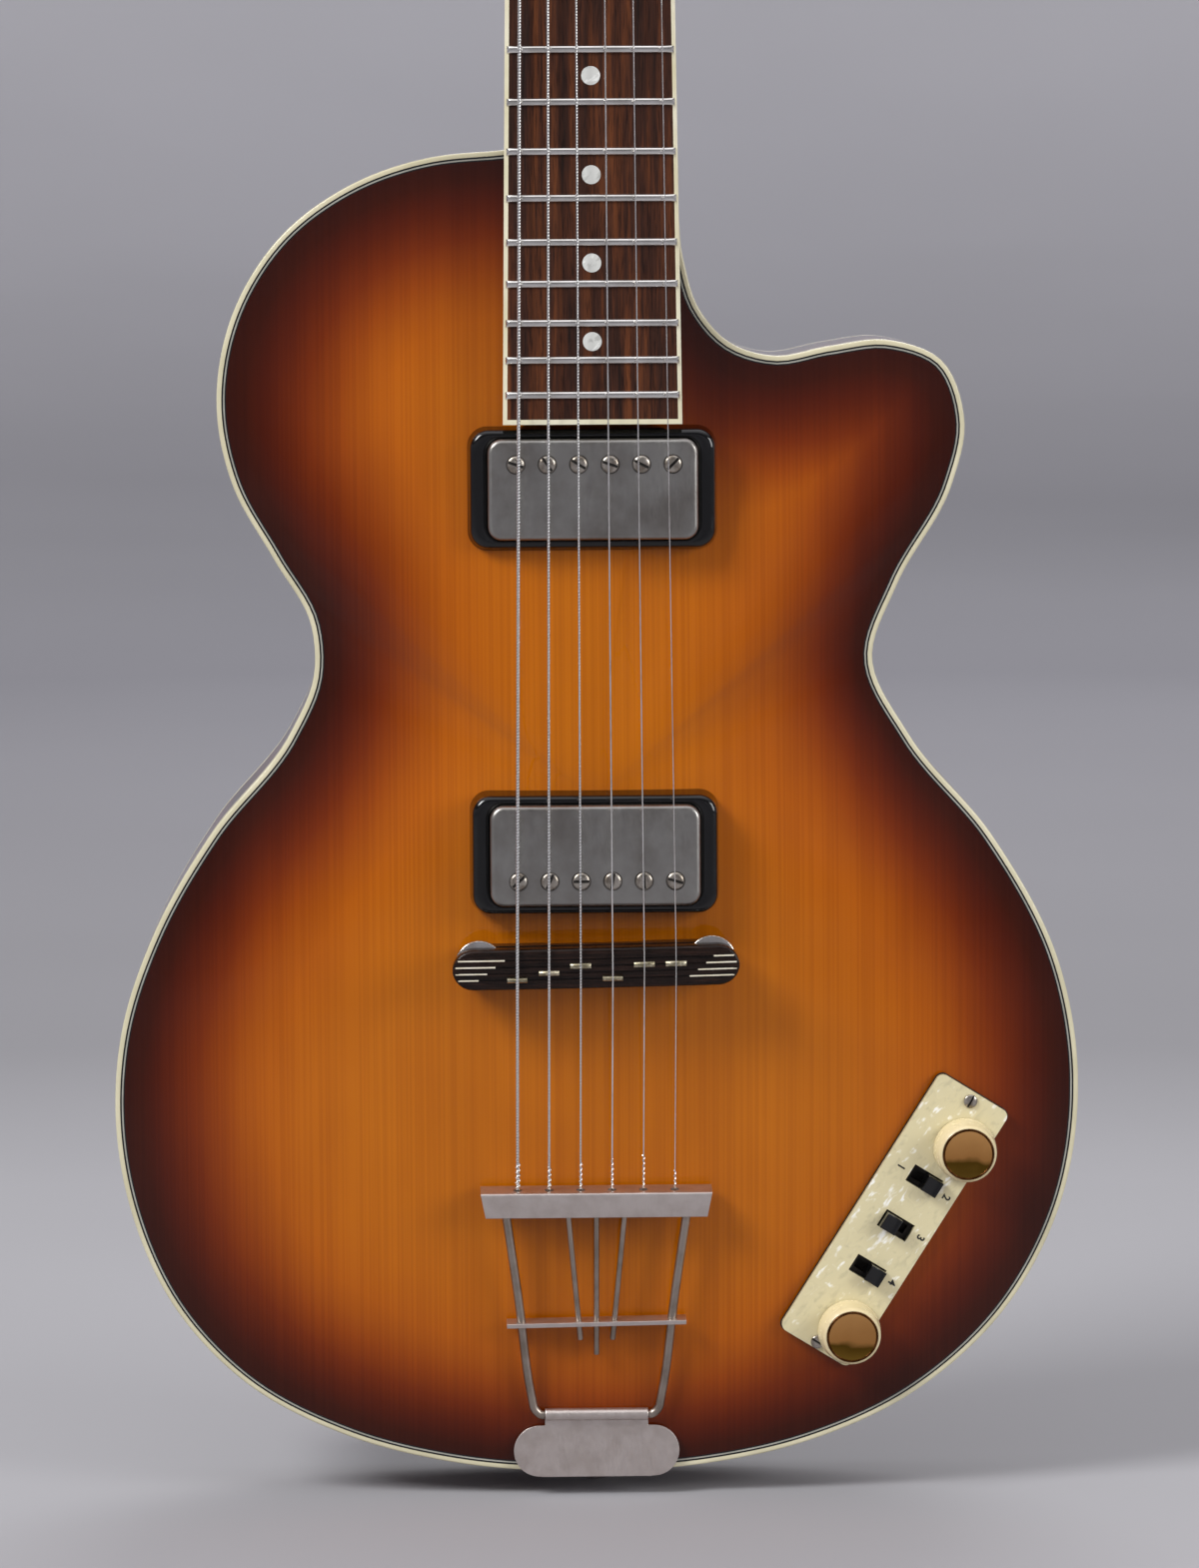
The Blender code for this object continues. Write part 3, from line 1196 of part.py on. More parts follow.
def panel_frame():
    """The control plate's frame: its own Y up its length, Z out; flat, just clear of the arch."""
    lean = radians(PANEL_LEAN)
    up = Vector((sin(lean), cos(lean)))
    side = Vector((cos(lean), -sin(lean)))
    centre = Vector((PANEL_X, PANEL_LIFT))

    def surface(a, b):
        point = centre + side * a + up * b
        return Vector((point.x, top_surface(point.x, point.y), point.y))

    half_w, half_l = PANEL_WIDTH / 2, PANEL_LENGTH / 2
    across = surface(half_w, 0.0) - surface(-half_w, 0.0)
    length = surface(0.0, half_l * 0.8) - surface(0.0, -half_l * 0.8)
    z_axis = across.cross(length).normalized()
    y_axis = (length - z_axis * length.dot(z_axis)).normalized()
    base = surface(0.0, 0.0)
    grid = [surface(half_w * i / 4, half_l * j / 8) for i in range(-4, 5) for j in range(-8, 9)]
    clear = max((point - base).dot(z_axis) for point in grid)
    matrix = Matrix((y_axis.cross(z_axis), y_axis, z_axis)).transposed().to_4x4()
    matrix.translation = base + z_axis * (clear + GAP)
    return matrix


PANEL = panel_frame()
KNOBS = (("knob_upper", KNOB_HIGH), ("knob_lower", KNOB_LOW))
SWITCHES = (
    (SWITCH_MIDDLE + SWITCH_PITCH, 1.0), (SWITCH_MIDDLE, -1.0), (SWITCH_MIDDLE - SWITCH_PITCH, 1.0),
)
SLIDE_TRAVEL = WINDOW_LENGTH - SLIDER_LENGTH - 2 * GAP


def control_pieces(top):
    """Plate, knobs and slide switches; the front is cut for what hangs under the plate."""
    outline = rounded_rectangle(PANEL_WIDTH, PANEL_LENGTH, PANEL_CORNER, 3, PANEL_LENGTH)
    holes = [circle(KNOB_SIDE, y, KNOB_STEM + 4 * GAP) for name, y in KNOBS]
    for y, thrown in SWITCHES:
        left, right = SWITCH_SIDE - WINDOW_LENGTH / 2, SWITCH_SIDE + WINDOW_LENGTH / 2
        low, high = y - WINDOW_WIDTH / 2, y + WINDOW_WIDTH / 2
        holes.append([(left, low), (right, low), (right, high), (left, high)])
    holes += [circle(0.0, y, SCREW_HOLE, 8) for y in (SCREW_HIGH, SCREW_LOW)]
    flat_piece("control_plate", [outline] + holes, 0.0, PANEL_THICKNESS, PANEL, PEARL)
    edge = KNOB_SIDE + POT_DIAMETER / 2 + GAP
    low, high = KNOB_LOW - POT_DIAMETER / 2 - GAP, KNOB_HIGH + POT_DIAMETER / 2 + GAP
    spot = PANEL @ Matrix.Translation((0.0, (low + high) / 2, 0.0))
    cut(top, block("control_room", (2 * edge, high - low, 4 * TOP_ARCH), None, spot))

    for name, y in KNOBS:
        low = PANEL_THICKNESS + GAP
        tall = low + KNOB_HEIGHT
        outer, cap, stem = KNOB_DIAMETER / 2, KNOB_CAP / 2, KNOB_STEM / 2
        reach = POT_FLOOR + GAP
        profile = [(0.0, tall), (cap - 0.5, tall), (cap, tall - 0.6), (cap + 0.7, tall - 1.2),
                   (outer - 0.6, low + 2.4), (outer, low + 1.2), (outer, low), (stem, low),
                   (stem, reach), (0.0, reach)]
        turned(name, profile, CREAM, PANEL @ Matrix.Translation((KNOB_SIDE, y, 0.0)), 24)
    for index, (y, thrown) in enumerate(SWITCHES):
        spot = PANEL @ Matrix.Translation((SWITCH_SIDE + thrown * SLIDE_TRAVEL / 2, y, 0.0))
        tall = PANEL_THICKNESS + SLIDER_HEIGHT
        size = (SLIDER_LENGTH, WINDOW_WIDTH - 2 * GAP, tall)
        grip = block("grip", size, BLACK, spot @ Matrix.Translation((0.0, 0.0, tall / 2)))
        size = (SWITCH_STEM, SWITCH_STEM, STEM_REACH + PANEL_THICKNESS)
        centre = spot @ Matrix.Translation((0.0, 0.0, (PANEL_THICKNESS - STEM_REACH) / 2))
        stem = block("stem", size, BLACK, centre)
        gather(f"switch_slider_{index + 1}", [grip, stem], BLACK, spot, union=True)


def harness_pieces():
    """Potentiometers, switch bodies and the leads soldered between them, as one assembly."""
    parts = []
    bore, wall = KNOB_STEM / 2 + GAP, POT_DIAMETER / 2
    for name, y in KNOBS:
        profile = [(0.0, POT_FLOOR), (bore, POT_FLOOR), (bore, -GAP), (wall, -GAP),
                   (wall, -GAP - POT_HEIGHT), (0.0, -GAP - POT_HEIGHT)]
        parts.append(turned("pot", profile, STEEL, PANEL @ Matrix.Translation((KNOB_SIDE, y, 0.0)), 16))
    depth = SWITCH_BODY[2]
    for y, thrown in SWITCHES:
        centre = PANEL @ Matrix.Translation((SWITCH_SIDE, y, -GAP - depth / 2))
        body = block("switch_body", SWITCH_BODY, STEEL, centre)
        size = (SLIDE_TRAVEL + SWITCH_STEM + 2 * GAP, SWITCH_STEM + 2 * GAP, 2 * (STEM_REACH + GAP))
        cut(body, block("switch_slot", size, None, PANEL @ Matrix.Translation((SWITCH_SIDE, y, 0.0))))
        parts.append(body)
    bus_depth = -GAP - depth + LEAD_DIAMETER / 2
    bus_side = SWITCH_SIDE + 1.0
    ends = (KNOB_LOW + wall - 1.5, KNOB_HIGH - wall + 1.5)
    bus = [PANEL @ Vector((bus_side, y, bus_depth)) for y in ends]
    parts.append(tube("bus", bus, LEAD_DIAMETER / 2, RUBBER, 1))

    deep = FRONT + TOP_THICKNESS + BAR_HEIGHT + 4.0
    for (spot_name, lift, height, side), (y, thrown) in zip(PICKUPS, SWITCHES):
        crown = top_surface(0.0, lift) - height - COVER_PROUD
        start = Vector((0.3 * COVER_SIZE_X, crown + COVER_DEPTH + GAP, lift))
        socket = PANEL @ Vector((SWITCH_SIDE, y, -GAP - depth + 1.0))
        below = PANEL @ Vector((SWITCH_SIDE, y, -GAP - depth - LEAD_DROP))
        inside = BAR_SPREAD - BAR_WIDTH / 2 - LEAD_DROP
        beside = BAR_SPREAD + BAR_WIDTH / 2 + (2.0 + side / 2) * LEAD_BEND
        run = [start, start + Vector((0.5, 5.0, -1.0)), start + Vector((6.0, 9.0, -7.0)),
               Vector((inside, deep, lift - LEAD_RUN)), Vector((beside, deep, PANEL_LIFT + LEAD_RUN * 0.85)),
               below, socket]
        parts.append(tube("lead", run, LEAD_DIAMETER, RUBBER, 1))
    can = PANEL @ Vector((KNOB_SIDE, KNOB_HIGH, -GAP - POT_HEIGHT + 0.5))
    can_out = PANEL @ Vector((KNOB_SIDE, KNOB_HIGH, -GAP - POT_HEIGHT - 5.0))
    jack_end = JACK @ Vector((0.0, 0.0, -JACK_LENGTH - GAP))
    jack_out = JACK @ Vector((0.0, 0.0, -JACK_LENGTH - 6.0))
    parts.append(tube("jack_lead", [can, can_out, jack_out, jack_end], LEAD_DIAMETER, RUBBER, 1))
    gather("control_harness", parts, RUBBER, union=True)


def jack_pieces(rim):
    """Jack in the treble side of the rim, with its washer and nut."""
    bore, neck, washer, nut = JACK_BORE / 2, JACK_NECK / 2, JACK_WASHER / 2, JACK_NUT / 2
    inside = -RIM_WALL - 4 * GAP
    profile = [(bore, JACK_PROUD), (nut, JACK_PROUD), (nut, 1.0), (washer, 1.0), (washer, 0.0), (neck, 0.0),
               (neck, inside), (JACK_BODY / 2, inside), (JACK_BODY / 2, -JACK_LENGTH), (bore, -JACK_LENGTH)]
    turned("output_jack", profile, NICKEL, JACK, 16)
    cut(rim, rod("jack_hole", JACK_NECK + 2 * GAP, -3 * RIM_WALL, RIM_WALL, None, JACK, 16))


def tuner_pieces():
    """Strip plates with ears, posts with gears, and worm shafts with buttons."""
    plate_back = HEAD_BACK - GAP - PLATE_THICKNESS
    gear_top = plate_back - GAP
    gear_low = gear_top - GEAR_THICKNESS
    worm_depth = (gear_top + gear_low) / 2
    worm_shift = GEAR_DIAMETER / 2 + WORM_DIAMETER / 2 + GAP
    for name, side in (("tuner_plate_bass", -1.0), ("tuner_plate_treble", 1.0)):
        x = side * (HEAD_WIDTH / 2 - TUNER_INSET)
        low, high = TUNER_FIRST - 10.0, TUNER_FIRST + 2 * TUNER_PITCH + 14.0
        half = PLATE_WIDTH / 2
        outline = [(x - half, low), (x + half, low), (x + half, high), (x - half, high)]
        spots = [(px, py) for px, py, way in TUNERS if way == side]
        holes = [circle(px, py, POST_DIAMETER + 2 * GAP, 12) for px, py in spots]
        strip = flat_piece("strip", [outline] + holes, plate_back, plate_back + PLATE_THICKNESS, HEAD, NICKEL)
        parts = [strip]
        for px, py in spots:
            for end in (-1.0, 1.0):
                ear_x = px + end * (WORM_LENGTH / 2 + GAP + EAR_THICKNESS / 2)
                tall = plate_back - worm_depth + WORM_DIAMETER / 2 + 0.4
                ear = [(-2.6, 0.6), (-2.6, -tall), (2.6, -tall), (2.6, 0.6)]
                bore = circle(0.0, worm_depth - plate_back, SHAFT_DIAMETER + 3 * GAP, 8)
                spot = HEAD @ Matrix.Translation((ear_x, py + worm_shift, plate_back)) @ STAND_UP
                half = EAR_THICKNESS / 2
                parts.append(flat_piece("ear", [ear, bore], -half, half, spot, NICKEL))
        gather(name, parts, NICKEL, union=True)

    post, gear = POST_DIAMETER / 2, GEAR_DIAMETER / 2
    worm, shaft = WORM_DIAMETER / 2, SHAFT_DIAMETER / 2
    reach = TUNER_INSET + 4.0
    start = WORM_LENGTH / 2 + 2 * GAP + EAR_THICKNESS
    for index, (x, y, side) in enumerate(TUNERS):
        profile = [(0.0, POST_HEIGHT), (post - 0.5, POST_HEIGHT), (post, POST_HEIGHT - 0.5),
                   (post, gear_top), (gear, gear_top), (gear, gear_low), (post, gear_low),
                   (post - 0.6, gear_low - 1.0), (0.0, gear_low - 1.0)]
        turned(f"tuner_post_{index + 1}", profile, STEEL, HEAD @ Matrix.Translation((x, y, 0.0)), 12)
        spot = HEAD @ Matrix.Translation((x, y + worm_shift, worm_depth))
        axis = spot @ Matrix.Rotation(radians(90.0) * side, 4, "Y")
        profile = [(0.0, reach), (shaft, reach), (shaft, WORM_LENGTH / 2), (worm, WORM_LENGTH / 2),
                   (worm, -WORM_LENGTH / 2), (shaft, -WORM_LENGTH / 2), (shaft, -start), (0.0, -start)]
        stem = turned("stem", profile, STEEL, axis, 10)
        button = button_body(axis @ Matrix.Translation((0.0, 0.0, reach - 1.0)))
        gather(f"tuner_button_{index + 1}", [stem, button], PEARL, axis, union=True)


def button_body(axis):
    """An oval tuner button, thick at its middle."""
    rings = [[(0.0, 0.0, 0.0)]]
    for share, spread in ((0.03, 0.5), (0.3, 0.9), (0.65, 1.0), (0.93, 0.6)):
        wide, thick = BUTTON_HEIGHT / 2 * spread, BUTTON_THICKNESS / 2 * (0.55 + 0.45 * spread)
        turns = [pi * step / 5 for step in range(10)]
        rings.append([(thick * sin(turn), wide * cos(turn), BUTTON_LENGTH * share) for turn in turns])
    rings.append([(0.0, 0.0, BUTTON_LENGTH)])
    return place("button", mesh_of("button", loft(rings)), PEARL, axis)


STRING_NAMES = ("low_e", "a", "d", "g", "b", "high_e")


def string_pieces():
    """Each string from its ball in the tailpiece to its coil on the post."""
    for index, diameter in enumerate(STRING_DIAMETERS):
        x = string_x(index, 0.0)
        across = x - BRIDGE_X
        crest = SADDLE_TOP + camber(across) / 2 - WIRE_CROWN - GAP - diameter / 2
        rise = string_above_nut(index)
        nut_x = string_x(index, FRET_ZERO)
        nut_end = along_neck(nut_x, BOARD_TOP + NUT_THICKNESS + 0.5, rise - 0.3)
        points = [
            TAIL @ Vector((x, BALL_LIFT, HOLE_OUT)), TAIL @ Vector((x, BAR_TOP + 0.2, HOLE_OUT)),
            bridge_point(across, (2.5 - SADDLE_SLOTS[index]) * SLOT_PITCH, crest),
            along_neck(nut_x, FRET_ZERO, rise), nut_end,
        ]
        post_x, post_y, side = TUNERS[index]
        radius = POST_DIAMETER / 2 + GAP + diameter / 2
        for step in range(COIL_STEPS + 1):
            turn = COIL_TURNS * step / COIL_STEPS
            angle = 2 * pi * turn
            height = COIL_HEIGHT - (diameter + GAP) * turn
            spot = (post_x - side * radius * cos(angle), post_y + radius * sin(angle), height)
            points.append(HEAD @ Vector(spot))
        wire = tube("wire", points, diameter, STEEL, 1)
        half = BALL_LENGTH / 2
        round_half, end_half = BALL_DIAMETER / 2, BALL_DIAMETER / 2 - 0.6
        profile = [(0.0, half), (end_half, half), (round_half, half * 0.4), (round_half, -half * 0.4),
                   (end_half, -half), (0.0, -half)]
        spot = TAIL @ Matrix.Translation((x, BALL_LIFT, HOLE_OUT))
        ball = turned("ball", profile, BRASS, spot @ Matrix.Rotation(radians(-90.0), 4, "X"), 8)
        gather(f"string_{STRING_NAMES[index]}", [wire, ball], STEEL, union=True)


def build():
    """Make every piece."""
    top, rim = body_pieces()
    neck_pieces()
    fingerboard_pieces()
    pickup_pieces(top)
    bridge_pieces()
    tailpiece_pieces()
    control_pieces(top)
    harness_pieces()
    jack_pieces(rim)
    tuner_pieces()
    string_pieces()


build()
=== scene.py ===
"""Looks of a hollow-body electric guitar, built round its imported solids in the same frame."""

import json
import logging
from dataclasses import dataclass
from enum import Enum
from functools import cache
from math import asin, cos, pi, radians, sin, sqrt
from typing import Any, Callable, Sequence

import bmesh
import bpy
import numpy as np
from mathutils import Matrix, Vector
from mathutils.bvhtree import BVHTree

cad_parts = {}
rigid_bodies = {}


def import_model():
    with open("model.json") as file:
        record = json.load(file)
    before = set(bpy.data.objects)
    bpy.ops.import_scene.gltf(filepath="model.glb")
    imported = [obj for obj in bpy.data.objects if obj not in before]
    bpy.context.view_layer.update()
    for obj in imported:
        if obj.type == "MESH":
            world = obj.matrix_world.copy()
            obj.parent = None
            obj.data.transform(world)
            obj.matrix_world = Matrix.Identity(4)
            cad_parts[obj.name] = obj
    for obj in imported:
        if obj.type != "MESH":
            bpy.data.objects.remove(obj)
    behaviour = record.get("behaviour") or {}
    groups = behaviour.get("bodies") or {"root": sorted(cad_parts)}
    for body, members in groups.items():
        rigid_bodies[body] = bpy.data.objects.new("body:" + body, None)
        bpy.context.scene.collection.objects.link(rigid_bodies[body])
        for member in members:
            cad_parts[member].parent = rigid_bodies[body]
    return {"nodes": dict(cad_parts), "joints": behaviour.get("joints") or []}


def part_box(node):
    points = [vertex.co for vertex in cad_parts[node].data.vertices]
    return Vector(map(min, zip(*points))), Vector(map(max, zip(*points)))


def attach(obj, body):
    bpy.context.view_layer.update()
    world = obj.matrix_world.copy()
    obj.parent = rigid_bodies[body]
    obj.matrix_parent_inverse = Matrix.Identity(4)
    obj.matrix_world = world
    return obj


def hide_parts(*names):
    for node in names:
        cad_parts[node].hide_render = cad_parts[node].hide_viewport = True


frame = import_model()

Shape, Mesh, Thing, Socket = bmesh.types.BMesh, bpy.types.Mesh, bpy.types.Object, bpy.types.NodeSocket
Pair = tuple[float, float]
Triple = tuple[float, float, float]
Stops = Sequence[tuple[float, str]]

LOG = logging.getLogger("guitar")
MM = 0.001
# How high the part's own frame stands over the floor, in millimetres
STAND = 7.1
# Air between pieces that move past each other, and how deep a foot sits in the front
GAP = 0.3
SEAT = 0.05
WORLD = Matrix.Scale(MM, 4) @ Matrix.Translation((0.0, 0.0, STAND))
HERE = Matrix.Identity(4)
MAIN = "body_and_neck"
STRINGS = range(6)
# The strings' numbers are counted from this middle
MIDDLE_STRING = 2.5


def linear(code: str) -> tuple[float, ...]:
    """Turn an sRGB hex colour to linear red, green and blue, with full opacity."""
    parts = [int(code[start:start + 2], 16) / 255 for start in (0, 2, 4)]
    return *(part / 12.92 if part <= 0.04045 else ((part + 0.055) / 1.055) ** 2.4 for part in parts), 1.0


def adjusted(item: Any, **values: Any) -> Any:
    """Set several properties of a thing and give it back.

    Args:
        item: The thing.
        values: Each property's new value.

    Returns:
        The same thing.
    """
    for name, value in values.items():
        setattr(item, name, value)
    return item


class Weave:
    """A node tree and what goes into it."""

    def __init__(self, tree: bpy.types.NodeTree) -> None:
        """Take up a tree."""
        self.tree = tree

    def fill(self, node: bpy.types.Node, values: dict) -> None:
        """Give a node its settings and links.

        Args:
            node: The node.
            values: A number, a name, colour stops or a socket to link, by property, input name or input number.
        """
        for name, value in values.items():
            if isinstance(value, Socket):
                self.tree.links.new(value, node.inputs[name])
            elif name == "stops":
                elements = node.color_ramp.elements
                while len(elements) < len(value):
                    elements.new(1.0)
                for element, (spot, code) in zip(elements, value):
                    adjusted(element, position=spot, color=linear(code))
            elif isinstance(name, str) and hasattr(node, name):
                setattr(node, name, value)
            else:
                node.inputs[name].default_value = value

    def add(self, kind: str, values: dict | None = None, out: int | str = 0) -> Socket | None:
        """Add a node.

        Args:
            kind: Its type name.
            values: Its settings and links.
            out: Which of its outputs is wanted.

        Returns:
            That output, if the node has any.
        """
        node = self.tree.nodes.new(kind)
        self.fill(node, values or {})
        return node.outputs[out] if node.outputs else None


class Paint(Weave):
    """A material in the making, with its shader and each point's place on the piece."""

    def __init__(self, name: str) -> None:
        """Start a material of this name.

        Args:
            name: The material's name.
        """
        self.material = adjusted(bpy.data.materials.new(name), use_nodes=True)
        super().__init__(self.material.node_tree)
        self.tree.nodes.clear()
        surface = self.add("ShaderNodeBsdfPrincipled")
        self.shader = surface.node
        self.add("ShaderNodeOutputMaterial", {"Surface": surface})
        self.place = self.add("ShaderNodeTexCoord", out="Object")

    def marks(self, size: float | Triple, detail: float = 2.0, turn: Triple = (0.0, 0.0, 0.0),
              place: Socket | None = None) -> Socket:
        """Random soft marks of a real size.

        Args:
            size: Their size in millimetres, or one along each axis.
            detail: Octaves of finer marks.
            turn: Turn of the pattern in radians.
            place: Coordinates in metres, where they aren't the piece's own.

        Returns:
            A value about 0.5 that goes up and down.
        """
        sides = (size,) * 3 if isinstance(size, float) else size
        lie = self.add("ShaderNodeMapping", {"Rotation": turn, "Vector": place or self.place})
        scale = tuple(1 / (side * MM) for side in sides)
        lie = self.add("ShaderNodeMapping", {"Scale": scale, "Vector": lie})
        return self.add("ShaderNodeTexNoise", {"Scale": 1.0, "Detail": detail, "Roughness": 0.55, "Vector": lie})

    def tint(self, pattern: Socket, stops: Stops, under: Socket | None = None, share: float = 1.0) -> Socket:
        """Colours laid along a pattern.

        Args:
            pattern: Its value.
            stops: Places from 0 to 1 with their hex colours.
            under: A colour that they darken, where there is one.
            share: How much they darken it.

        Returns:
            The colour.
        """
        colour = self.add("ShaderNodeValToRGB", {"stops": stops, "Fac": pattern})
        if under is None:
            return colour
        mix = {"data_type": "RGBA", "blend_type": "MULTIPLY", 0: share, 6: under, 7: colour}
        return self.add("ShaderNodeMix", mix, 2)

    def finish(self, values: dict, pattern: Socket | None = None, rough: Pair = (0.0, 0.0), depth: float = 0.0,
               strength: float = 0.5) -> None:
        """Give the shader its inputs, and let a pattern roughen and emboss it.

        Args:
            values: Numbers or sockets by the shader's input.
            pattern: What varies over the surface.
            rough: Roughness at the pattern's low and high marks, where it varies.
            depth: Height of the pattern in millimetres, where it can be felt.
            strength: Share of that height which shows.
        """
        if any(rough):
            span = {"From Min": 0.3, "From Max": 0.7, "To Min": rough[0], "To Max": rough[1], "Value": pattern}
            values["Roughness"] = self.add("ShaderNodeMapRange", span)
        if depth:
            bump = {"Distance": depth * MM, "Strength": strength, "Height": pattern}
            values["Normal"] = self.add("ShaderNodeBump", bump)
        self.fill(self.shader, values)


@dataclass(frozen=True)
class Finish:
    """What every finish has: a name and one material made from it."""

    name: str

    @cache
    def material(self) -> bpy.types.Material:
        """The finish as a material, made once.

        Returns:
            The material.
        """
        paint = Paint(self.name)
        self.dress(paint)
        return paint.material

    def dress(self, paint: Paint) -> None:
        """Give the shader its pattern; each kind of finish has its own."""
        raise NotImplementedError


@dataclass(frozen=True)
class SunburstLacquer(Finish):
    """Nitro lacquer over spruce, shaded from amber in the middle to brown-black at the edge."""

    reach: float = 80.0
    stops: Stops = (
        (4.0, "330E04"), (8.0, "3A1002"), (12.0, "481402"), (16.0, "551A02"), (20.0, "632202"),
        (24.0, "722A03"), (32.0, "8F3F04"), (39.0, "A24F06"), (46.0, "B05A08"), (60.0, "B9640A"),
        (78.0, "BE6A0C"),
    )
    lines: Triple = (0.72, 60.0, 260.0)
    line_depth: float = 0.42
    cloud: Triple = (30.0, 60.0, 70.0)
    ripple: float = 9.0

    def dress(self, paint: Paint) -> None:
        """Shade by distance from the edge, with grain or figure lines under a clear gloss.

        Args:
            paint: The material in the making.
        """
        edge = paint.add("ShaderNodeAttribute", {"attribute_name": "edge_distance"}, "Fac")
        share = paint.add("ShaderNodeMath", {"operation": "DIVIDE", 0: edge, 1: self.reach})
        colour = paint.tint(share, [(spot / self.reach, code) for spot, code in self.stops])
        lines = paint.marks(self.lines, 1.0)
        colour = paint.tint(lines, ((0.38, "DDCFC2"), (0.6, "FFFFFF")), colour, self.line_depth)
        clouds = paint.marks(self.cloud)
        colour = paint.tint(clouds, ((0.35, "EDE6E0"), (0.65, "FFFFFF")), colour, 0.7)
        paint.finish({"Base Color": colour, "Roughness": 0.5, "Specular IOR Level": 0.0, "Coat Weight": 0.55,
                      "Coat Roughness": 0.04}, paint.marks(self.ripple, 1.0), depth=0.02, strength=0.6)


@dataclass(frozen=True)
class FiguredLacquer(Finish):
    """Stained maple under gloss lacquer."""

    dark: str
    light: str
    across: Triple
    pore: Triple = (0.8, 0.8, 14.0)
    ripple: float = 8.0

    def dress(self, paint: Paint) -> None:
        """Soft bands across the grain and fine pores along it.

        Args:
            paint: The material in the making.
        """
        colour = paint.tint(paint.marks(self.across), ((0.3, self.dark), (0.7, self.light)))
        pores = paint.marks(self.pore)
        colour = paint.tint(pores, ((0.35, "C9BEB8"), (0.6, "FFFFFF")), colour, 0.6)
        paint.finish({"Base Color": colour, "Roughness": 0.5, "Specular IOR Level": 0.0, "Coat Weight": 1.0,
                      "Coat Roughness": 0.05}, paint.marks(self.ripple, 1.0), depth=0.02)


@dataclass(frozen=True)
class OpenWood(Finish):
    """Wood without lacquer: streaks along the grain and open pores."""

    stops: Stops
    streak: Triple
    pore: Triple
    roughness: Pair
    turn: Triple = (0.0, 0.0, 0.0)

    def dress(self, paint: Paint) -> None:
        """Streaks of colour, darker pores, and a roughness that follows them.

        Args:
            paint: The material in the making.
        """
        colour = paint.tint(paint.marks(self.streak, 4.0, self.turn), self.stops)
        pores = paint.marks(self.pore, 2.0, self.turn)
        colour = paint.tint(pores, ((0.34, "8C7A70"), (0.5, "FFFFFF")), colour, 0.8)
        paint.finish({"Base Color": colour, "Specular IOR Level": 0.22}, pores, self.roughness, 0.08, 0.6)


@dataclass(frozen=True)
class Celluloid(Finish):
    """Cast celluloid sheet or moulded plastic, polished, a little uneven in colour with age."""

    dark: str
    light: str
    cloud: float
    roughness: Pair = (0.16, 0.26)
    depth: float = 0.004
    wear: float = 3.0

    def dress(self, paint: Paint) -> None:
        """Faint clouds of yellowing and a finger-worn gloss."""
        colour = paint.tint(paint.marks(self.cloud, 3.0), ((0.3, self.dark), (0.7, self.light)))
        paint.finish({"Base Color": colour, "IOR": 1.5}, paint.marks(self.wear, 4.0), self.roughness, self.depth)


@dataclass(frozen=True)
class PearlCelluloid(Finish):
    """Pearl celluloid: cream with curved silvery flakes that catch the light."""

    base: str = "DDD2A8"
    bright: str = "FFFDF2"
    shade: str = "CFC59E"
    # Size of a flake and its slant in radians, size of the swirl and how far it bends them in metres
    flake: Triple = (2.2, 2.2, 6.5)
    slant: float = -0.75
    swirl: float = 9.0
    sway: float = 0.009

    def dress(self, paint: Paint) -> None:
        """Slanting streaks, bent by a slower swirl, brighter and glossier where the flakes lie flat.

        Args:
            paint: The material in the making.
        """
        warp = paint.marks(self.swirl)
        bend = {"operation": "MULTIPLY_ADD", 0: warp, 1: (self.sway,) * 3, 2: paint.place}
        flakes = paint.marks(self.flake, 2.5, (0.0, self.slant, 0.0), paint.add("ShaderNodeVectorMath", bend))
        stops = ((0.3, self.shade), (0.44, self.base), (0.6, self.base), (0.7, self.bright))
        paint.finish({"Base Color": paint.tint(flakes, stops)}, warp, (0.14, 0.3))
        paint.finish({"Coat Weight": 0.6, "Coat Roughness": 0.05}, flakes, depth=0.05, strength=0.35)


@dataclass(frozen=True)
class WornMetal(Finish):
    """Plated or bare metal with tarnish clouds and rubbed, rougher patches."""

    clean: str
    tarnish: str
    cloud: float
    roughness: Pair
    bias: float = 0.5
    scratch: float = 0.006
    rub: Triple = (0.5, 0.5, 2.4)

    def dress(self, paint: Paint) -> None:
        """Tarnish in clouds, with fine rubbing that also roughens the gloss.

        Args:
            paint: The material in the making.
        """
        clouds = paint.marks(self.cloud, 5.0)
        colour = paint.tint(clouds, ((self.bias - 0.12, self.tarnish), (self.bias + 0.14, self.clean)))
        rub = paint.marks(self.rub, 3.0)
        paint.finish({"Base Color": colour, "Metallic": 1.0}, rub, self.roughness, self.scratch)


@dataclass(frozen=True)
class MirrorFoil(Finish):
    """Gold foil under clear plastic, darker brown on its lower part: a painted reflection of the dark floor."""

    # The dark stops low on the cap are painted reflection; the gold ones above are the foil
    stops: Stops = ((0.0, "7E6026"), (0.3, "5E4516"), (0.42, "B8834A"), (1.0, "DCA565"))

    def dress(self, paint: Paint) -> None:
        """Gold that turns to a painted dark reflection below an uneven line across the cap.

        Args:
            paint: The material in the making.
        """
        height = paint.add("ShaderNodeAttribute", {"attribute_name": "cap_height"}, "Fac")
        span = {"From Min": 0.3, "From Max": 0.7, "To Min": -0.06, "To Max": 0.06, "Value": paint.marks(6.0, 1.0)}
        waver = paint.add("ShaderNodeMapRange", span)
        line = paint.add("ShaderNodeMath", {"operation": "ADD", 0: height, 1: waver})
        paint.finish({"Base Color": paint.tint(line, self.stops), "Metallic": 1.0}, paint.marks(2.0, 3.0), (0.03, 0.1))


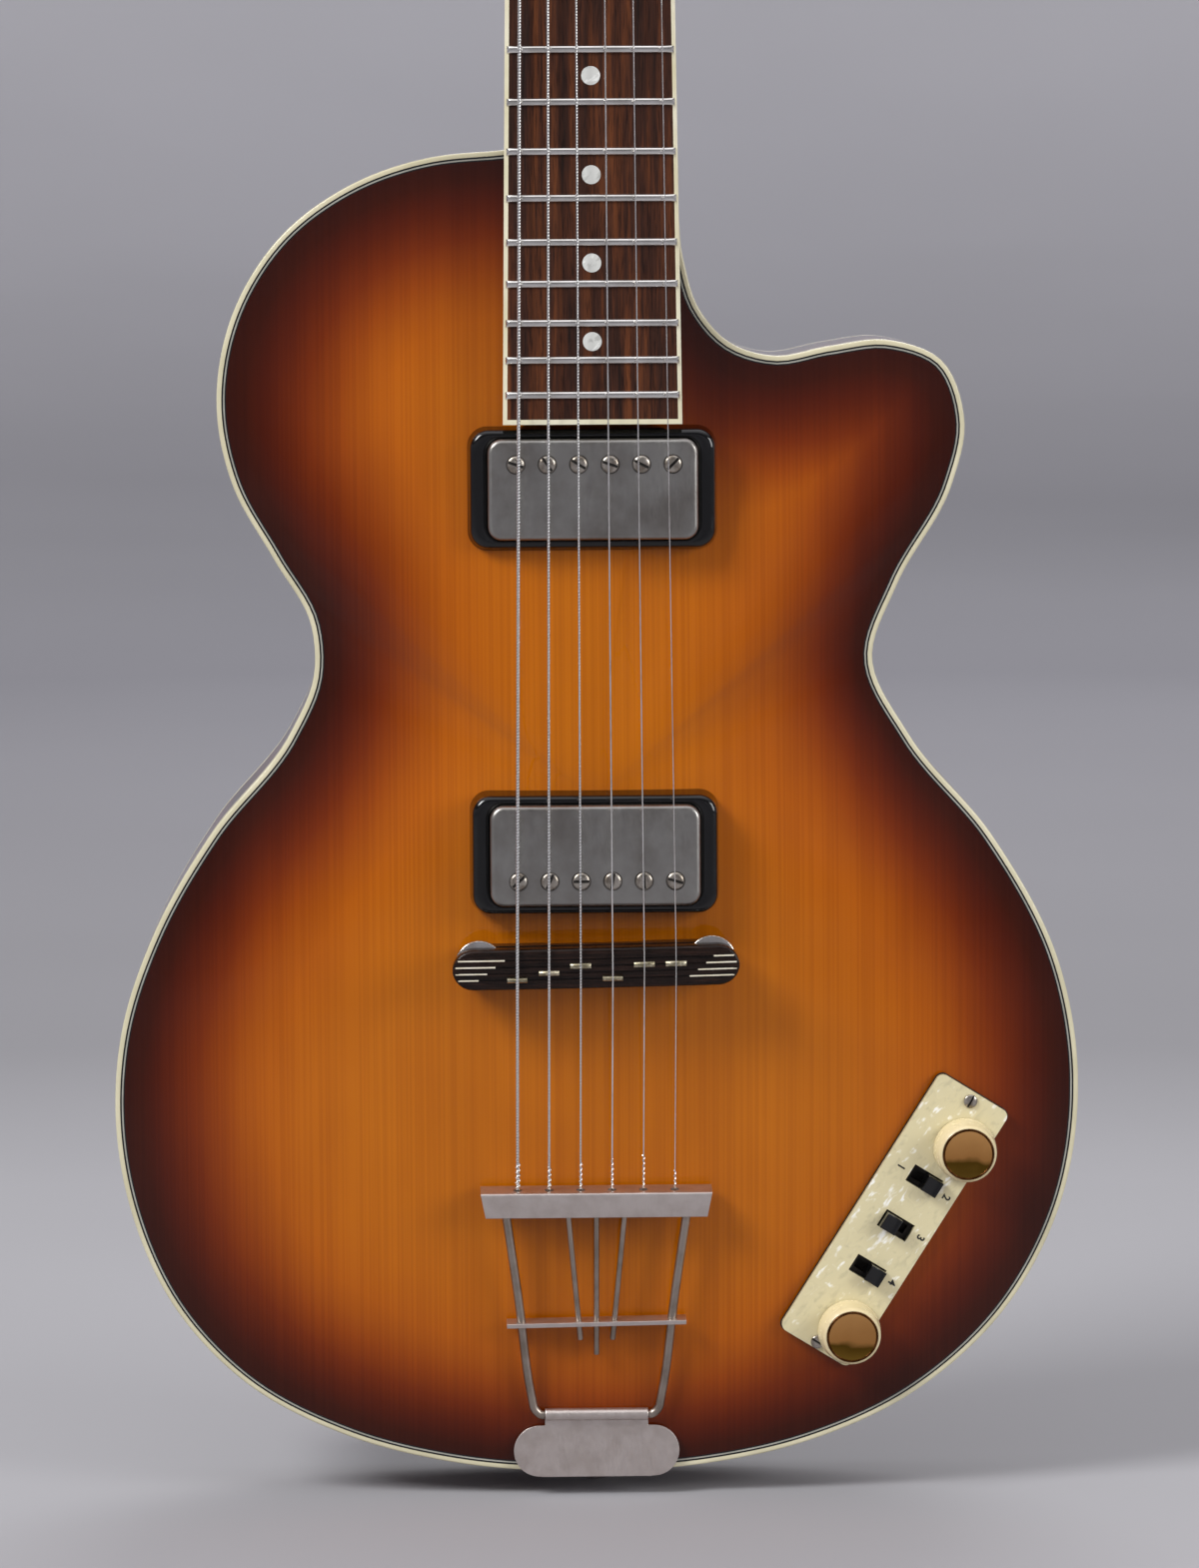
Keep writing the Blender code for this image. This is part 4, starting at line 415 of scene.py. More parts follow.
@dataclass(frozen=True)
class WoundWire(Finish):
    """Flat nickel wire wound round a core; the turns run across the string."""

    pitch: float = 0.9

    def dress(self, paint: Paint) -> None:
        """Turns as waves along the string, drawn coarser than the real 0.4 mm so that they show; their colour is
        painted shade between the turns and a painted highlight along each.

        Args:
            paint: The material in the making.
        """
        lie = paint.add("ShaderNodeMapping", {"Scale": (0.0, 0.0, 1 / (self.pitch * MM)), "Vector": paint.place})
        turns = paint.add("ShaderNodeTexWave", {"bands_direction": "Z", "Scale": 0.314, "Vector": lie}, "Fac")
        # Dark in the hollows, bright on the crowns: painted shade and painted highlight
        colour = paint.tint(turns, ((0.0, "A5A3A0"), (0.5, "F4F4F2")))
        paint.finish({"Base Color": colour, "Metallic": 1.0}, turns, (0.36, 0.2), 0.05, 0.8)


# Front: amber to brown-black, with straight spruce grain under deep gloss
SUNBURST = SunburstLacquer("sunburst_nitro_on_spruce")
# Back: the same lacquer, red-brown, over maple whose soft flames run across
BACK_BURST = SunburstLacquer("red_brown_burst_on_maple", 80.0, (
    (4.0, "260B07"), (12.0, "300F08"), (30.0, "4A1A0D"), (55.0, "662814"), (80.0, "6F2D17")), (70.0, 60.0, 6.0), 0.9)
# Rim: a red-brown stain that lets soft cross bands of the maple show
RED_MAPLE = FiguredLacquer("red_brown_lacquered_maple", "43150B", "6E2A14", (11.0, 60.0, 11.0))
# Neck: the same stain, darker, its figure drawn out along the grain
NECK_MAPLE = FiguredLacquer("red_brown_lacquered_neck", "30100A", "5C2412", (3.0, 3.0, 40.0))
# Inside wood: pale, dry and unfinished
SPRUCE = OpenWood("bare_spruce_blocks", ((0.3, "B08A58"), (0.7, "D2B07C")), (2.0, 2.0, 60.0), (0.6, 0.6, 12.0),
                  (0.65, 0.85))
# Board: dark chocolate streaks with reddish ones between, dull with handling
ROSEWOOD = OpenWood("oiled_rosewood", ((0.3, "1E0D06"), (0.48, "3A1B0C"), (0.68, "633416")), (2.6, 8.0, 60.0),
                    (0.35, 1.0, 7.0), (0.45, 0.65), (radians(3.0), 0.0, 0.0))
# Bridge: near-black wood with fine brown streaks along it, satin
EBONY = OpenWood("polished_ebony", ((0.3, "120C09"), (0.55, "20140F"), (0.75, "35211A")), (40.0, 1.2, 1.0),
                 (6.0, 0.35, 0.35), (0.2, 0.32))
# Binding: warm cream, yellowed a little unevenly
CREAM = Celluloid("cream_celluloid_binding", "C6BF9F", "DBD4B6", 22.0)
# Board's binding: paler
CREAM_BOARD = Celluloid("cream_board_binding", "D3CBA8", "E6E0C8", 22.0)
# Knob skirts: deeper yellow, glossier, as they come from the mould
CREAM_KNOB = Celluloid("cream_moulded_knob", "E0CFA0", "EADBB2", 10.0, (0.2, 0.3))
# Nut and inlaid lines: bone, off-white and soft to the eye
BONE = Celluloid("polished_bone_nut", "D9CFB4", "EFE8D6", 5.0)
# Lines beside the binding: a greyed white between two blacks
WHITE_LINE = Celluloid("white_purfling", "8E8E84", "A6A69C", 8.0)
BLACK_LINE = Celluloid("black_purfling", "08080A", "121214", 8.0)
# Surrounds, switch parts: polished black moulding that shows the room
BLACK_GLOSS = Celluloid("polished_black_plastic", "060607", "0C0C0D", 9.0, (0.06, 0.14), 0.002)
# Layer under the pearl: the same plastic, unpolished, so it stays grey-black
BLACK_SATIN = Celluloid("moulded_black_plastic", "0B0B0C", "151516", 6.0, (0.25, 0.4))
# Headstock's face: brown-black lacquered wood, mirror smooth
VENEER = Celluloid("polished_black_face_veneer", "0A0808", "120E0D", 20.0, (0.08, 0.15), 0.002)
# Control plate: cream with silvery flakes that light up in streaks as the eye moves
PEARL = PearlCelluloid("pearl_celluloid_plate")
# Dots: whiter, with the streaks close together
PEARL_DOT = PearlCelluloid("pearl_dot", "D2D3CE", "F2F3EF", "B4B5B0")
# Buttons: aged yellowish pearl
TUNER_PEARL = PearlCelluloid("pearl_tuner_button", "DCD6BE", "F4F0E0", "BDB391")
# Covers: nickel gone grey and brown in clouds, bright where the edge is rubbed
NICKEL_COVER = WornMetal("tarnished_nickel_cover", "9C9A96", "86827D", 16.0, (0.3, 0.42), 0.46)
# Tailpiece: dull satin nickel, a little rosy
NICKEL_SATIN = WornMetal("satin_nickel_tailpiece", "D2C9C4", "C6BCB6", 5.0, (0.36, 0.5), 0.45)
# Bent wires: the same nickel, a darker grey-brown
NICKEL_WIRE = WornMetal("dulled_nickel_wire", "A99E94", "8F857B", 7.0, (0.3, 0.42), 0.45)
# Tuners, jack and wheels: nickel that is still bright, with a warm haze
NICKEL_BRIGHT = WornMetal("bright_nickel_hardware", "D6D3CE", "B5AEA6", 9.0, (0.14, 0.24), 0.42, 0.0008)
# Pole screws: old nickel, softly shining, grey-brown in small clouds; the dark in their slots is a separate painted
# shade
POLE_NICKEL = WornMetal("aged_nickel_pole_screws", "B5AEA4", "867C70", 2.5, (0.24, 0.36), 0.45)
# Frets: white metal polished by the strings, with sharp lights
STEEL = WornMetal("polished_nickel_silver_frets", "EAE8E4", "CFCCC6", 9.0, (0.14, 0.22), 0.42, 0.001)
# Plain strings: drawn steel, thin bright lines
STRING_STEEL = WornMetal("plain_steel_string", "EFEDEA", "D2CEC8", 9.0, (0.12, 0.2), 0.42, 0.0005)
# Hidden steel, and the painted shade in the gap round each pole screw: grey without shine
DULL_STEEL_AND_SHADE = WornMetal("dull_steel_parts", "77736E", "4E4A46", 4.0, (0.35, 0.5))
# Bridge studs: brass gone brown
BRASS = WornMetal("tarnished_brass", "B79552", "7C5F30", 4.0, (0.25, 0.4))
# Wires in the saddle: yellowish metal, rubbed in small patches
FRET_WIRE = WornMetal("worn_fret_wire_saddles", "CFC7AE", "8F866C", 1.6, (0.25, 0.42))
# Knob caps: mirror gold foil, with a painted dark reflection on their lower part
GOLD = MirrorFoil("gold_mirror_cap")
# Rim of the caps: gold gone to brown lacquer
GOLD_RIM = WornMetal("browned_gold_rim", "6A4222", "46280F", 3.0, (0.2, 0.35))
# Coils: red-brown enamel over copper wire
COPPER = WornMetal("enamelled_copper_coil", "8A4A2C", "5E2E1A", 2.0, (0.3, 0.45))
# Leads: waxed dark cloth, quite matt
LEAD = Celluloid("dark_cloth_covered_leads", "17130F", "2A231C", 1.2, (0.6, 0.8), 0.05)
# Numbers: flat black ink
INK = Celluloid("black_printed_letters", "141414", "202020", 3.0, (0.4, 0.6), 0.001)
# Slots of the screws: painted shade, a dull dark fill that stands in for the shadow down in each slot
SLOT_SHADE_PAINT = Celluloid("grime_in_screw_slots", "0E0C0A", "1E1A16", 2.0, (0.7, 0.9), 0.01)
# Wound strings: nickel wire in turns, with painted shade between them and a painted highlight on each
WOUND = WoundWire("nickel_wound_string")


def spline(points: Sequence[Sequence[float]], fine: int, closed: bool = True) -> list[Vector]:
    """A smooth curve through points.

    Args:
        points: Points with two or three coordinates.
        fine: Steps between each two.
        closed: Whether the last joins the first.

    Returns:
        The curve's points; an open one ends with its last point.
    """
    ring = [Vector(point) for point in points]
    count = len(ring)
    spans = [max((ring[(i + 1) % count] - ring[i]).length, 0.001) for i in range(count)]
    pulls = []
    for i in range(count):
        behind = (ring[i] - ring[i - 1]) / spans[i - 1]
        ahead = (ring[(i + 1) % count] - ring[i]) / spans[i]
        if not closed and i == 0:
            behind = ahead
        if not closed and i == count - 1:
            ahead = behind
        total = spans[i - 1] + spans[i]
        pulls.append((behind * spans[i] + ahead * spans[i - 1]) / total)
    curve = []
    for i in range(count if closed else count - 1):
        start, end, span = ring[i], ring[(i + 1) % count], spans[i]
        for step in range(fine):
            t = step / fine
            curve.append(
                start * (2 * t ** 3 - 3 * t ** 2 + 1) + pulls[i] * span * (t ** 3 - 2 * t ** 2 + t)
                + end * (3 * t ** 2 - 2 * t ** 3) + pulls[(i + 1) % count] * span * (t ** 3 - t ** 2)
            )
    return curve if closed else curve + [ring[-1]]


def even(curve: Sequence[Vector], count: int) -> list[Vector]:
    """Points at even distances along a closed curve.

    Args:
        curve: The curve's points.
        count: How many are wanted.

    Returns:
        The new points; the last isn't the first again.
    """
    corners = np.array([tuple(point) for point in curve] + [tuple(curve[0])])
    lengths = np.concatenate([[0.0], np.cumsum(np.linalg.norm(np.diff(corners, axis=0), axis=1))])
    spots = np.linspace(0.0, lengths[-1], count, endpoint=False)
    columns = [np.interp(spots, lengths, corners[:, axis]) for axis in range(corners.shape[1])]
    return [Vector(row) for row in zip(*columns)]


def loft(rings: Sequence[Sequence[Sequence[float]]], wrap: bool = False) -> Shape:
    """A skin over rings of points.

    Args:
        rings: Rings of equal counts; a first or last of one point closes to it.
        wrap: Whether the last ring joins the first, without end faces.

    Returns:
        A closed mesh with its faces outward.
    """
    geometry = bmesh.new()
    rows = [[geometry.verts.new(point) for point in ring] for ring in rings]
    count = max(len(row) for row in rows)
    follow = rows[1:] + (rows[:1] if wrap else [])
    for first, second in zip(rows, follow):
        for i in range(count):
            j = (i + 1) % count
            if len(first) == 1:
                geometry.faces.new((first[0], second[j], second[i]))
            elif len(second) == 1:
                geometry.faces.new((first[i], first[j], second[0]))
            else:
                geometry.faces.new((first[i], first[j], second[j], second[i]))
    if not wrap:
        for row in (rows[0], rows[-1]):
            if len(row) > 1:
                geometry.faces.new(row)
    bmesh.ops.recalc_face_normals(geometry, faces=geometry.faces)
    return geometry


def arc(end: float, steps: int, start: float = 0.0) -> list[Pair]:
    """Cosine and sine at even steps from one angle to another."""
    angles = [start + (end - start) * step / steps for step in range(steps + 1)]
    return [(cos(angle), sin(angle)) for angle in angles]


def turned(profile: Sequence[Pair], steps: int = 48, ring: bool = False) -> Shape:
    """A shape turned about its own Z.

    Args:
        profile: Radius and height of each point.
        steps: Points round the turn.
        ring: Whether the profile closes on itself, leaving a bore.

    Returns:
        The closed mesh.
    """
    circle = arc(2 * pi, steps)[:-1]
    return loft([[(radius * x, radius * y, height) for x, y in (circle if radius > 0.0 else circle[:1])]
                 for radius, height in profile], ring)


def peg(radius: float, low: float, high: float, steps: int = 32) -> Shape:
    """A plain round peg about its own Z, also used to drill a hole."""
    return turned([(0.0, low), (radius, low), (radius, high), (0.0, high)], steps)


def rounded(profile: Sequence[Pair], soft: Sequence[float], steps: int = 4) -> list[Pair]:
    """A profile with its corners rounded.

    Args:
        profile: Corner points in order.
        soft: How far back from each corner the rounding starts.
        steps: Points along each rounding.

    Returns:
        The softened profile.
    """
    result: list[Pair] = []
    for i, (corner, reach) in enumerate(zip(profile, soft)):
        here = Vector(corner)
        before = (Vector(profile[i - 1]) - here).normalized() * reach
        after = (Vector(profile[(i + 1) % len(profile)]) - here).normalized() * reach
        for step in range(steps + 1 if reach else 1):
            t = step / steps
            result.append(tuple(here + before * (1 - t) ** 2 + after * t ** 2))
    return result


def swept(points: Sequence[Sequence[float]], radius: float | Sequence[float], sides: int = 12) -> Shape:
    """A round wire along a path.

    Args:
        points: The path.
        radius: Its radius, or one at each point.
        sides: Points round the wire.

    Returns:
        The closed mesh.
    """
    path = [Vector(point) for point in points]
    radii = [radius] * len(path) if isinstance(radius, float) else radius
    side = Vector((0.31, 0.57, 0.76))
    rings = []
    for i, here in enumerate(path):
        along = (path[min(i + 1, len(path) - 1)] - path[max(i - 1, 0)]).normalized()
        side = (side - along * side.dot(along)).normalized()
        other = along.cross(side)
        rings.append([here + (side * x + other * y) * radii[i] for x, y in arc(2 * pi, sides)[:-1]])
    return loft(rings)


def rectangle(width: float, height: float, corner: float, steps: int = 8, parts: int = 1) -> list[Pair]:
    """Points round a rectangle with round corners.

    Args:
        width: Full width.
        height: Full height.
        corner: Corner radius.
        steps: Steps round each corner.
        parts: Pieces of each straight side.

    Returns:
        The points, counter-clockwise.
    """
    corners = []
    for turn, (side_x, side_y) in enumerate(((1, 1), (-1, 1), (-1, -1), (1, -1))):
        middle = Vector((side_x * (width / 2 - corner), side_y * (height / 2 - corner)))
        bend = arc((turn + 1) * pi / 2, steps, turn * pi / 2)
        corners.append([middle + corner * Vector(point) for point in bend])
    result = []
    for here, after in zip(corners, corners[1:] + corners[:1]):
        result += here + [here[-1].lerp(after[0], step / parts) for step in range(1, parts)]
    return [(point.x, point.y) for point in result]


def slab(outline: Sequence[Pair], low: float, high: float) -> Shape:
    """A flat piece of an outline, from one height to another."""
    return loft([[(x, y, height) for x, y in outline] for height in (low, high)])


def box(size: Triple, centre: Triple = (0.0, 0.0, 0.0)) -> Shape:
    """A block about a centre."""
    x, y, z = (side / 2 for side in size)
    return moved(slab([(x, y), (-x, y), (-x, -y), (x, -y)], -z, z), shift(*centre))


def moved(geometry: Shape, spot: Matrix) -> Shape:
    """A shape after a move."""
    geometry.transform(spot)
    return geometry


def joined(parts: Sequence[Shape]) -> Shape:
    """Several shapes as one; they are used up.

    Args:
        parts: The shapes.

    Returns:
        All in one shape.
    """
    result = bmesh.new()
    for part in parts:
        carrier = bpy.data.meshes.new("carrier")
        part.to_mesh(carrier)
        part.free()
        result.from_mesh(carrier)
        bpy.data.meshes.remove(carrier)
    return result


def shown(name: str, data: bpy.types.ID) -> Thing:
    """A new object of some data, linked to the scene.

    Args:
        name: Its name.
        data: Its mesh or text.

    Returns:
        The object.
    """
    thing = bpy.data.objects.new(name, data)
    bpy.context.scene.collection.objects.link(thing)
    return thing


def plain(geometry: Shape, spot: Matrix, name: str) -> Thing:
    """A linked object of a shape that is used up, in metres in the shared frame.

    Args:
        geometry: The shape in millimetres.
        spot: Its own frame.
        name: The object's name.

    Returns:
        The object.
    """
    mesh = bpy.data.meshes.new(name)
    moved(geometry, WORLD @ spot).to_mesh(mesh)
    geometry.free()
    return shown(name, mesh)


def settled(thing: Thing) -> Mesh:
    """An object's mesh with its modifiers applied; the object is removed.

    Args:
        thing: The object.

    Returns:
        A plain mesh.
    """
    mesh = bpy.data.meshes.new_from_object(thing.evaluated_get(bpy.context.evaluated_depsgraph_get()))
    base = thing.data
    bpy.data.objects.remove(thing)
    bpy.data.batch_remove([base])
    return mesh


def taken_up(mesh: Mesh, spot: Matrix) -> Shape:
    """A finished mesh as a shape again, after a move; the mesh is removed.

    Args:
        mesh: The mesh.
        spot: The move.

    Returns:
        The shape.
    """
    geometry = bmesh.new()
    geometry.from_mesh(mesh)
    bpy.data.meshes.remove(mesh)
    return moved(geometry, spot)


def cut(geometry: Shape, cutters: Sequence[Shape]) -> Shape:
    """Take shapes out of a shape.

    Args:
        geometry: The shape that is cut; it is used up.
        cutters: What is taken out; used up too.

    Returns:
        What is left.
    """
    body = plain(geometry, HERE, "being_cut")
    tools = [plain(cutter, HERE, "tool") for cutter in cutters]
    for tool in tools:
        adjusted(body.modifiers.new("cut", "BOOLEAN"), operation="DIFFERENCE", solver="EXACT", object=tool)
    mesh = settled(body)
    for tool in tools:
        bpy.data.objects.remove(tool)
    return taken_up(mesh, WORLD.inverted())


def place_piece(name: str, geometry: Shape, finish: Finish, spot: Matrix = HERE, body: str = MAIN,
                nodes: Sequence[str] = (), soft: float = 0.0, angle: float = 35.0,
                mark: Callable[[Mesh], None] | None = None) -> None:
    """Finish a shape and give it to the body that it moves with.

    Args:
        name: The piece's name.
        geometry: Its shape in millimetres, used up.
        finish: What it is made of.
        spot: Its own frame.
        body: The body that it rides on.
        nodes: Solids that it stands for.
        soft: Width of the rounding of its sharp edges.
        angle: Edges sharper than this stay crisp.
        mark: Writes an attribute on the finished mesh.
    """
    thing = plain(geometry, spot, name)
    if soft > 0.0:
        adjusted(thing.modifiers.new("soft_edges", "BEVEL"), width=soft * MM, segments=3, limit_method="ANGLE",
                 angle_limit=radians(30.0), use_clamp_overlap=True)
    mesh = adjusted(settled(thing), name=name)
    mesh.materials.clear()
    mesh.materials.append(finish.material())
    mesh.polygons.foreach_set("material_index", [0] * len(mesh.polygons))
    mesh.shade_smooth()
    mesh.set_sharp_from_angle(angle=radians(angle))
    if mark:
        mark(mesh)
    piece = shown(name, mesh)
    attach(piece, body)
    if nodes:
        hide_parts(*nodes)
    if soft > 0.0:
        adjusted(piece.modifiers.new("flat_faces_stay_flat", "WEIGHTED_NORMAL"), keep_sharp=True)
    LOG.info("%s: %d faces, moves with %s", name, len(mesh.polygons), body)


def carried(node: str) -> Shape:
    """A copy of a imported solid's mesh, merged, in millimetres.

    Args:
        node: The solid's name.

    Returns:
        The shape, free to change.
    """
    geometry = bmesh.new()
    geometry.from_mesh(frame["nodes"][node].data)
    bmesh.ops.remove_doubles(geometry, verts=geometry.verts, dist=0.000002)
    bmesh.ops.dissolve_limit(geometry, angle_limit=radians(0.5), verts=geometry.verts, edges=geometry.edges)
    return moved(geometry, WORLD.inverted())


def edges_of(node: str) -> tuple[Vector, Vector]:
    """A solid's lowest and highest corner in millimetres."""
    low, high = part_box(node)
    return WORLD.inverted() @ low, WORLD.inverted() @ high


def joint(name: str) -> tuple[Vector, Vector]:
    """A hinge's place in millimetres, and any joint's axis."""
    told = next(told for told in frame["joints"] if told["name"] == name)
    return WORLD.inverted() @ Vector(told.get("pos_m", (0.0, 0.0, 0.0))), Vector(told["axis"]).normalized()


def shift(x: float = 0.0, y: float = 0.0, z: float = 0.0) -> Matrix:
    """A move in the frame."""
    return Matrix.Translation((x, y, z))


def turn_about(axis: str, angle: float) -> Matrix:
    """A turn about an axis by degrees."""
    return Matrix.Rotation(radians(angle), 4, axis)


def turn_x(angle: float, x: float = 0.0, y: float = 0.0, z: float = 0.0) -> Matrix:
    """A frame at a point, turned about X by degrees."""
    return shift(x, y, z) @ turn_about("X", angle)


def note(mesh: Mesh, name: str, measure: Callable[[np.ndarray], np.ndarray]) -> None:
    """Write a value on each point of a mesh.

    Args:
        mesh: The finished mesh.
        name: The attribute that the material reads.
        measure: Works the values out from the points' places in millimetres.
    """
    places = np.empty(len(mesh.vertices) * 3)
    mesh.vertices.foreach_get("co", places)
    places = places.reshape(-1, 3) / MM - (0.0, 0.0, STAND)
    mesh.attributes.new(name, "FLOAT", "POINT").data.foreach_set("value", measure(places))


class Grower(Weave):
    """A Geometry Nodes tree with named inputs, run once to make a plain mesh."""

    def __init__(self, name: str, **inputs: str) -> None:
        """Start the tree.

        Args:
            name: The tree's name.
            inputs: Each further input's kind of socket by its name.
        """
        super().__init__(adjusted(bpy.data.node_groups.new(name, "GeometryNodeTree"), is_modifier=True))
        for label, kind in {"Geometry": "Geometry", "Finish": "Material", **inputs}.items():
            self.tree.interface.new_socket(label, in_out="INPUT", socket_type=f"NodeSocket{kind}")
        self.tree.interface.new_socket("Geometry", in_out="OUTPUT", socket_type="NodeSocketGeometry")
        self.given = self.add("NodeGroupInput").node.outputs

    def reckoned(self, first: Any, *steps: tuple[str, Any]) -> Socket:
        """What comes out when a value goes through sums, each an operation and its other term.

        Args:
            first: The value, a number or a socket.
            steps: Each sum in order.

        Returns:
            The last sum's result.
        """
        for operation, term in steps:
            first = self.add("ShaderNodeMath", {"operation": operation, 0: first, 1: term})
        return first

    def copies(self, points: Socket, **values: Socket) -> Socket:
        """The given shape on each point; the values turn or stretch it."""
        shape = self.add("GeometryNodeObjectInfo", {"Object": self.given["Shape"]}, "Geometry")
        return self.add("GeometryNodeInstanceOnPoints", {"Points": points, "Instance": shape, **values})

    def close(self, instances: Socket, lift: Socket | None = None) -> "Grower":
        """End the tree.

        Args:
            instances: What it has made.
            lift: How far each point is moved at last.

        Returns:
            The same tree, ready to grow.
        """
        shape = self.add("GeometryNodeRealizeInstances", {"Geometry": instances})
        if lift:
            shape = self.add("GeometryNodeSetPosition", {"Geometry": shape, "Offset": lift})
        dressed = self.add("GeometryNodeSetMaterial", {"Geometry": shape, "Material": self.given["Finish"]})
        self.add("NodeGroupOutput", {0: dressed})
        return self

    def grow(self, places: Sequence[Triple], values: dict, shape: Shape | None = None) -> Shape:
        """Run the tree.

        Args:
            places: The points that it starts from, in millimetres.
            values: Its inputs by name.
            shape: What is repeated, used up.

        Returns:
            The plain result in millimetres.
        """
        base = bmesh.new()
        for place in places:
            base.verts.new(place)
        holder = plain(base, WORLD.inverted(), "holder")
        modifier = adjusted(holder.modifiers.new("grow", "NODES"), node_group=self.tree)
        if shape:
            values = {**values, "Shape": plain(shape, WORLD.inverted(), "pattern")}
        for item in self.tree.interface.items_tree:
            if item.in_out == "INPUT" and item.name in values:
                modifier[item.identifier] = values[item.name]
        grown = taken_up(settled(holder), HERE)
        if shape:
            bpy.data.objects.remove(values["Shape"])
        return grown


def fret_row_tree() -> Grower:
    """Frets at their places by the rule of the twelfth root, each as wide as the board there.

    Returns:
        The tree, ready to grow.
    """
    grower = Grower("fret_row", Shape="Object", Count="Int", Scale="Float", Nut_Width="Float", Flare="Float",
                    Radius="Float")
    given, reckoned = grower.given, grower.reckoned
    line = grower.add("GeometryNodeMeshLine", {"Offset": (0.0, 0.0, 0.0), "Count": given["Count"]})
    share = reckoned(2.0, ("POWER", reckoned(grower.add("GeometryNodeInputIndex"), ("DIVIDE", -12.0))))
    place = reckoned(share, ("MULTIPLY", given["Scale"]))
    spot = grower.add("ShaderNodeCombineXYZ", {"Y": place})
    points = grower.add("GeometryNodeSetPosition", {"Geometry": line, "Position": spot})
    width = reckoned(given["Scale"], ("SUBTRACT", place), ("MULTIPLY", given["Flare"]), ("ADD", given["Nut_Width"]))
    copies = grower.copies(points, Scale=grower.add("ShaderNodeCombineXYZ", {"X": width, "Y": 1.0, "Z": 1.0}))
    across = grower.add("ShaderNodeSeparateXYZ", {0: grower.add("GeometryNodeInputPosition")}, "X")
    bend = reckoned(given["Radius"], ("MULTIPLY", -2.0))
    drop = reckoned(across, ("MULTIPLY", across), ("DIVIDE", bend))
    return grower.close(copies, grower.add("ShaderNodeCombineXYZ", {"Z": drop}))


def scatter_tree() -> Grower:
    """A shape set on each given point, turned about its own axis at random.

    Returns:
        The tree, ready to grow.
    """
    grower = Grower("set_on_points", Shape="Object", Turn="Float", Seed="Int")
    chance = {"data_type": "FLOAT", 3: grower.given["Turn"], "Seed": grower.given["Seed"]}
    turn = grower.add("ShaderNodeCombineXYZ", {"Z": grower.add("FunctionNodeRandomValue", chance, 1)})
    return grower.close(grower.copies(grower.given["Geometry"], Rotation=turn))


def twist_tree() -> Grower:
    """A wire wound in a helix round an upright line, for the twisted end of a string.

    Returns:
        The tree, ready to grow.
    """
    grower = Grower("twisted_wire", Length="Float", Radius="Float", Turns="Float", Wire="Float")
    given, reckoned = grower.given, grower.reckoned
    fine = {"Count": 96, "Curve": grower.add("GeometryNodeCurvePrimitiveLine")}
    share = grower.add("GeometryNodeSplineParameter", out="Factor")
    angle = reckoned(share, ("MULTIPLY", given["Turns"]), ("MULTIPLY", 2 * pi))
    across, out = (reckoned(angle, (way, 0.0), ("MULTIPLY", given["Radius"])) for way in ("COSINE", "SINE"))
    rise = reckoned(share, ("MULTIPLY", given["Length"]))
    spot = grower.add("ShaderNodeCombineXYZ", {"X": across, "Y": out, "Z": rise})
    wound = {"Geometry": grower.add("GeometryNodeResampleCurve", fine), "Position": spot}
    ring = grower.add("GeometryNodeCurvePrimitiveCircle", {"Resolution": 8, "Radius": given["Wire"]})
    wire = {"Fill Caps": True, "Curve": grower.add("GeometryNodeSetPosition", wound), "Profile Curve": ring}
    return grower.close(grower.add("GeometryNodeCurveToMesh", wire))


FRETS, SCATTER, TWIST = fret_row_tree(), scatter_tree(), twist_tree()


def scattered(name: str, shape: Shape, places: Sequence[Triple], finish: Finish, spot: Matrix, turn: float = 0.0,
              seed: int = 1, **more: Any) -> None:
    """Place one piece made of the same shape at several places.

    Args:
        name: The piece's name.
        shape: What is repeated, used up.
        places: Where each stands, in the piece's frame.
        finish: What it is made of.
        spot: The piece's frame.
        turn: The most that one is turned, in radians.
        seed: Which random turns.
        more: Further arguments of place_piece.
    """
    values = {"Finish": finish.material(), "Turn": turn, "Seed": seed}
    place_piece(name, SCATTER.grow(places, values, shape), finish, spot, **more)


def slotted_screw(head: float, height: float, slot: float) -> Shape:
    """A domed screw head with its slot.

    Args:
        head: Diameter.
        height: How far the dome stands up.
        slot: Width of the slot.

    Returns:
        The head, standing on its own XY plane.
    """
    radius, foot = head / 2, -0.4
    side = [(radius * x, height * (0.3 + 0.7 * y)) for x, y in arc(pi / 2, 6)[:-1]]
    dome = turned([(0.0, foot), (radius, foot), *side, (0.0, height)], 28)
    return cut(dome, [box((head * 1.2, slot, height), (0.0, 0.0, height * 0.85))])


class Side(Enum):
    """Which side of the middle line."""

    BASS = -1.0
    TREBLE = 1.0


class Throw(Enum):
    """Where a switch's slider rests in its window."""

    LEFT = -1.0
    RIGHT = 1.0


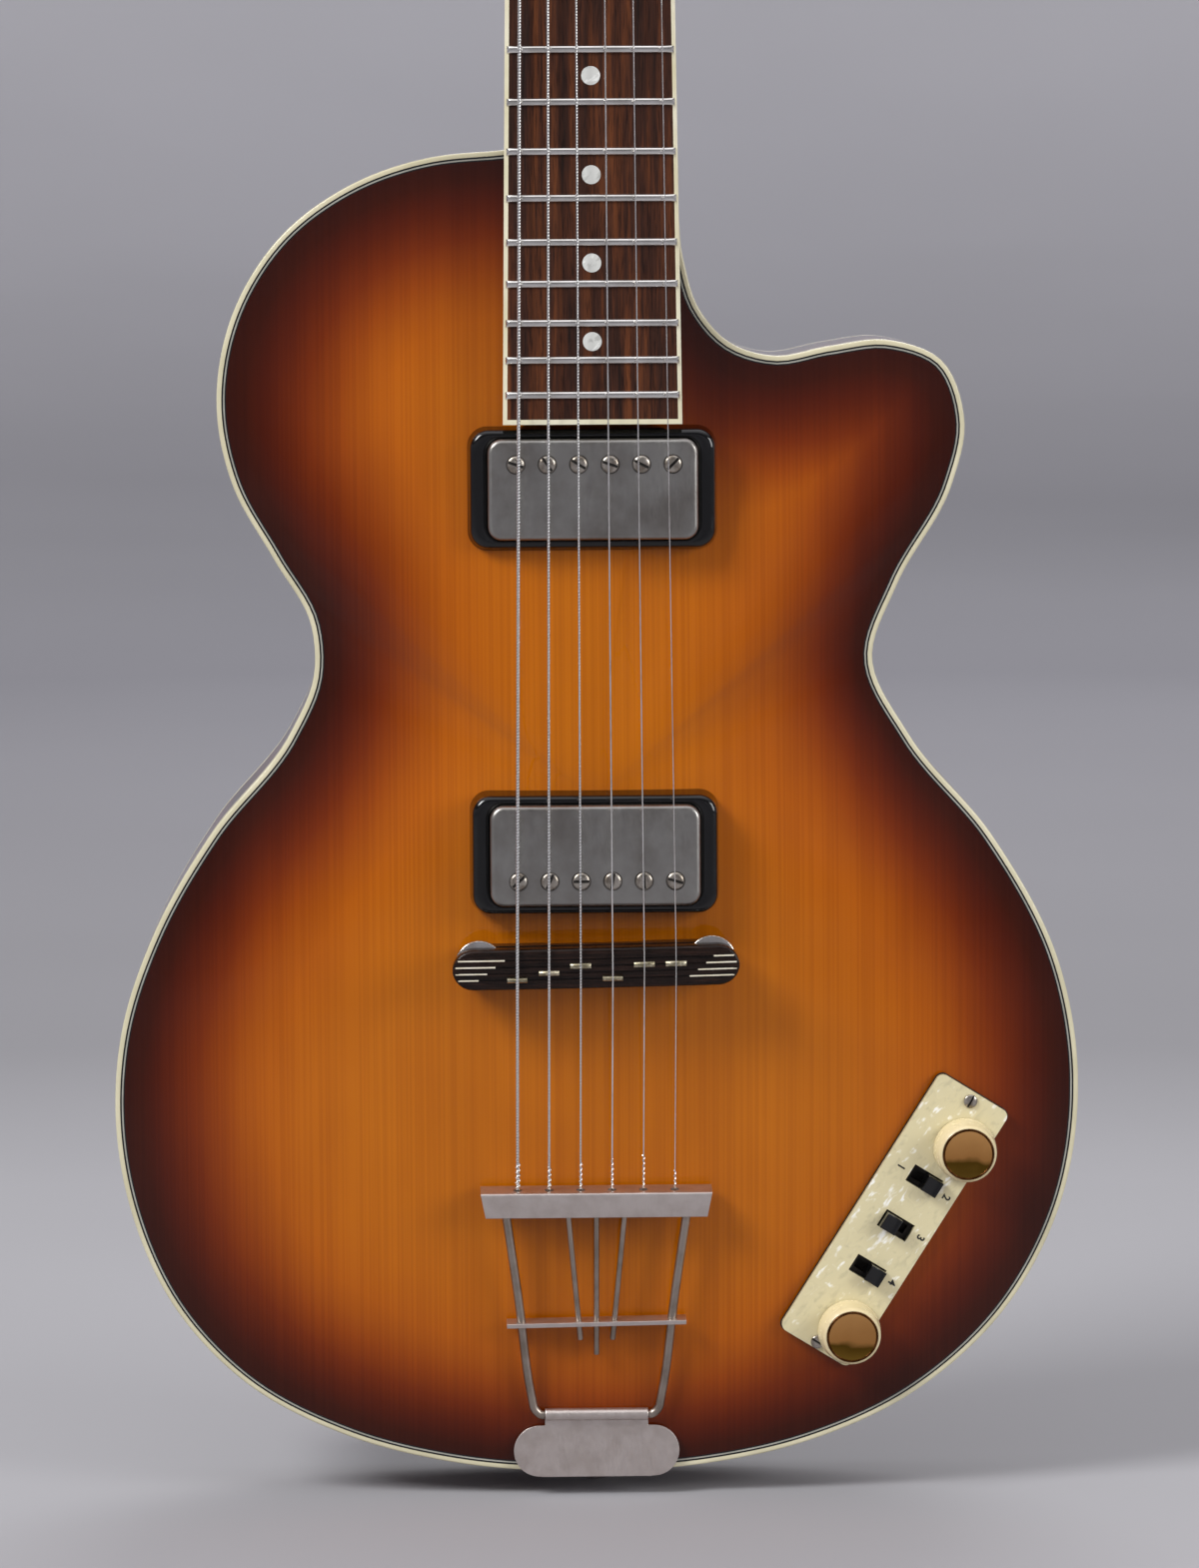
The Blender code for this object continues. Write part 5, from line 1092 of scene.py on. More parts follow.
@dataclass(frozen=True)
class NeckLine:
    """The string scale and the frames that lie along the neck."""

    scale: float = 628.0
    angle: float = 3.0
    plane: float = -52.5
    scale_end: float = 155.1
    nut_width: float = 43.5
    end_width: float = 54.0
    board_end: float = 167.4
    board_top: float = 632.7
    board_thickness: float = 6.0
    radius: float = 305.0
    head_angle: float = 14.0
    head_start: float = 637.8
    nut_pitch: float = 7.3
    saddle_pitch: float = 9.56

    def neck(self) -> Matrix:
        """Own Y runs to the nut, own Z out of the board."""
        return turn_x(90.0 - self.angle, 0.0, self.plane, self.scale_end)

    def head(self) -> Matrix:
        """The headstock's frame: own Z out of its face."""
        base = self.neck() @ Vector((0.0, self.head_start, -self.board_thickness))
        return turn_x(90.0 - self.angle - self.head_angle, base.x, base.y, base.z)

    def fret(self, number: int) -> float:
        """Distance of a fret from the scale's end at the bridge."""
        return self.scale * 2 ** (-number / 12)

    def flare(self) -> float:
        """How much the board widens for each millimetre away from the nut."""
        return (self.end_width - self.nut_width) / (self.scale - self.board_end)

    def width(self, along: float) -> float:
        """Full width of the bound board."""
        return self.nut_width + (self.scale - along) * self.flare()

    def camber(self, x: float) -> float:
        """Drop of the board's face away from its middle."""
        return x * x / (2 * self.radius)

    def string_x(self, index: int, along: float) -> float:
        """A string's distance from the middle line."""
        share = (self.scale - along) / self.scale
        return (index - MIDDLE_STRING) * (self.nut_pitch + (self.saddle_pitch - self.nut_pitch) * share)


LINE = NeckLine()


def relaxed(places: np.ndarray, heights: np.ndarray, times: int) -> np.ndarray:
    """Heights on rings of points, let go a little so that no crease stays.

    Args:
        places: Rings by points by two coordinates, outermost ring first.
        heights: One for each point.
        times: How often each takes the middle of its neighbours.

    Returns:
        The smoother heights; the first and last ring keep theirs.
    """
    def weight(move: Callable[[np.ndarray], np.ndarray]) -> np.ndarray:
        """A neighbour's weight by its distance."""
        return 1.0 / (((move(places) - places) ** 2).sum(-1) + 0.01)

    moves = [lambda rows, way=way, axis=axis: np.roll(rows, way, axis) for way, axis in
             ((1, 1), (-1, 1), (1, 0), (-1, 0))]
    weights = [weight(move) for move in moves]
    total = sum(weights)
    smooth = heights.copy()
    for _ in range(times):
        middle = sum(share * move(smooth) for share, move in zip(weights, moves)) / total
        smooth[1:-1] = middle[1:-1]
    return smooth


@dataclass
class Shell:
    """The hollow body: arched plates, rim, binding and its lines."""

    treble: tuple[Pair, ...] = (
        (0.0, 0.0), (34.0, 2.0), (65.4, 8.8), (96.2, 22.7), (125.6, 49.1), (142.5, 81.0),
        (148.2, 118.5), (142.0, 157.0), (121.6, 195.6), (96.4, 226.4), (85.2, 250.0),
        (92.8, 272.2), (109.5, 302.5), (113.4, 322.0), (106.3, 340.4), (90.0, 346.5),
        (72.3, 344.7), (55.0, 341.9), (42.0, 346.1), (33.0, 356.0), (28.0, 372.0),
        (25.0, 392.0), (16.5, 403.4),
    )
    bass: tuple[Pair, ...] = (
        (-30.0, 404.1), (-48.4, 402.3), (-72.6, 394.1), (-93.1, 379.3), (-107.8, 356.8),
        (-113.4, 326.6), (-108.9, 303.9), (-96.5, 281.1), (-85.4, 261.0), (-84.6, 246.0),
        (-92.1, 227.8), (-116.3, 197.5), (-134.0, 167.1), (-144.3, 136.5), (-146.3, 110.0),
        (-142.1, 82.6), (-128.6, 51.6), (-107.0, 28.2), (-75.7, 11.5), (-42.1, 2.8),
    )
    steps: int = 400
    half_depth: float = 25.0
    rim_wall: float = 3.6
    binding_depth: float = 6.5
    binding_width: float = 1.5
    dark_line: float = 2.0
    pale_line: float = 2.45
    plate_start: float = 2.85
    arch_centre: float = 209.0
    top_arch: float = 13.0
    back_arch: float = 9.0
    top_thickness: float = 4.0
    back_thickness: float = 3.5
    rings: int = 30
    relaxing: int = 260
    # Where the shading is sprayed narrower (+) or wider (-): x, z, how much, how far
    spray: tuple[tuple[float, float, float, float], ...] = (
        (0.0, 0.0, 0.4, 70.0), (88.0, 248.0, 0.45, 42.0), (-88.0, 250.0, 0.15, 42.0),
        (-75.0, 350.0, -0.14, 55.0), (85.0, 320.0, -0.14, 45.0),
    )

    def __post_init__(self) -> None:
        """Lay out the outline and the plain surface that other pieces sit on."""
        low, high = edges_of("rim")
        curve = even(spline(self.treble + self.bass, 24), self.steps)
        self.outline = [Vector((min(max(p.x, low.x), high.x), min(max(p.y, low.z), high.z))) for p in curve]
        surface = self.arched(-1.0, self.top_arch, self.top_thickness)
        self.front_tree = BVHTree.FromBMesh(surface)
        surface.free()

    def inset(self, distance: float) -> list[Vector]:
        """The outline moved inward by a distance.

        Args:
            distance: How far in.

        Returns:
            The inner outline.
        """
        result = []
        for i, point in enumerate(self.outline):
            along = (self.outline[(i + 1) % len(self.outline)] - self.outline[i - 1]).normalized()
            result.append(point + Vector((-along.y, along.x)) * distance)
        return result

    def arched(self, way: float, arch: float, thickness: float) -> Shape:
        """A carved plate.

        Args:
            way: Which way it faces: -1 to the front, 1 to the back.
            arch: Height of its middle over its edge.
            thickness: How thick it is.

        Returns:
            The closed plate.
        """
        edge = np.array([tuple(point) for point in self.inset(self.plate_start)])
        centre = np.array((0.0, self.arch_centre))
        shares = np.array([1.0 - (step / self.rings) ** 1.25 for step in range(self.rings)])
        places = centre + (edge - centre)[None] * shares[:, None, None]
        rise = np.sin(pi / 2 * (1.0 - shares) ** 0.75)[:, None] ** 2 * np.ones(len(edge))
        rise = relaxed(places, rise, self.relaxing)

        def ring(number: int, depth: float) -> list[Triple]:
            """Points of one ring at a depth under the face."""
            return [(x, way * (self.half_depth + arch * lift - depth), z)
                    for (x, z), lift in zip(places[number], rise[number])]

        def pole(depth: float) -> list[Triple]:
            """The middle point."""
            return [(centre[0], way * (self.half_depth + arch - depth), centre[1])]

        faces = [ring(number, 0.0) for number in reversed(range(self.rings))]
        backs = [ring(number, thickness) for number in range(self.rings)]
        return loft([pole(0.0)] + faces + backs + [pole(thickness)])

    def strip(self, profile: Sequence[Pair]) -> Shape:
        """A strip round the body of a profile given as inset and depth."""
        return loft([[(p.x, depth, p.y) for p in self.inset(inward)] for inward, depth in profile], True)

    def seat(self, x: float, z: float) -> float:
        """Depth at which a foot sits in the front's face."""
        hit = self.front_tree.ray_cast(Vector((x, -200.0, z)), Vector((0.0, 1.0, 0.0)))[0]
        return (hit.y if hit else -self.half_depth) - SEAT

    def mark_edge(self, mesh: Mesh) -> None:
        """Write each point's distance from the outline in millimetres, changed where the spray was.

        Args:
            mesh: The finished plate.
        """
        corners = np.array([tuple(point) for point in even(self.outline, 1200)])

        def distance(places: np.ndarray) -> np.ndarray:
            """Distance of each place, worked out in blocks to spare memory.

            Args:
                places: Points of the plate.

            Returns:
                One distance for each.
            """
            flat = places[:, [0, 2]]
            nearest = np.concatenate([np.sqrt(((block[:, None] - corners[None]) ** 2).sum(2).min(1))
                                      for block in np.array_split(flat, 24)])
            for x, z, more, reach in self.spray:
                nearest *= 1.0 + more * np.exp(-((flat - (x, z)) ** 2).sum(1) / reach ** 2)
            return nearest

        note(mesh, "edge_distance", distance)

    def build(self, wells: Sequence[Shape]) -> None:
        """Make every piece of the body.

        Args:
            wells: What is cut out of the front for the pickups and the controls.
        """
        front = cut(self.arched(-1.0, self.top_arch, self.top_thickness), wells)
        place_piece("carved_front", front, SUNBURST, nodes=["top_plate"], mark=self.mark_edge)
        back = self.arched(1.0, self.back_arch, self.back_thickness)
        place_piece("carved_back", back, BACK_BURST, nodes=["back_plate"], mark=self.mark_edge)
        side = self.half_depth - self.binding_depth
        wall = self.strip([(0.0, -side), (0.0, side), (self.rim_wall, side), (self.rim_wall, -side)])
        place_piece("bent_rim", wall, RED_MAPLE, nodes=["rim"])
        for name, way, node in (("front", -1.0, "top_binding"), ("back", 1.0, "back_binding")):
            face, inner, deep = (way * (self.half_depth - depth) for depth in (0.0, self.binding_depth, 1.5))
            corners = [(0.0, inner), (0.0, face), (self.binding_width, face), (self.binding_width, inner)]
            strip = self.strip(rounded(corners, (0.0, 0.7, 0.1, 0.0)))
            place_piece(f"{name}_binding_strip", strip, CREAM, nodes=[node])
            lines = (("inner_line", self.pale_line, self.plate_start, BLACK_LINE),
                     ("pale_line", self.dark_line, self.pale_line, WHITE_LINE),
                     ("outer_line", self.binding_width, self.dark_line, BLACK_LINE))
            for label, start, end, finish in lines:
                thread = self.strip([(start, deep), (start, face), (end, face), (end, deep)])
                place_piece(f"{name}_{label}", thread, finish)


@dataclass
class Fingerboard:
    """Rosewood board with its frets, dots, binding and nut."""

    binding: float = 1.3
    end_strip: float = 1.5
    fret_count: int = 23
    fret_width: float = 2.3
    fret_height: float = 1.1
    # How a fret's ends are filed back: place along it and height, as shares
    fret_ends: tuple[Pair, ...] = ((-0.5, 0.0), (-0.497, 0.45), (-0.484, 1.0))
    dot: float = 5.7
    dot_frets: tuple[int, ...] = (3, 5, 7, 9, 15, 17, 19, 21)
    double_dot: int = 12
    double_spread: float = 12.0

    def row(self, along: float, edge: float, steps: int = 14) -> list[Triple]:
        """Points across the cambered face, then the underside.

        Args:
            along: Distance from the scale's end.
            edge: Half width.
            steps: Steps across the face.

        Returns:
            The ring of points.
        """
        across = [edge * (1 - 2 * step / steps) for step in range(steps + 1)]
        return [(x, along, -LINE.camber(x)) for x in across] + [
            (x, along, -LINE.board_thickness) for x in (-edge, edge)]

    def board(self) -> Shape:
        """The rosewood between the binding strips."""
        starts = (LINE.board_end + self.end_strip, LINE.board_top)
        return loft([self.row(along, LINE.width(along) / 2 - self.binding) for along in starts])

    def strips(self) -> Shape:
        """The cream strips along both sides and across the end.

        Returns:
            All three in one shape.
        """
        parts = []
        for side in Side:
            rings = []
            for along in (LINE.board_end, LINE.board_top):
                outer = LINE.width(along) / 2
                inner = outer - self.binding
                corners = [(inner, -LINE.board_thickness), (outer, -LINE.board_thickness),
                           (outer, -LINE.camber(outer)), (inner, -LINE.camber(inner))]
                soft = rounded(corners, (0.0, 0.2, 0.5, 0.0))
                rings.append([(side.value * x, along, height) for x, height in soft])
            parts.append(loft(rings))
        edge = LINE.width(LINE.board_end) / 2 - self.binding
        return joined(parts + [loft([self.row(LINE.board_end + more, edge) for more in (0.0, self.end_strip)])])

    def fret(self) -> Shape:
        """One fret a millimetre wide in X, to be stretched to the board.

        Returns:
            The closed mesh.
        """
        stations = [*self.fret_ends, *((part / 20, 1.0) for part in range(-9, 10)),
                    *((-x, rise) for x, rise in reversed(self.fret_ends))]
        return loft([[(x, -a * self.fret_width / 2, max(b, 0.0) ** 0.8 * self.fret_height * max(rise, 0.05))
                      for a, b in arc(pi, 10)] for x, rise in stations])

    def dots(self) -> list[Triple]:
        """Middle of every dot on the board's face.

        Returns:
            Their places in the board's frame.
        """
        spots = [(0.0, number) for number in self.dot_frets]
        spots += [(side.value * self.double_spread, self.double_dot) for side in Side]
        return [(x, (LINE.fret(number - 1) + LINE.fret(number)) / 2, -LINE.camber(x) + 0.02) for x, number in spots]

    def build(self) -> None:
        """Make the board and what is on it."""
        neck = LINE.neck()
        place_piece("rosewood_board", self.board(), ROSEWOOD, neck, nodes=["fingerboard"])
        place_piece("board_binding", self.strips(), CREAM_BOARD, neck, nodes=["fingerboard_binding"])
        values = {"Finish": STEEL.material(), "Count": self.fret_count, "Scale": LINE.scale,
                  "Nut_Width": LINE.nut_width - self.binding, "Flare": LINE.flare(), "Radius": LINE.radius}
        place_piece("fret_wires", FRETS.grow([(0.0, 0.0, 0.0)], values, self.fret()), STEEL, neck)
        edge = self.dot / 2
        disc = turned(rounded([(0.0, 0.0), (edge, 0.0), (edge, -1.0), (0.0, -1.0)], (0.0, 0.05, 0.0, 0.0)), 40)
        scattered("pearl_dots", disc, self.dots(), PEARL_DOT, neck)
        place_piece("bone_nut", carried("nut"), BONE, nodes=["nut"], soft=0.35)


@dataclass
class Pickup:
    """One pickup: black surround, nickel cover, slotted pole screws and the coil under them."""

    name: str
    lift: float
    screws_up: float
    seed: int
    surround: Pair = (75.5, 37.4)
    corner: float = 6.0
    draft: float = 0.8
    shoulder: float = 1.8
    # The surround's inner lip: how far inside the face each step is, and how far it opens
    lip: tuple[Pair, ...] = ((0.0, 0.35), (0.15, 0.1), (0.4, 0.0))
    cover: Pair = (63.4, 30.4)
    cover_corner: float = 4.2
    cover_edge: float = 1.5
    cover_depth: float = 17.0
    # The drawn sheet's inner side: inset and depth
    cover_inside: tuple[Pair, ...] = ((0.8, 1.6), (2.0, 0.9))
    sheet: float = 0.8
    pole: float = 5.2
    pole_pitch: float = 9.45
    pole_shift: float = 0.4
    pole_offset: float = 7.6
    winding: Triple = (58.0, 26.0, 12.0)

    def ring(self, shell: Shell) -> Shape:
        """The surround, its foot shaped to the arch.

        Args:
            shell: The body that it stands on.

        Returns:
            The closed mesh.
        """
        face = edges_of(f"pickup_ring_{self.name}")[0].y

        def at(depth: float | None, size: Pair, more: float, corner: float) -> list[Triple]:
            """A rectangle drawn out by some, at a depth or on the front's face."""
            flat = rectangle(size[0] + 2 * more, size[1] + 2 * more, corner, 8, 8)
            return [(x, shell.seat(x, z + self.lift) if depth is None else depth, z + self.lift) for x, z in flat]

        rings = [at(None, self.surround, 0.0, self.corner)]
        for x, y in arc(pi / 2, 6):
            inward = self.draft + self.shoulder * (1 - x)
            rings.append(at(face + self.shoulder * (1 - y), self.surround, -inward, self.corner - inward / 2))
        for depth, opened in (*self.lip, (None, 0.0)):
            depth = None if depth is None else face + depth
            rings.append(at(depth, self.cover, GAP + opened, self.cover_corner + GAP))
        return loft(rings, True)

    def shell_of_cover(self) -> Shape:
        """The drawn nickel cover with its soft edge.

        Returns:
            The closed mesh.
        """
        crown = edges_of(f"pickup_cover_{self.name}")[0].y
        steps = [(self.cover_edge * (1 - y), self.cover_edge * (1 - x)) for x, y in arc(pi / 2, 5)]
        steps += [(0.0, self.cover_depth), (self.sheet, self.cover_depth), *self.cover_inside]
        wide, tall = self.cover
        return loft([[(x, crown + depth, z + self.lift) for x, z in rectangle(
            wide - 2 * inward, tall - 2 * inward, self.cover_corner - inward * 0.8)] for inward, depth in steps])

    def build(self, shell: Shell) -> None:
        """Make the pickup's pieces.

        Args:
            shell: The body that it stands on.
        """
        surround, cover = f"pickup_ring_{self.name}", f"pickup_cover_{self.name}"
        place_piece(f"{self.name}_surround", self.ring(shell), BLACK_GLOSS, nodes=[surround], angle=40.0)
        place_piece(f"{self.name}_cover", self.shell_of_cover(), NICKEL_COVER, nodes=[cover], angle=40.0)
        face = turn_x(90.0, 0.0, edges_of(cover)[0].y, self.lift)
        spots = [((i - MIDDLE_STRING) * self.pole_pitch + self.pole_shift, self.screws_up * self.pole_offset, 0.0)
                 for i in STRINGS]
        scattered(f"{self.name}_pole_screws", slotted_screw(self.pole, 1.0, 0.85), spots, POLE_NICKEL, face, pi,
                  self.seed, nodes=[f"pickup_coil_{self.name}"], angle=40.0)
        # A thin dark bar down each slot: painted shade for the slot's shadow
        shade_bar = box((self.pole * 0.92, 0.8, 0.1), (0.0, 0.0, 0.4))
        scattered(f"{self.name}_slot_grime", shade_bar, spots, SLOT_SHADE_PAINT, face, pi, self.seed)
        # A thin dark ring round each pole screw: painted shade for the gap round its head
        scattered(f"{self.name}_screw_seats", peg(self.pole / 2 + 0.35, 0.0, 0.06, 28), spots, DULL_STEEL_AND_SHADE, face)
        place_piece(f"{self.name}_coil", box(self.winding, (0.0, 0.0, -10.0)), COPPER, face, soft=1.5)

    def well(self) -> Shape:
        """What is cut out of the front for the cover."""
        return box((self.cover[0] + 1.2, 80.0, self.cover[1] + 1.2), (0.0, -25.0, self.lift))


@dataclass
class Bridge:
    """Ebony saddle with fret-wire pieces and white lines, on two thumbwheels over a footed base."""

    x: float = -0.1
    lift: float = 159.3
    tilt: float = 0.9
    length: float = 86.4
    width: float = 12.4
    saddle_top: float = -56.3
    saddle_thickness: float = 6.8
    back_slope: float = 0.27
    foot_start: float = 15.0
    archway: float = 2.4
    wheel: float = 14.8
    wheel_thickness: float = 2.0
    wheel_spread: float = 35.1
    wheel_offset: float = 1.0
    notches: int = 32
    stud: float = 3.6
    stud_run: Pair = (40.0, 51.0)
    groove_pitch: float = 2.0
    groove: float = 0.42
    groove_depth: float = 0.5
    grooves: Sequence[int] = range(1, 5)
    wire: Triple = (6.3, 1.75, 0.9)
    slots: tuple[int, ...] = (4, 3, 2, 4, 2, 2)
    # Lengths of the white lines, from the neck's side down
    left_lines: tuple[float, ...] = (14.1, 12.0, 9.5, 6.1)
    right_lines: tuple[float, ...] = (6.1, 9.2, 11.7, 13.5)

    def spot(self) -> Matrix:
        """The bridge's frame: X along it, Y its depth, Z across it."""
        return shift(self.x, 0.0, self.lift) @ turn_about("Y", -self.tilt)

    def face(self, across: float, up: float) -> float:
        """Y of the saddle's face, which falls away towards the tailpiece."""
        return self.saddle_top + LINE.camber(across) / 2 + max(0.0, -up) * self.back_slope

    def half(self, across: float, length: float, width: float) -> float:
        """Half width of a bar with round ends."""
        past = max(abs(across) - (length - width) / 2, 0.0)
        return sqrt(max((width / 2) ** 2 - past ** 2, 0.0))

    def stations(self, length: float, width: float) -> list[float]:
        """Places along a bar with round ends.

        Args:
            length: Full length.
            width: Full width.

        Returns:
            Distances from its middle, closer at the ends.
        """
        straight = (length - width) / 2
        right = [straight + width / 2 * sin(radians(a)) for a in (86, 78, 68, 56, 43, 29, 14, 0)]
        right += [straight * part / 16 for part in range(15, 0, -1)]
        return [-a for a in right] + [0.0] + right[::-1]

    def saddle(self) -> Shape:
        """The saddle bar with its four grooves.

        Returns:
            The closed mesh.
        """
        floor = self.saddle_top + self.saddle_thickness
        rings = []
        for across in self.stations(self.length, self.width):
            wide = self.half(across, self.length, self.width)
            soft = min(1.3, wide * 0.6)
            corners = [(-wide, floor), (wide, floor), (wide, self.face(across, wide)), (0.0, self.face(across, 0.0)),
                       (-wide, self.face(across, -wide))]
            ring = rounded(corners, (0.0, 0.0, soft, 0.0, soft))
            rings.append([(across, depth, up) for up, depth in ring])
        end = self.length / 2 - 2.0
        return cut(loft(rings), [self.ribbon(self.groove_up(number), -end, end, 1.0) for number in self.grooves])

    def groove_up(self, number: int) -> float:
        """A groove's place across the saddle, counted from the neck's side."""
        return (2.5 - number) * self.groove_pitch

    def ribbon(self, up: float, start: float, end: float, proud: float) -> Shape:
        """A thin bar in a groove, which follows the saddle's face.

        Args:
            up: Its place across the saddle.
            start: Its left end.
            end: Its right end.
            proud: How far it stands out of the face.

        Returns:
            The bar.
        """
        rings = []
        for step in range(25):
            across = start + (end - start) * step / 24
            face = self.face(across, up)
            low, high, edge = face + self.groove_depth, face - proud, self.groove / 2
            rings.append([(across, low, up - edge), (across, low, up + edge), (across, high, up + edge),
                          (across, high, up - edge)])
        return loft(rings)

    def lines(self) -> Shape:
        """White lines let into the grooves at both ends.

        Returns:
            All lines in one shape.
        """
        parts = []
        for number, left, right in zip(self.grooves, self.left_lines, self.right_lines):
            up = self.groove_up(number)
            edge = (self.length - self.width) / 2 + sqrt((self.width / 2 - 0.5) ** 2 - up ** 2) - 0.3
            parts += [self.ribbon(up, *ends, 0.02) for ends in ((-edge, left - edge), (edge - right, edge))]
        return joined(parts)

    def wires(self) -> Shape:
        """Short fret-wire pieces, one under each string.

        Returns:
            All pieces in one shape.
        """
        parts = []
        long, wide, crown = self.wire
        for index, slot in enumerate(self.slots):
            across = LINE.string_x(index, 0.0) - self.x
            up = self.groove_up(slot)
            top = self.saddle_top + LINE.camber(across) / 2 - crown
            foot = self.face(across, up - wide / 2)
            rings = []
            for end, rise in ((-0.5, 0.8), (-0.47, 1.0), (0.47, 1.0), (0.5, 0.8)):
                ring = [(end * long, foot + (top - foot) * max(b, 0.0) ** 0.7 * rise, -a * wide / 2)
                        for a, b in arc(pi, 8)]
                rings.append([(end * long, foot + 1.0, -wide / 2)] + ring + [(end * long, foot + 1.0, wide / 2)])
            parts.append(moved(loft(rings), shift(across, 0.0, up)))
        return joined(parts)

    def base(self, shell: Shell) -> Shape:
        """The base with its two feet shaped to the arch.

        Args:
            shell: The body that it stands on.

        Returns:
            The closed mesh.
        """
        spot = self.spot()
        top = edges_of("thumbwheel_bass")[1].y + 3.2
        length, width = self.length - 2.0, self.width - 0.4
        rings = []
        for across in self.stations(length, width):
            wide = self.half(across, length, width)
            corners = [spot @ Vector((across, 0.0, edge)) for edge in (-wide, wide)]
            seats = [shell.seat(corner.x, corner.z) for corner in corners]
            if abs(across) < self.foot_start:
                seats = [min(seats) - self.archway] * 2
            rings.append([(across, seats[0], -wide), (across, seats[1], wide), (across, top, wide),
                          (across, top, -wide)])
        return loft(rings)

    def disc(self) -> Shape:
        """A thumbwheel with its notched edge.

        Returns:
            The closed mesh.
        """
        outer, inner, half = self.wheel / 2, self.stud / 2 + GAP, self.wheel_thickness / 2
        profile = rounded([(inner, half), (outer, half), (outer, -half), (inner, -half)], (0.0, 0.5, 0.5, 0.0))
        notches = [box((0.5, 0.5, 3.0), ((outer + 0.1) * x, (outer + 0.1) * y, 0.0))
                   for x, y in arc(2 * pi, self.notches)[:-1]]
        return cut(turned(profile, 64, True), [joined(notches)])

    def build(self, shell: Shell) -> None:
        """Make the bridge's pieces.

        Args:
            shell: The body that it stands on.
        """
        spot, body = self.spot(), "bridge_saddle"
        place_piece("ebony_saddle", self.saddle(), EBONY, spot, body, [body])
        place_piece("saddle_wires", self.wires(), FRET_WIRE, spot, body, angle=50.0)
        place_piece("saddle_white_lines", self.lines(), BONE, spot, body)
        place_piece("ebony_base", self.base(shell), EBONY, spot, nodes=["bridge_base"], soft=0.4)
        studs = []
        for side in Side:
            centre = spot @ Vector((side.value * self.wheel_spread, 0.0, self.wheel_offset))
            studs.append(moved(peg(self.stud / 2, *self.stud_run, 20), turn_x(90.0, centre.x, 0.0, centre.z)))
            name = f"thumbwheel_{side.name.lower()}"
            middle = sum(edge.y for edge in edges_of(name)) / 2
            place_piece(f"{name}_disc", self.disc(), NICKEL_BRIGHT, turn_x(90.0, centre.x, middle, centre.z), name,
                        [name])
        place_piece("bridge_studs", joined(studs), BRASS)


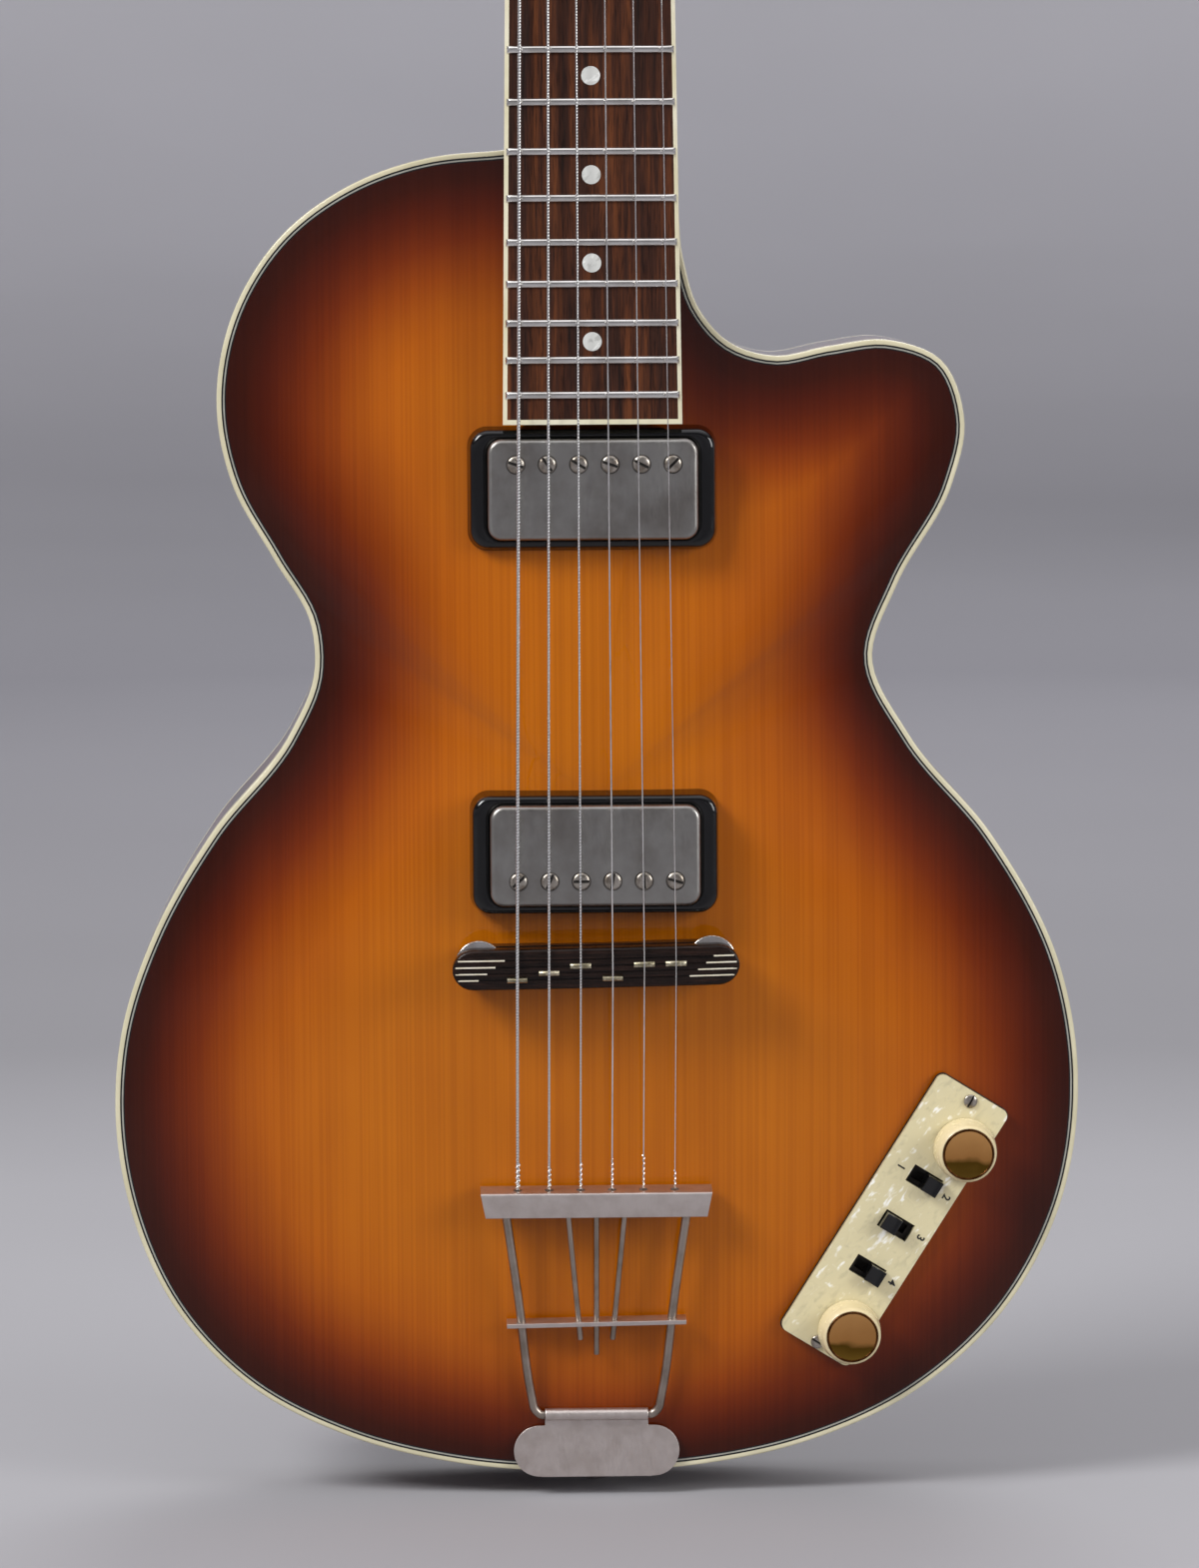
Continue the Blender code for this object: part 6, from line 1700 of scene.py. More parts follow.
@dataclass
class Tailpiece:
    """Trapeze tailpiece: string bar, side wires, centre rods and cross strip on a hinged anchor."""

    tilt: float = 8.7
    bar_top: float = 71.7
    bar_widths: Pair = (70.4, 67.4)
    bar_face: float = 7.8
    sheet: float = 1.4
    flange: float = 8.2
    side_wire: float = 2.7
    side_top: float = 28.4
    side_bottom: float = 19.2
    rod: float = 1.7
    rod_top: float = 9.2
    rod_foot: float = 4.9
    rod_ends: Triple = (24.4, 19.6, 24.4)
    strip: Triple = (54.8, 1.4, 5.6)
    strip_lift: float = 29.8
    strip_droop: float = 0.9
    barrel: Pair = (31.6, 3.8)
    pin: float = 1.8
    anchor: Triple = (50.8, 15.8, 1.0)
    tab: Pair = (34.0, 33.0)
    ball_lift: float = 68.7
    # Where the strings run in the bar, under the wires' plane
    string_depth: float = -0.85

    def spot(self) -> Matrix:
        """The hinged frame: own Y up along the wires, own Z out of the front."""
        hinge, _ = joint("tailpiece_hinge")
        return turn_x(90.0 + self.tilt, 0.0, hinge.y, hinge.z)

    def string_spot(self, index: int, up: float) -> Vector:
        """A string's place in the hinged frame."""
        return Vector((LINE.string_x(index, 0.0), up, self.string_depth))

    def bar(self) -> Shape:
        """The bent sheet that the strings hook into, with its six holes.

        Returns:
            The closed mesh.
        """
        out = self.side_wire / 2 + self.sheet
        top, foot = self.bar_widths[0] / 2, self.bar_widths[1] / 2
        face, inside = self.bar_top - self.bar_face, self.bar_top - self.sheet
        corners = [(self.bar_top, out - self.flange), (self.bar_top, out), (face, out), (face, out - self.sheet),
                   (inside, out - self.sheet), (inside, out - self.flange)]
        section = rounded(corners, (0.2, 0.9, 0.25, 0.25, 0.3, 0.2))
        rings = [[(side.value * (foot + (top - foot) * (1 - (self.bar_top - y) / self.bar_face)), y, z)
                  for y, z in section] for side in Side]
        holes = [moved(peg(1.35, 0.0, 6.0, 16), shift(*self.string_spot(index, self.bar_top + 2.0))
                       @ turn_about("X", 90.0)) for index in STRINGS]
        return cut(loft(rings), holes)

    def wires(self) -> Shape:
        """Side wires bent into the barrel, the three rods and the hinge pin.

        Returns:
            All wires in one shape.
        """
        parts = []
        top, low = self.bar_top - self.sheet / 2, self.side_bottom
        inner = self.barrel[0] / 2 + GAP
        for side in Side:
            path = [(self.side_top, top, 0.45), ((self.side_top + low) / 2, (top + 4.0) / 2, 0.2),
                    (low + 0.5, 5.0, 0.0), (low - 0.1, 2.2, 0.0), (low - 1.4, 0.5, 0.0), (inner + 0.8, 0.0, 0.0),
                    (inner, 0.0, 0.0)]
            curve = spline([(side.value * x, y, z) for x, y, z in path], 6, False)
            parts.append(swept(curve, self.side_wire / 2, 20))
        radius = self.rod / 2
        depth = self.side_wire / 2 - radius + 0.45
        for side, end in zip((-1.0, 0.0, 1.0), self.rod_ends):
            start, stop = Vector((side * self.rod_top, top, depth)), Vector((side * self.rod_foot, end, depth))
            way = (stop - start).normalized()
            path = [start, stop - way * 0.4, stop - way * 0.1, stop]
            parts.append(swept(path, [radius, radius, radius * 0.9, radius * 0.6], 16))
        half = inner + self.side_wire / 2
        return joined(parts + [swept([(-half, 0.0, 0.0), (half, 0.0, 0.0)], self.pin / 2, 16)])

    def anchor_plate(self) -> Shape:
        """The face plate with its rolled barrel, and the foot bent under the body.

        Returns:
            Plate, foot and barrel in one shape.
        """
        low = edges_of("tailpiece_anchor")[0].z
        hinge, _ = joint("tailpiece_hinge")
        length, height, sheet = self.anchor
        half, radius = length / 2 - height / 2, height / 2
        middle = low + 0.2 + radius
        end = [(half + radius * x, radius * y) for x, y in arc(pi / 2, 24, -pi / 2)]
        neck = self.barrel[0] / 2
        face = [(x, middle + y) for x, y in end]
        face += [(neck, middle + radius), (neck, hinge.z), (-neck, hinge.z), (-neck, middle + radius)]
        face += [(-x, middle - y) for x, y in end]
        front = hinge.y + self.barrel[1] / 2
        plate = moved(slab(face, -front, sheet - front), turn_x(90.0))
        wide, reach = self.tab[0] / 2, self.tab[1]
        outline = [(wide, front - 0.7), (wide - 4.0, front + reach), (4.0 - wide, front + reach), (-wide, front - 0.7)]
        outer, bore = self.barrel[1] / 2, self.pin / 2 + 0.25
        section = rounded([(bore, -neck), (outer, -neck), (outer, neck), (bore, neck)], (0.1, 0.35, 0.35, 0.1))
        tube = moved(turned(section, 32, True), shift(0.0, hinge.y, hinge.z) @ turn_about("Y", 90.0))
        return joined([plate, slab(outline, low, low + sheet), tube])

    def build(self) -> None:
        """Make the tailpiece."""
        spot, body = self.spot(), "tailpiece_frame"
        place_piece("string_bar", self.bar(), NICKEL_SATIN, spot, body, [body])
        place_piece("trapeze_wires", self.wires(), NICKEL_WIRE, spot, body)
        out = self.side_wire / 2 + self.sheet
        lean = shift(0.0, self.strip_lift, out - self.strip[2] / 2) @ turn_about("Z", self.strip_droop)
        place_piece("cross_strip", box(self.strip), NICKEL_SATIN, spot @ lean, body, soft=0.2)
        place_piece("hinge_anchor", self.anchor_plate(), NICKEL_SATIN, nodes=["tailpiece_anchor"], soft=0.15)


def mark_height(mesh: Mesh) -> None:
    """Write each point's share of the mesh's height, 0 at its foot and 1 at its top."""
    note(mesh, "cap_height", lambda places: (places[:, 2] - places[:, 2].min()) / np.ptp(places[:, 2]))


@dataclass
class ControlPanel:
    """Pearl plate with two knobs and three slide switches."""

    length: float = 93.2
    width: float = 25.8
    corner: float = 2.4
    thickness: float = 2.4
    # Bottom, top and inset of the layers
    pearl_layer: Triple = (0.9, 2.4, 0.25)
    black_layer: Triple = (0.0, 0.88, 0.0)
    knob_ups: Pair = (30.0, -36.2)
    knob_side: float = 6.3
    knob: float = 19.2
    knob_height: float = 9.0
    knob_hole: float = 3.6
    stem: Pair = (3.0, -9.6)
    cap: float = 15.8
    dish: float = 0.4
    switch_middle: float = -1.1
    switch_pitch: float = 16.3
    switch_side: float = 1.2
    window: Pair = (10.3, 5.8)
    slider: Pair = (5.2, 4.2)
    screws: Pair = (43.4, -44.2)
    throws: tuple[Throw, ...] = (Throw.RIGHT, Throw.LEFT, Throw.RIGHT)
    number_height: float = 2.4
    # Plain numbers: which switch each stands by, how far across and how far from the switch's middle
    numbers: tuple[tuple[int, float, float], ...] = ((0, -7.4, 0.0), (0, 9.7, -1.0), (1, 9.7, 0.6), (2, 9.7, 0.6))

    def spot(self) -> Matrix:
        """The plate's frame: own Y up its length, own Z out of it.

        Returns:
            The frame.
        """
        knob, out = joint("knob_upper_turn")
        _, across = joint("switch_slider_1_throw")
        up = out.cross(across)
        matrix = Matrix((across, up, out)).transposed().to_4x4()
        return adjusted(matrix, translation=knob - across * self.knob_side - up * self.knob_ups[0])

    def switch_ups(self) -> list[float]:
        """Height of each switch along the plate."""
        return [self.switch_middle + self.switch_pitch * way for way in (1.0, 0.0, -1.0)]

    def room(self) -> Shape:
        """What is cut out of the front under the plate."""
        high, low = self.knob_ups
        return moved(box((24.0, high - low + 11.6, 60.0), (0.0, (high + low) / 2, 0.0)), self.spot())

    def plate(self, low: float, high: float, inward: float) -> Shape:
        """One layer of the plate with the holes through it.

        Args:
            low: Height of its underside.
            high: Height of its face.
            inward: How far its edge stays inside the outline.

        Returns:
            The closed mesh.
        """
        outline = rectangle(self.width - 2 * inward, self.length - 2 * inward, self.corner)
        tools = [box((*self.window, 8.0), (self.switch_side, up, 0.0)) for up in self.switch_ups()]
        tools += [moved(peg(self.knob_hole, -4.0, 4.0), shift(self.knob_side, up)) for up in self.knob_ups]
        return cut(slab(outline, low, high), tools)

    def knob_parts(self) -> list[tuple[str, Shape, Finish]]:
        """A knob's skirt, its mirror cap and the cap's rim.

        Returns:
            Each part's name, shape and finish.
        """
        low = self.thickness + GAP
        tall = low + self.knob_height
        outer, cap = self.knob / 2, self.cap / 2
        stem, deep = self.stem
        corners = [(0.0, deep), (stem, deep), (stem, low), (outer, low), (outer, low + 1.6), (cap + 0.9, tall - 1.0),
                   (cap + 0.1, tall - 0.35), (cap - 0.5, tall - 1.1), (0.0, tall - 1.1)]
        skirt = turned(rounded(corners, (0.0, 0.0, 0.0, 0.3, 0.7, 0.9, 0.3, 0.0, 0.0)), 96)
        inner, crest = cap - 0.7, tall - 0.2
        corners = [(inner, tall - 0.75), (cap, tall - 0.75), (cap, tall - 0.1), (inner, tall - 0.1)]
        rim = turned(rounded(corners, (0.0, 0.0, 0.25, 0.2)), 96, True)
        disc = [(radius * inner, crest - self.dish * (1 - radius ** 2)) for radius in (1.0, 0.8, 0.6, 0.4, 0.2, 0.0)]
        face = turned([(0.0, tall - 1.1), (inner, tall - 1.1), *disc], 96)
        return [("skirt", skirt, CREAM_KNOB), ("cap_rim", rim, GOLD_RIM), ("cap", face, GOLD)]

    def slider_block(self) -> Shape:
        """A slider's grip, hollowed across its top, with its stem.

        Returns:
            The closed mesh.
        """
        long, proud = self.slider
        wide = self.window[1] / 2 - GAP
        top = self.thickness + proud
        rings = []
        for share in (-1.0, -0.86, -0.5, 0.0, 0.5, 0.86, 1.0):
            edge = top - 0.7 * (1 - share * share) - (0.35 if abs(share) == 1.0 else 0.0)
            section = rounded([(-wide, 0.0), (wide, 0.0), (wide, edge), (-wide, edge)], (0.0, 0.0, 0.4, 0.4))
            rings.append([(share * long / 2, y, z) for y, z in section])
        return joined([loft(rings), box((2.3, 2.3, 3.4), (0.0, 0.0, -1.2))])

    def print_numbers(self) -> None:
        """Plain numbers beside the switches."""
        for number, (switch, x, away) in enumerate(self.numbers, 1):
            curve = adjusted(bpy.data.curves.new("number", "FONT"), body=str(number), size=self.number_height / 0.7,
                             align_x="CENTER", align_y="CENTER", extrude=0.02, offset=0.09)
            spot = self.spot() @ shift(x, self.switch_ups()[switch] + away, self.thickness + 0.02)
            place_piece(f"printed_mark_{number}", taken_up(settled(shown("number", curve)), HERE), INK,
                        spot @ turn_about("Z", -90.0))

    def build(self) -> None:
        """Make the panel, its knobs, sliders, screws and numbers."""
        spot = self.spot()
        place_piece("panel_pearl_layer", self.plate(*self.pearl_layer), PEARL, spot, nodes=["control_plate"], soft=0.2)
        place_piece("panel_black_layer", self.plate(*self.black_layer), BLACK_SATIN, spot, soft=0.1)
        for name, up in zip(("knob_upper", "knob_lower"), self.knob_ups):
            for label, shape, finish in self.knob_parts():
                place_piece(f"{name}_{label}", shape, finish, spot @ shift(self.knob_side, up), name,
                            [name] if label == "skirt" else [], mark=mark_height if finish is GOLD else None)
        travel = self.window[0] - self.slider[0] - 2 * GAP
        for index, (up, throw) in enumerate(zip(self.switch_ups(), self.throws)):
            name = f"switch_slider_{index + 1}"
            place = spot @ shift(self.switch_side + throw.value * travel / 2, up)
            place_piece(f"{name}_grip", self.slider_block(), BLACK_GLOSS, place, name, [name], soft=0.15)
        spots = [(0.0, up, self.thickness + 0.1) for up in self.screws]
        scattered("panel_screws", slotted_screw(4.2, 0.9, 0.6), spots, POLE_NICKEL, spot, pi, 5)
        # A thin dark bar down each screw's slot: painted shade for the slot's shadow
        scattered("panel_slot_grime", box((3.8, 0.6, 0.1), (0.0, 0.0, 0.36)), spots, SLOT_SHADE_PAINT, spot, pi, 5)
        self.print_numbers()


@dataclass
class NeckWood:
    """Neck with its heel and headstock, the face veneer and the truss rod cover."""

    depth_heel: float = 18.0
    depth_nut: float = 14.0
    heel_run: float = 46.0
    heel_back: float = 24.4
    # The heel's swell: share of its run and share of its depth
    heel_stops: tuple[Pair, ...] = ((0.0, 1.0), (0.304, 1.0), (0.45, 0.72), (0.62, 0.4), (0.8, 0.14), (1.0, 0.0))
    # The throat under the nut: distance from the nut, half width, and 1 for round to 0 for square
    throat: tuple[Triple, ...] = ((5.0, 22.6, 0.55), (12.0, 26.0, 0.42), (20.0, 31.0, 0.3), (27.0, 33.6, 0.2))
    tongue: float = 44.0
    tongue_reach: float = 396.0
    head_width: float = 76.0
    head_length: float = 166.0
    head_thickness: float = 13.0
    face_thickness: float = 1.5
    cover: Triple = (30.0, 20.0, 1.5)
    tuner_first: float = 40.0
    tuner_pitch: float = 38.0
    tuner_inset: float = 13.0
    post_hole: float = 3.4
    ferrule_hole: float = 4.7
    ferrule: Triple = (10.6, 9.2, 6.7)
    steps: int = 24

    @property
    def head_back(self) -> float:
        """Height of the headstock's back in its own frame."""
        return -self.face_thickness - GAP - self.head_thickness

    def head_outline(self) -> list[Pair]:
        """The headstock's outline, drawn smooth.

        Returns:
            Points from its treble side round to its bass side.
        """
        half, start, long = self.head_width / 2, LINE.nut_width / 2, self.head_length
        side = [(start, -6.0), (start + 0.4, 4.0), (start + 5.5, 14.0), (half - 4.5, 26.0), (half - 3.0, 60.0),
                (half - 1.0, 100.0), (half, long - 26.0), (half - 3.0, long - 13.0), (half - 12.0, long - 6.0),
                (half - 24.0, long - 3.5), (6.0, long)]
        whole = side + [(-x, y) for x, y in reversed(side)]
        return [(min(max(p.x, -half), half), min(p.y, long)) for p in spline(whole, 6, False)]

    def posts(self) -> list[tuple[float, float, Side]]:
        """Each tuner post in the headstock's frame, bass string first.

        Returns:
            Across, up and side of each.
        """
        places = []
        for side, order in ((Side.BASS, (0, 1, 2)), (Side.TREBLE, (2, 1, 0))):
            x = side.value * (self.head_width / 2 - self.tuner_inset)
            places += [(x, self.tuner_first + self.tuner_pitch * number, side) for number in order]
        return places

    def drills(self, radius: float, low: float, steps: int) -> list[Shape]:
        """Holes for the six posts, open to the face."""
        return [moved(peg(radius, low, 3.0, steps), shift(x, y)) for x, y, _ in self.posts()]

    def underside(self, z: float) -> float:
        """Y of the flat face under the board."""
        along = (z - LINE.scale_end) / cos(radians(LINE.angle))
        return (LINE.neck() @ Vector((0.0, along, -LINE.board_thickness - SEAT))).y

    def bulge(self, boxy: float) -> list[Pair]:
        """Across and out over a half turn, from 1 for round towards 0 for square."""
        return [(abs(x) ** boxy * (1.0 if step < 16 else -1.0), max(y, 0.0) ** boxy)
                for step, (x, y) in enumerate(arc(pi, 32))]

    def section(self, z: float, back: float, boxy: float = 1.0) -> list[Triple]:
        """A level section: flat under the board, round behind.

        Args:
            z: Its height.
            back: How far out it reaches.
            boxy: 1 for round towards 0 for square.

        Returns:
            The ring of points.
        """
        half = LINE.width((z - LINE.scale_end) / cos(radians(LINE.angle))) / 2
        flat = self.underside(z)
        return [(half * across, flat + (back - flat) * out, z) for across, out in self.bulge(boxy)]

    def shaft(self) -> Shape:
        """The neck from the heel's foot to the headstock.

        Returns:
            The closed mesh.
        """
        start = edges_of("rim")[1].z + GAP
        heel_end = start + self.heel_run
        nut_z = (LINE.neck() @ Vector((0.0, LINE.board_top + 4.5, 0.0))).z
        rings = []
        for point in spline(self.heel_stops, 5, False):
            z = start + self.heel_run * point.x
            flat = self.underside(z) + self.depth_heel
            rings.append(self.section(z, flat + (self.heel_back - flat) * min(max(point.y, 0.0), 1.0)))
        for step in range(1, self.steps + 1):
            share = step / self.steps
            z = heel_end + (nut_z - heel_end) * share
            depth = self.depth_heel + (self.depth_nut - self.depth_heel) * share
            boxy = 1.0 - 0.35 * max(0.0, (share - 0.88) / 0.12) ** 1.5
            rings.append(self.section(z, self.underside(z) + depth, boxy))
        top = -self.face_thickness - SEAT
        for along, half, boxy in self.throat:
            rings.append([LINE.head() @ Vector((half * across, along, top + (self.head_back - top) * out))
                          for across, out in self.bulge(boxy)])
        return loft(rings)

    def tongue_block(self, shell: Shell) -> Shape:
        """The raised tongue between the board's end and the front.

        Args:
            shell: The body that it stands on.

        Returns:
            The closed mesh.
        """
        start = (LINE.neck() @ Vector((0.0, LINE.board_end + GAP, 0.0))).z
        stop = edges_of("rim")[1].z + 3.0
        across = [self.tongue / 2 * part / 4 for part in range(-4, 5)]
        rings = []
        for step in range(self.steps + 1):
            z = start + (stop - start) * step / self.steps
            lower = [(x, shell.seat(x, min(z, self.tongue_reach)), z) for x in across]
            rings.append(lower + [(across[-1], self.underside(z), z), (across[0], self.underside(z), z)])
        return loft(rings)

    def rod_cover(self) -> Shape:
        """The bell-shaped cover over the truss rod's nut.

        Returns:
            The closed mesh.
        """
        long, wide, thick = self.cover
        bell = [(wide / 2, 1.0), (wide / 2 - 1.0, 0.55 * long), (wide / 4, 0.9 * long), (0.0, long)]
        bell = spline(bell + [(-x, y) for x, y in reversed(bell[:-1])], 8, False)
        return slab([tuple(point) for point in bell], SEAT, SEAT + thick)

    def build(self, shell: Shell) -> None:
        """Make the neck's pieces.

        Args:
            shell: The body that it stands on.
        """
        head = LINE.head()
        outline = self.head_outline()
        blank = slab([(x, y) for x, y in outline if y > 24.0], self.head_back, -self.face_thickness - SEAT)
        wood = cut(blank, self.drills(self.post_hole, self.head_back - 3.0, 24))
        place_piece("neck_shaft", self.shaft(), NECK_MAPLE, nodes=["neck"], angle=50.0)
        place_piece("neck_tongue", self.tongue_block(shell), NECK_MAPLE)
        place_piece("headstock_wood", wood, NECK_MAPLE, head, soft=1.2)
        blank = slab([(x, max(y, GAP)) for x, y in outline if y > -2.0], -self.face_thickness, 0.0)
        veneer = cut(blank, self.drills(self.ferrule_hole, -3.0, 32))
        place_piece("headstock_veneer", veneer, VENEER, head, nodes=["headstock_face"], soft=0.4)
        lip, outer, bore = (size / 2 for size in self.ferrule)
        profile = rounded([(bore, -1.4), (outer, -1.4), (outer, SEAT), (lip, SEAT), (lip, 0.5), (bore + 0.3, 1.1),
                           (bore, 0.9)], (0.0, 0.0, 0.0, 0.0, 0.2, 0.3, 0.1))
        spots = [(x, y, 0.0) for x, y, _ in self.posts()]
        scattered("tuner_ferrules", turned(profile, 40, True), spots, NICKEL_BRIGHT, head)
        place_piece("rod_cover", self.rod_cover(), BLACK_GLOSS, head, nodes=["truss_rod_cover"], soft=0.4)
        up = SEAT + self.cover[2]
        spots = [(-6.5, 4.5, up), (6.5, 4.5, up), (0.0, self.cover[0] - 4.0, up)]
        scattered("rod_cover_screws", slotted_screw(3.2, 0.7, 0.5), spots, NICKEL_BRIGHT, head, pi, 2)


@dataclass
class Tuners:
    """Six open-geared tuners on two strip plates."""

    wood: NeckWood
    post: float = 6.0
    post_height: float = 12.0
    waist: float = 0.35
    gear: float = 10.0
    gear_thickness: float = 4.0
    root: float = 0.86
    worm: float = 4.0
    worm_length: float = 7.0
    worm_turns: int = 6
    shaft: float = 3.0
    teeth: int = 14
    button: Triple = (15.0, 18.0, 7.5)
    # The button's swell: share of its length and of its width
    swell: tuple[Pair, ...] = ((0.03, 0.42), (0.1, 0.62), (0.2, 0.8), (0.35, 0.95), (0.5, 1.0), (0.65, 0.99),
                               (0.8, 0.86), (0.9, 0.66), (0.97, 0.38))
    plate_thickness: float = 1.2
    screw_places: tuple[float, ...] = (-0.2, 0.55, 1.55, 2.3)

    @property
    def back(self) -> float:
        """Height of the plates' outer face in the headstock's frame."""
        return self.wood.head_back - GAP - self.plate_thickness

    def post_shape(self) -> Shape:
        """A post, slim in its middle where the string winds, with its cogwheel.

        Returns:
            Post and cogwheel in one shape.
        """
        top, radius = self.post_height, self.post / 2
        slim = radius - self.waist
        gear_top = self.back - GAP
        low = gear_top - self.gear_thickness
        foot = low - 0.8
        profile = [(0.0, top), (radius, top), (radius, 7.4), (slim, 6.0), (slim, 4.0), (radius, 2.6), (radius, foot),
                   (0.0, foot)]
        stem = turned(rounded(profile, (0.0, 0.6, 0.2, 0.2, 0.2, 0.2, 0.4, 0.0)), 32)
        outline = []
        for tooth in range(self.teeth):
            for part, reach in ((0.0, self.root), (0.2, self.root), (0.35, 1.0), (0.65, 1.0), (0.8, self.root)):
                angle = 2 * pi * (tooth + part) / self.teeth
                outline.append((self.gear / 2 * reach * cos(angle), self.gear / 2 * reach * sin(angle)))
        slot = box((1.0, 8.0, 3.0), (0.0, 0.0, top - 0.9))
        return joined([cut(stem, [slot]), slab(outline, low, gear_top)])

    def worm_shape(self, reach: float) -> Shape:
        """A worm shaft along Z, which ends in the button.

        Args:
            reach: How far the shaft runs.

        Returns:
            The closed mesh.
        """
        worm, shaft, half = self.worm / 2, self.shaft / 2, self.worm_length / 2
        end = half + 2 * GAP + 1.4
        crests = 2 * self.worm_turns
        turns = [(worm if step % 2 else worm - 0.5, half - self.worm_length * step / crests)
                 for step in range(crests + 1)]
        return turned([(0.0, reach), (shaft, reach), (shaft, half), *turns, (shaft, -half), (shaft, -end),
                       (0.0, -end)], 20)

    def pearl_shape(self, reach: float) -> Shape:
        """The oval button.

        Args:
            reach: How far the shaft runs.

        Returns:
            The closed mesh.
        """
        long, tall, thick = self.button
        start = reach - 1.0
        rings = []
        for share, swell in self.swell:
            wide, deep = tall / 2 * swell, thick / 2 * (0.5 + 0.5 * swell) * (1.0 if share < 0.9 else 0.8)
            rings.append([(deep * y, wide * x, start + long * share) for x, y in arc(2 * pi, 32)[:-1]])
        return loft([[(0.0, 0.0, start)], *rings, [(0.0, 0.0, start + long)]])

    def build(self) -> None:
        """Make plates, posts and buttons."""
        head, wood = LINE.head(), self.wood
        for side in Side:
            node = f"tuner_plate_{side.name.lower()}"
            place_piece(f"{node}_strip", carried(node), NICKEL_BRIGHT, nodes=[node], soft=0.2)
            x = side.value * (wood.head_width / 2 - wood.tuner_inset)
            spots = [(x, -wood.tuner_first - wood.tuner_pitch * part, -self.back) for part in self.screw_places]
            scattered(f"{node}_screws", slotted_screw(4.2, 0.9, 0.6), spots, NICKEL_BRIGHT,
                      head @ turn_about("X", 180.0), pi, 4)
        reach = wood.tuner_inset + 4.0
        for number, (x, y, side) in enumerate(wood.posts(), 1):
            post, knob = f"tuner_post_{number}", f"tuner_button_{number}"
            place_piece(f"{post}_cog", self.post_shape(), NICKEL_BRIGHT, head @ shift(x, y), post, [post])
            spot = shift(*joint(f"{knob}_turn")[0]) @ turn_about("Y", 90.0 * side.value)
            place_piece(f"{knob}_worm", self.worm_shape(reach), NICKEL_BRIGHT, spot, knob, [knob])
            place_piece(f"{knob}_pearl", self.pearl_shape(reach), TUNER_PEARL, spot, knob, angle=60.0)


@dataclass
class StringSet:
    """Six strings from the tailpiece over the saddle to their posts."""

    bridge: Bridge
    tail: Tailpiece
    wood: NeckWood
    diameters: tuple[float, ...] = (1.05, 0.82, 0.64, 0.52, 0.42, 0.32)
    names: tuple[str, ...] = ("low_e", "a", "d", "g", "b", "high_e")
    wound: int = 3
    coil_turns: float = 1.25
    coil_height: float = 6.0
    coil_steps: int = 24
    post: float = 3.0
    nut_rise: float = 1.1
    twists: tuple[float, ...] = (9.0, 8.0, 9.0, 10.0, 11.0, 6.0)
    twist_pitch: float = 1.7

    def path(self, index: int) -> list[Vector]:
        """The line of one string.

        Args:
            index: Its number, the bass string first.

        Returns:
            Its corners from the ball end to the post.
        """
        thick = self.diameters[index]
        bridge, tail = self.bridge, self.tail
        across = LINE.string_x(index, 0.0) - bridge.x
        crest = bridge.saddle_top + LINE.camber(across) / 2 - bridge.wire[2] - SEAT - thick / 2
        nut_x = LINE.string_x(index, LINE.scale)
        rise = self.nut_rise - LINE.camber(nut_x) + 0.4 + thick / 2
        neck, head = LINE.neck(), LINE.head()
        line = [tail.spot() @ tail.string_spot(index, up) for up in (tail.ball_lift, tail.bar_top + 0.2)]
        line += [bridge.spot() @ Vector((across, crest, bridge.groove_up(bridge.slots[index]))),
                 neck @ Vector((nut_x, LINE.scale, rise)), neck @ Vector((nut_x, LINE.board_top + 5.0, rise - 0.3))]
        x, y, side = self.wood.posts()[index]
        radius = self.post + GAP + thick / 2
        for step, (out, on) in enumerate(arc(2 * pi * self.coil_turns, self.coil_steps)):
            height = self.coil_height - (thick + GAP) * self.coil_turns * step / self.coil_steps
            line.append(head @ Vector((x - side.value * radius * out, y + radius * on, height)))
        return line

    def build(self) -> None:
        """Make the strings, their balls and their twisted ends."""
        for index, (name, thick, twist) in enumerate(zip(self.names, self.diameters, self.twists)):
            path = self.path(index)
            finish = WOUND if index < self.wound else STRING_STEEL
            place_piece(f"string_{name}_wire", swept(path, thick / 2, 10), finish, nodes=[f"string_{name}"], angle=60.0)
            way = (path[2] - path[1]).normalized()
            spot = shift(*path[1]) @ way.to_track_quat("Z", "Y").to_matrix().to_4x4()
            values = {"Finish": STRING_STEEL.material(), "Length": twist, "Radius": thick / 2 + 0.05,
                      "Turns": twist / self.twist_pitch, "Wire": max(0.2, thick / 3.2)}
            wrap = TWIST.grow([(0.0, 0.0, 0.0)], values)
            place_piece(f"string_{name}_twist", wrap, STRING_STEEL, spot, angle=60.0)
            profile = rounded([(0.5, -1.3), (1.9, -1.3), (1.9, 1.3), (0.5, 1.3)], (0.3, 0.6, 0.6, 0.3))
            spot = self.tail.spot() @ shift(*self.tail.string_spot(index, self.tail.ball_lift))
            place_piece(f"string_{name}_ball", turned(profile, 24, True), BRASS, spot @ turn_about("X", -90.0))


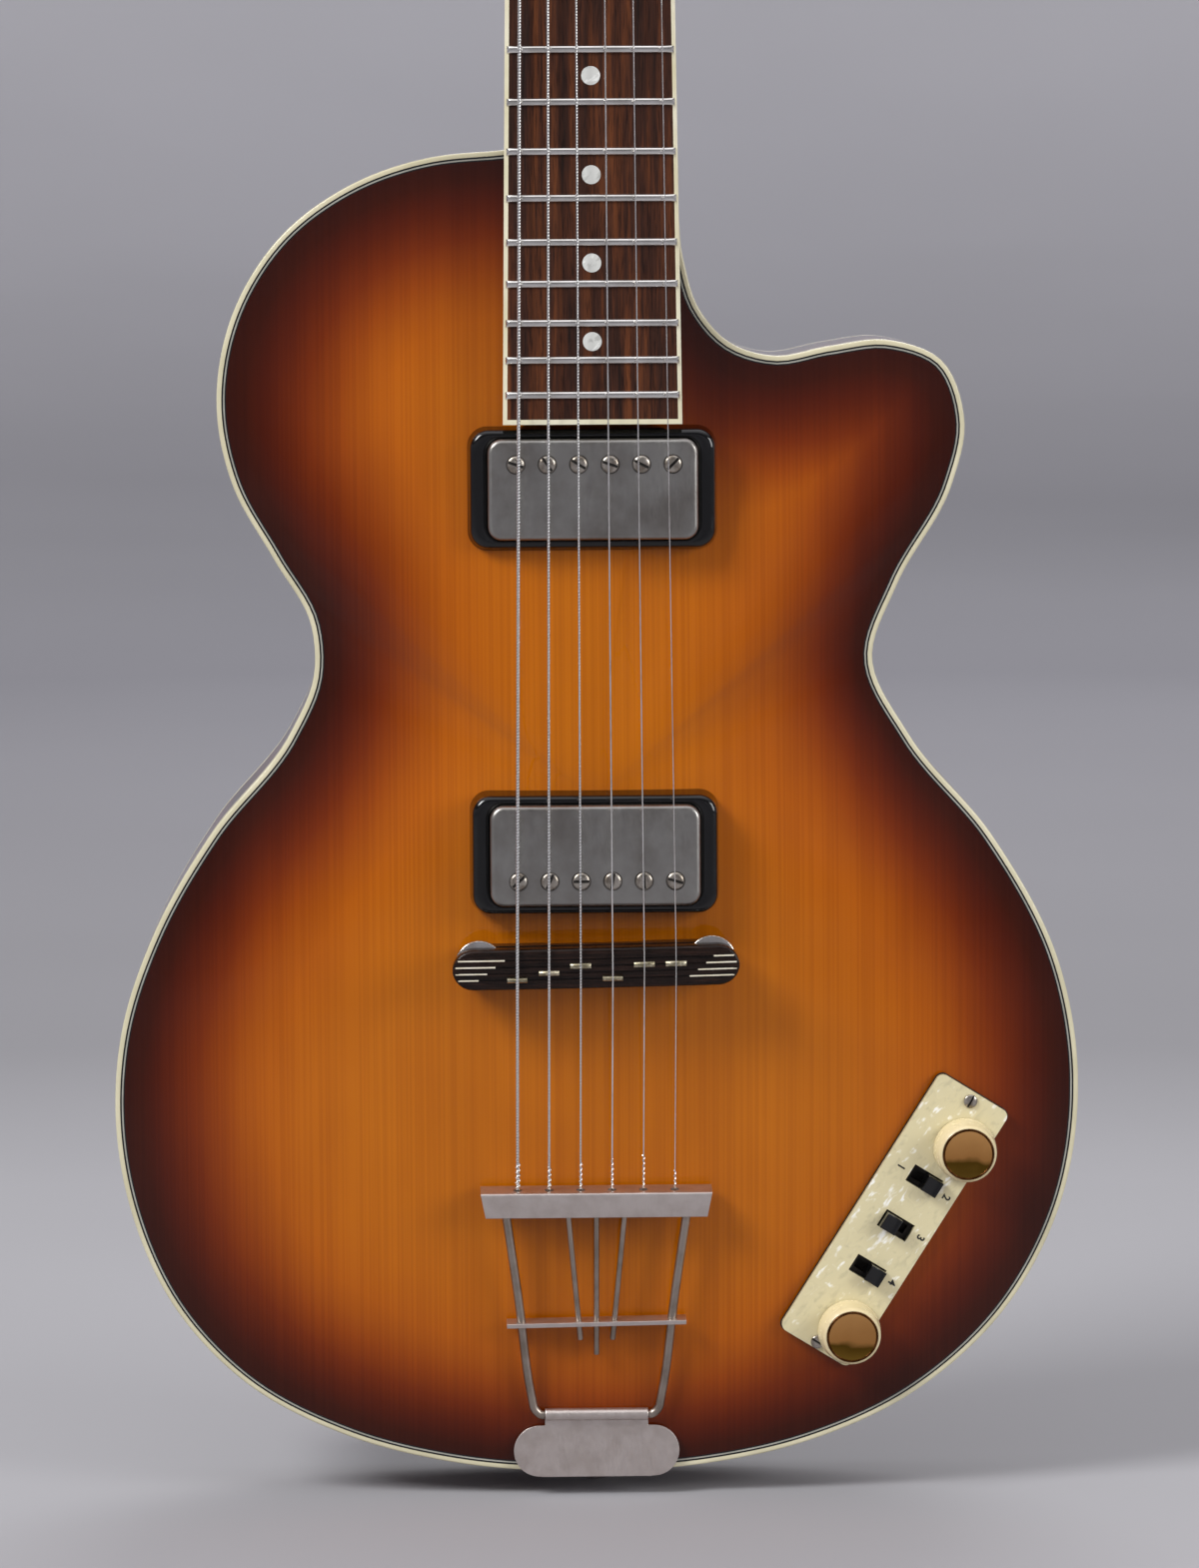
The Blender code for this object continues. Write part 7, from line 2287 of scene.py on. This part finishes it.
@dataclass
class Hardware:
    """Strap buttons and the output jack."""

    pin: float = 12.0
    pin_neck: float = 7.0
    pin_height: float = 5.5
    crown_start: float = asin(1 / 3)
    jack_nut: float = 12.0
    jack_bore: float = 6.35
    jack_thread: float = 4.4

    def end_pin(self) -> Shape:
        """The pin that the guitar stands on, its crown downwards.

        Returns:
            The closed mesh.
        """
        radius, neck, start = self.pin / 2, self.pin_neck / 2, self.crown_start
        crown, foot = -STAND, self.pin_height - STAND
        profile = [(0.0, 8.0), (2.5, 8.0), (2.5, foot), (neck + 1.5, foot), (neck + 0.4, foot - 0.7),
                   (neck, foot - 1.2)]
        profile += [(radius * y, crown + radius * 0.6 * (cos(start) - x)) for x, y in arc(start, 12, pi / 2)]
        return turned(profile + [(0.0, crown)], 40)

    def jack(self) -> Shape:
        """The jack's threaded neck with its washer and nut.

        Returns:
            All parts in one shape.
        """
        bore, thread, edge = self.jack_bore / 2, self.jack_thread, self.jack_thread + 0.05
        socket = rounded([(bore, 1.6), (thread, 1.6), (thread, -4.0), (7.0, -4.0), (7.0, -24.0), (bore, -24.0)],
                         (0.4, 0.4, 0.0, 0.0, 0.5, 0.0))
        hexagon = [(self.jack_nut / 2 * x, self.jack_nut / 2 * y) for x, y in arc(2 * pi, 6)[:-1]]
        nut = cut(slab(hexagon, 0.55, 1.4), [peg(edge, 0.0, 3.5)])
        washer = rounded([(edge, 0.05), (7.5, 0.05), (7.5, 0.5), (edge, 0.5)], (0.0, 0.0, 0.3, 0.0))
        return joined([turned(socket, 40, True), nut, turned(washer, 48, True)])

    def build(self) -> None:
        """Make the pins and the jack."""
        radius, neck = self.pin / 2, self.pin_neck / 2
        place_piece("end_pin_turned", self.end_pin(), NICKEL_SATIN, nodes=["end_pin"])
        low, high = edges_of("heel_button")
        tall = high.y - low.y
        corners = [(0.0, tall), (radius, tall), (radius, tall - 2.2), (neck, tall * 0.55), (neck, 1.0),
                   (neck + 1.5, 0.0), (0.0, 0.0)]
        button = turned(rounded(corners, (0.0, 1.2, 0.6, 0.8, 0.5, 0.0, 0.0)), 40)
        spot = turn_x(-90.0, 0.0, low.y, (low.z + high.z) / 2)
        place_piece("heel_strap_button", button, NICKEL_SATIN, spot, nodes=["heel_button"])
        low, high = edges_of("output_jack")
        spot = shift(high.x - 3.0, 0.0, (low.z + high.z) / 2) @ turn_about("Y", 90.0)
        place_piece("jack_socket", self.jack(), NICKEL_BRIGHT, spot, nodes=["output_jack"], soft=0.15)


@dataclass
class Insides:
    """Carried-over solids inside the body and neck, which only get their finish."""

    finishes: tuple[tuple[str, Finish], ...] = (
        ("neck_block", SPRUCE), ("tail_block", SPRUCE), ("top_lining", SPRUCE), ("back_lining", SPRUCE),
        ("tone_bar_bass", SPRUCE), ("tone_bar_treble", SPRUCE), ("truss_rod", DULL_STEEL_AND_SHADE), ("control_harness", LEAD),
    )

    def build(self) -> None:
        """Dress the carried-over solids."""
        for node, finish in self.finishes:
            for slot in frame["nodes"][node].material_slots:
                slot.material = finish.material()
            LOG.info("%s dressed as %s", node, finish.name)


@dataclass(frozen=True)
class StudioGrey(Finish):
    """Seamless paper: grey, dead matt, with painted light and shade: paler near the guitar like a pool of light, darker
    beyond, and paler again far up the sweep.
    """

    reach: float = 7.2
    # Painted light and shade: pale near the guitar, darker beyond, pale again far up the sweep
    stops: Stops = ((0.3, "A2A1A5"), (0.62, "9C9B9F"), (1.0, "87868A"), (2.9, "85848A"), (6.2, "CFCED3"),
                    (7.0, "E2E1E5"))

    def dress(self, paint: Paint) -> None:
        """Grey by distance from the guitar as painted light and shade, with faint clouds.

        Args:
            paint: The material in the making.
        """
        far = paint.add("ShaderNodeVectorMath", {"operation": "LENGTH", 0: paint.place}, "Value")
        share = paint.add("ShaderNodeMath", {"operation": "DIVIDE", 0: far, 1: self.reach})
        colour = paint.tint(share, [(spot / self.reach, code) for spot, code in self.stops])
        colour = paint.tint(paint.marks(600.0), ((0.3, "FAFAFA"), (0.7, "FFFFFF")), colour)
        paint.finish({"Base Color": colour, "Roughness": 0.9, "Specular IOR Level": 0.2})


@dataclass
class Studio:
    """Floor, lamps and camera."""

    camera_at: Triple = (-50.0, -2000.0, 412.9)
    yaw: float = 0.02637
    pitch: float = 0.08335
    roll: float = -0.00505
    lens: float = 149.7
    shift_y: float = -0.06
    # The sweep's radius and height in metres
    sweep: tuple[Pair, ...] = ((0.4, 0.0), (1.0, 0.0), (2.0, 0.0), (3.0, 0.02), (4.0, 0.07), (5.0, 0.16), (5.8, 0.3),
                               (6.4, 0.55), (6.8, 0.95), (7.0, 1.5), (7.1, 2.2))
    # Each softbox: its place and what it points at in metres, its side in metres and its watts
    lamps: tuple[tuple[str, Triple, Triple, float, float], ...] = (
        ("key_softbox", (-2.2, -1.7, 2.5), (0.0, 0.0, 0.3), 1.3, 105.0),
        ("fill_softbox", (2.9, -1.9, 1.3), (0.0, 0.0, 0.3), 1.6, 60.0),
        ("back_softbox", (0.6, 2.6, 2.2), (0.0, 0.0, 0.4), 1.8, 45.0),
    )
    air: str = "C9C8CC"

    def floor(self) -> None:
        """A wide round floor that sweeps up far behind the camera's every place."""
        geometry = bmesh.new()
        rings = [[geometry.verts.new((radius * x, radius * y, height)) for x, y in arc(2 * pi, 96)[:-1]]
                 for radius, height in self.sweep]
        geometry.faces.new(rings[0])
        for first, second in zip(rings, rings[1:]):
            for i, corner in enumerate(first):
                geometry.faces.new((first[i - 1], second[i - 1], second[i], corner))
        mesh = bpy.data.meshes.new("studio_sweep")
        geometry.to_mesh(mesh)
        geometry.free()
        mesh.shade_smooth()
        mesh.materials.append(StudioGrey("grey_paper_sweep").material())
        shown("studio_sweep", mesh)

    def light(self) -> None:
        """Hang the soft square lamps."""
        for name, place, aim, size, power in self.lamps:
            lamp = adjusted(bpy.data.lights.new(name, "AREA"), shape="SQUARE", size=size, energy=power)
            turn = (Vector(aim) - Vector(place)).to_track_quat("-Z", "Y").to_euler()
            adjusted(shown(name, lamp), location=place, rotation_euler=turn)

    def world(self) -> None:
        """An even grey sky that fills the shadows; reflections see it dark but for a ceiling panel."""
        world = adjusted(bpy.data.worlds.new("studio_air"), use_nodes=True)
        sky = Weave(world.node_tree)
        sky.tree.nodes.clear()
        height = sky.add("ShaderNodeSeparateXYZ", {0: sky.add("ShaderNodeTexCoord", out="Generated")}, "Z")
        span = {"From Min": 0.55, "From Max": 0.9, "To Min": 0.22, "To Max": 2.4, "Value": height}
        even_light, overhead = (sky.add("ShaderNodeBackground", {"Color": linear(self.air), "Strength": strength})
                                for strength in (0.8, sky.add("ShaderNodeMapRange", span)))
        ray = sky.add("ShaderNodeLightPath", out="Is Glossy Ray")
        both = sky.add("ShaderNodeMixShader", {0: ray, 1: even_light, 2: overhead})
        sky.add("ShaderNodeOutputWorld", {"Surface": both})
        bpy.context.scene.world = world

    def camera(self) -> None:
        """The camera at the photograph's place."""
        data = adjusted(bpy.data.cameras.new("photo_camera"), lens=self.lens, sensor_width=36.0, shift_y=self.shift_y,
                        clip_end=60.0)
        look = Vector((sin(self.yaw) * cos(self.pitch), cos(self.yaw) * cos(self.pitch), -sin(self.pitch)))
        side = look.cross(Vector((0.0, 0.0, 1.0))).normalized()
        up = side.cross(look)
        right = side * cos(self.roll) + up * sin(self.roll)
        top = up * cos(self.roll) - side * sin(self.roll)
        matrix = Matrix((right, top, -look)).transposed().to_4x4()
        matrix.translation = Vector(self.camera_at) * MM
        bpy.context.scene.camera = adjusted(shown("photo_camera", data), matrix_world=matrix)

    def build(self) -> None:
        """Set the stage."""
        self.floor()
        self.light()
        self.world()
        self.camera()
        bpy.context.scene.view_settings.view_transform = "Standard"


def main() -> None:
    """Build every piece of the guitar and the studio round it."""
    logging.basicConfig(level=logging.INFO, format="%(name)s: %(message)s")
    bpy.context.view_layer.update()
    shell, panel, bridge, tail, wood = Shell(), ControlPanel(), Bridge(), Tailpiece(), NeckWood()
    pickups = [Pickup("neck", 302.68, 1.0, 3), Pickup("bridge", 192.7, -1.0, 8)]
    shell.build([pickup.well() for pickup in pickups] + [panel.room()])
    for pickup in pickups:
        pickup.build(shell)
    Fingerboard().build()
    bridge.build(shell)
    tail.build()
    panel.build()
    wood.build(shell)
    Tuners(wood).build()
    StringSet(bridge, tail, wood).build()
    Hardware().build()
    Insides().build()
    Studio().build()


if __name__ == "__main__":
    main()
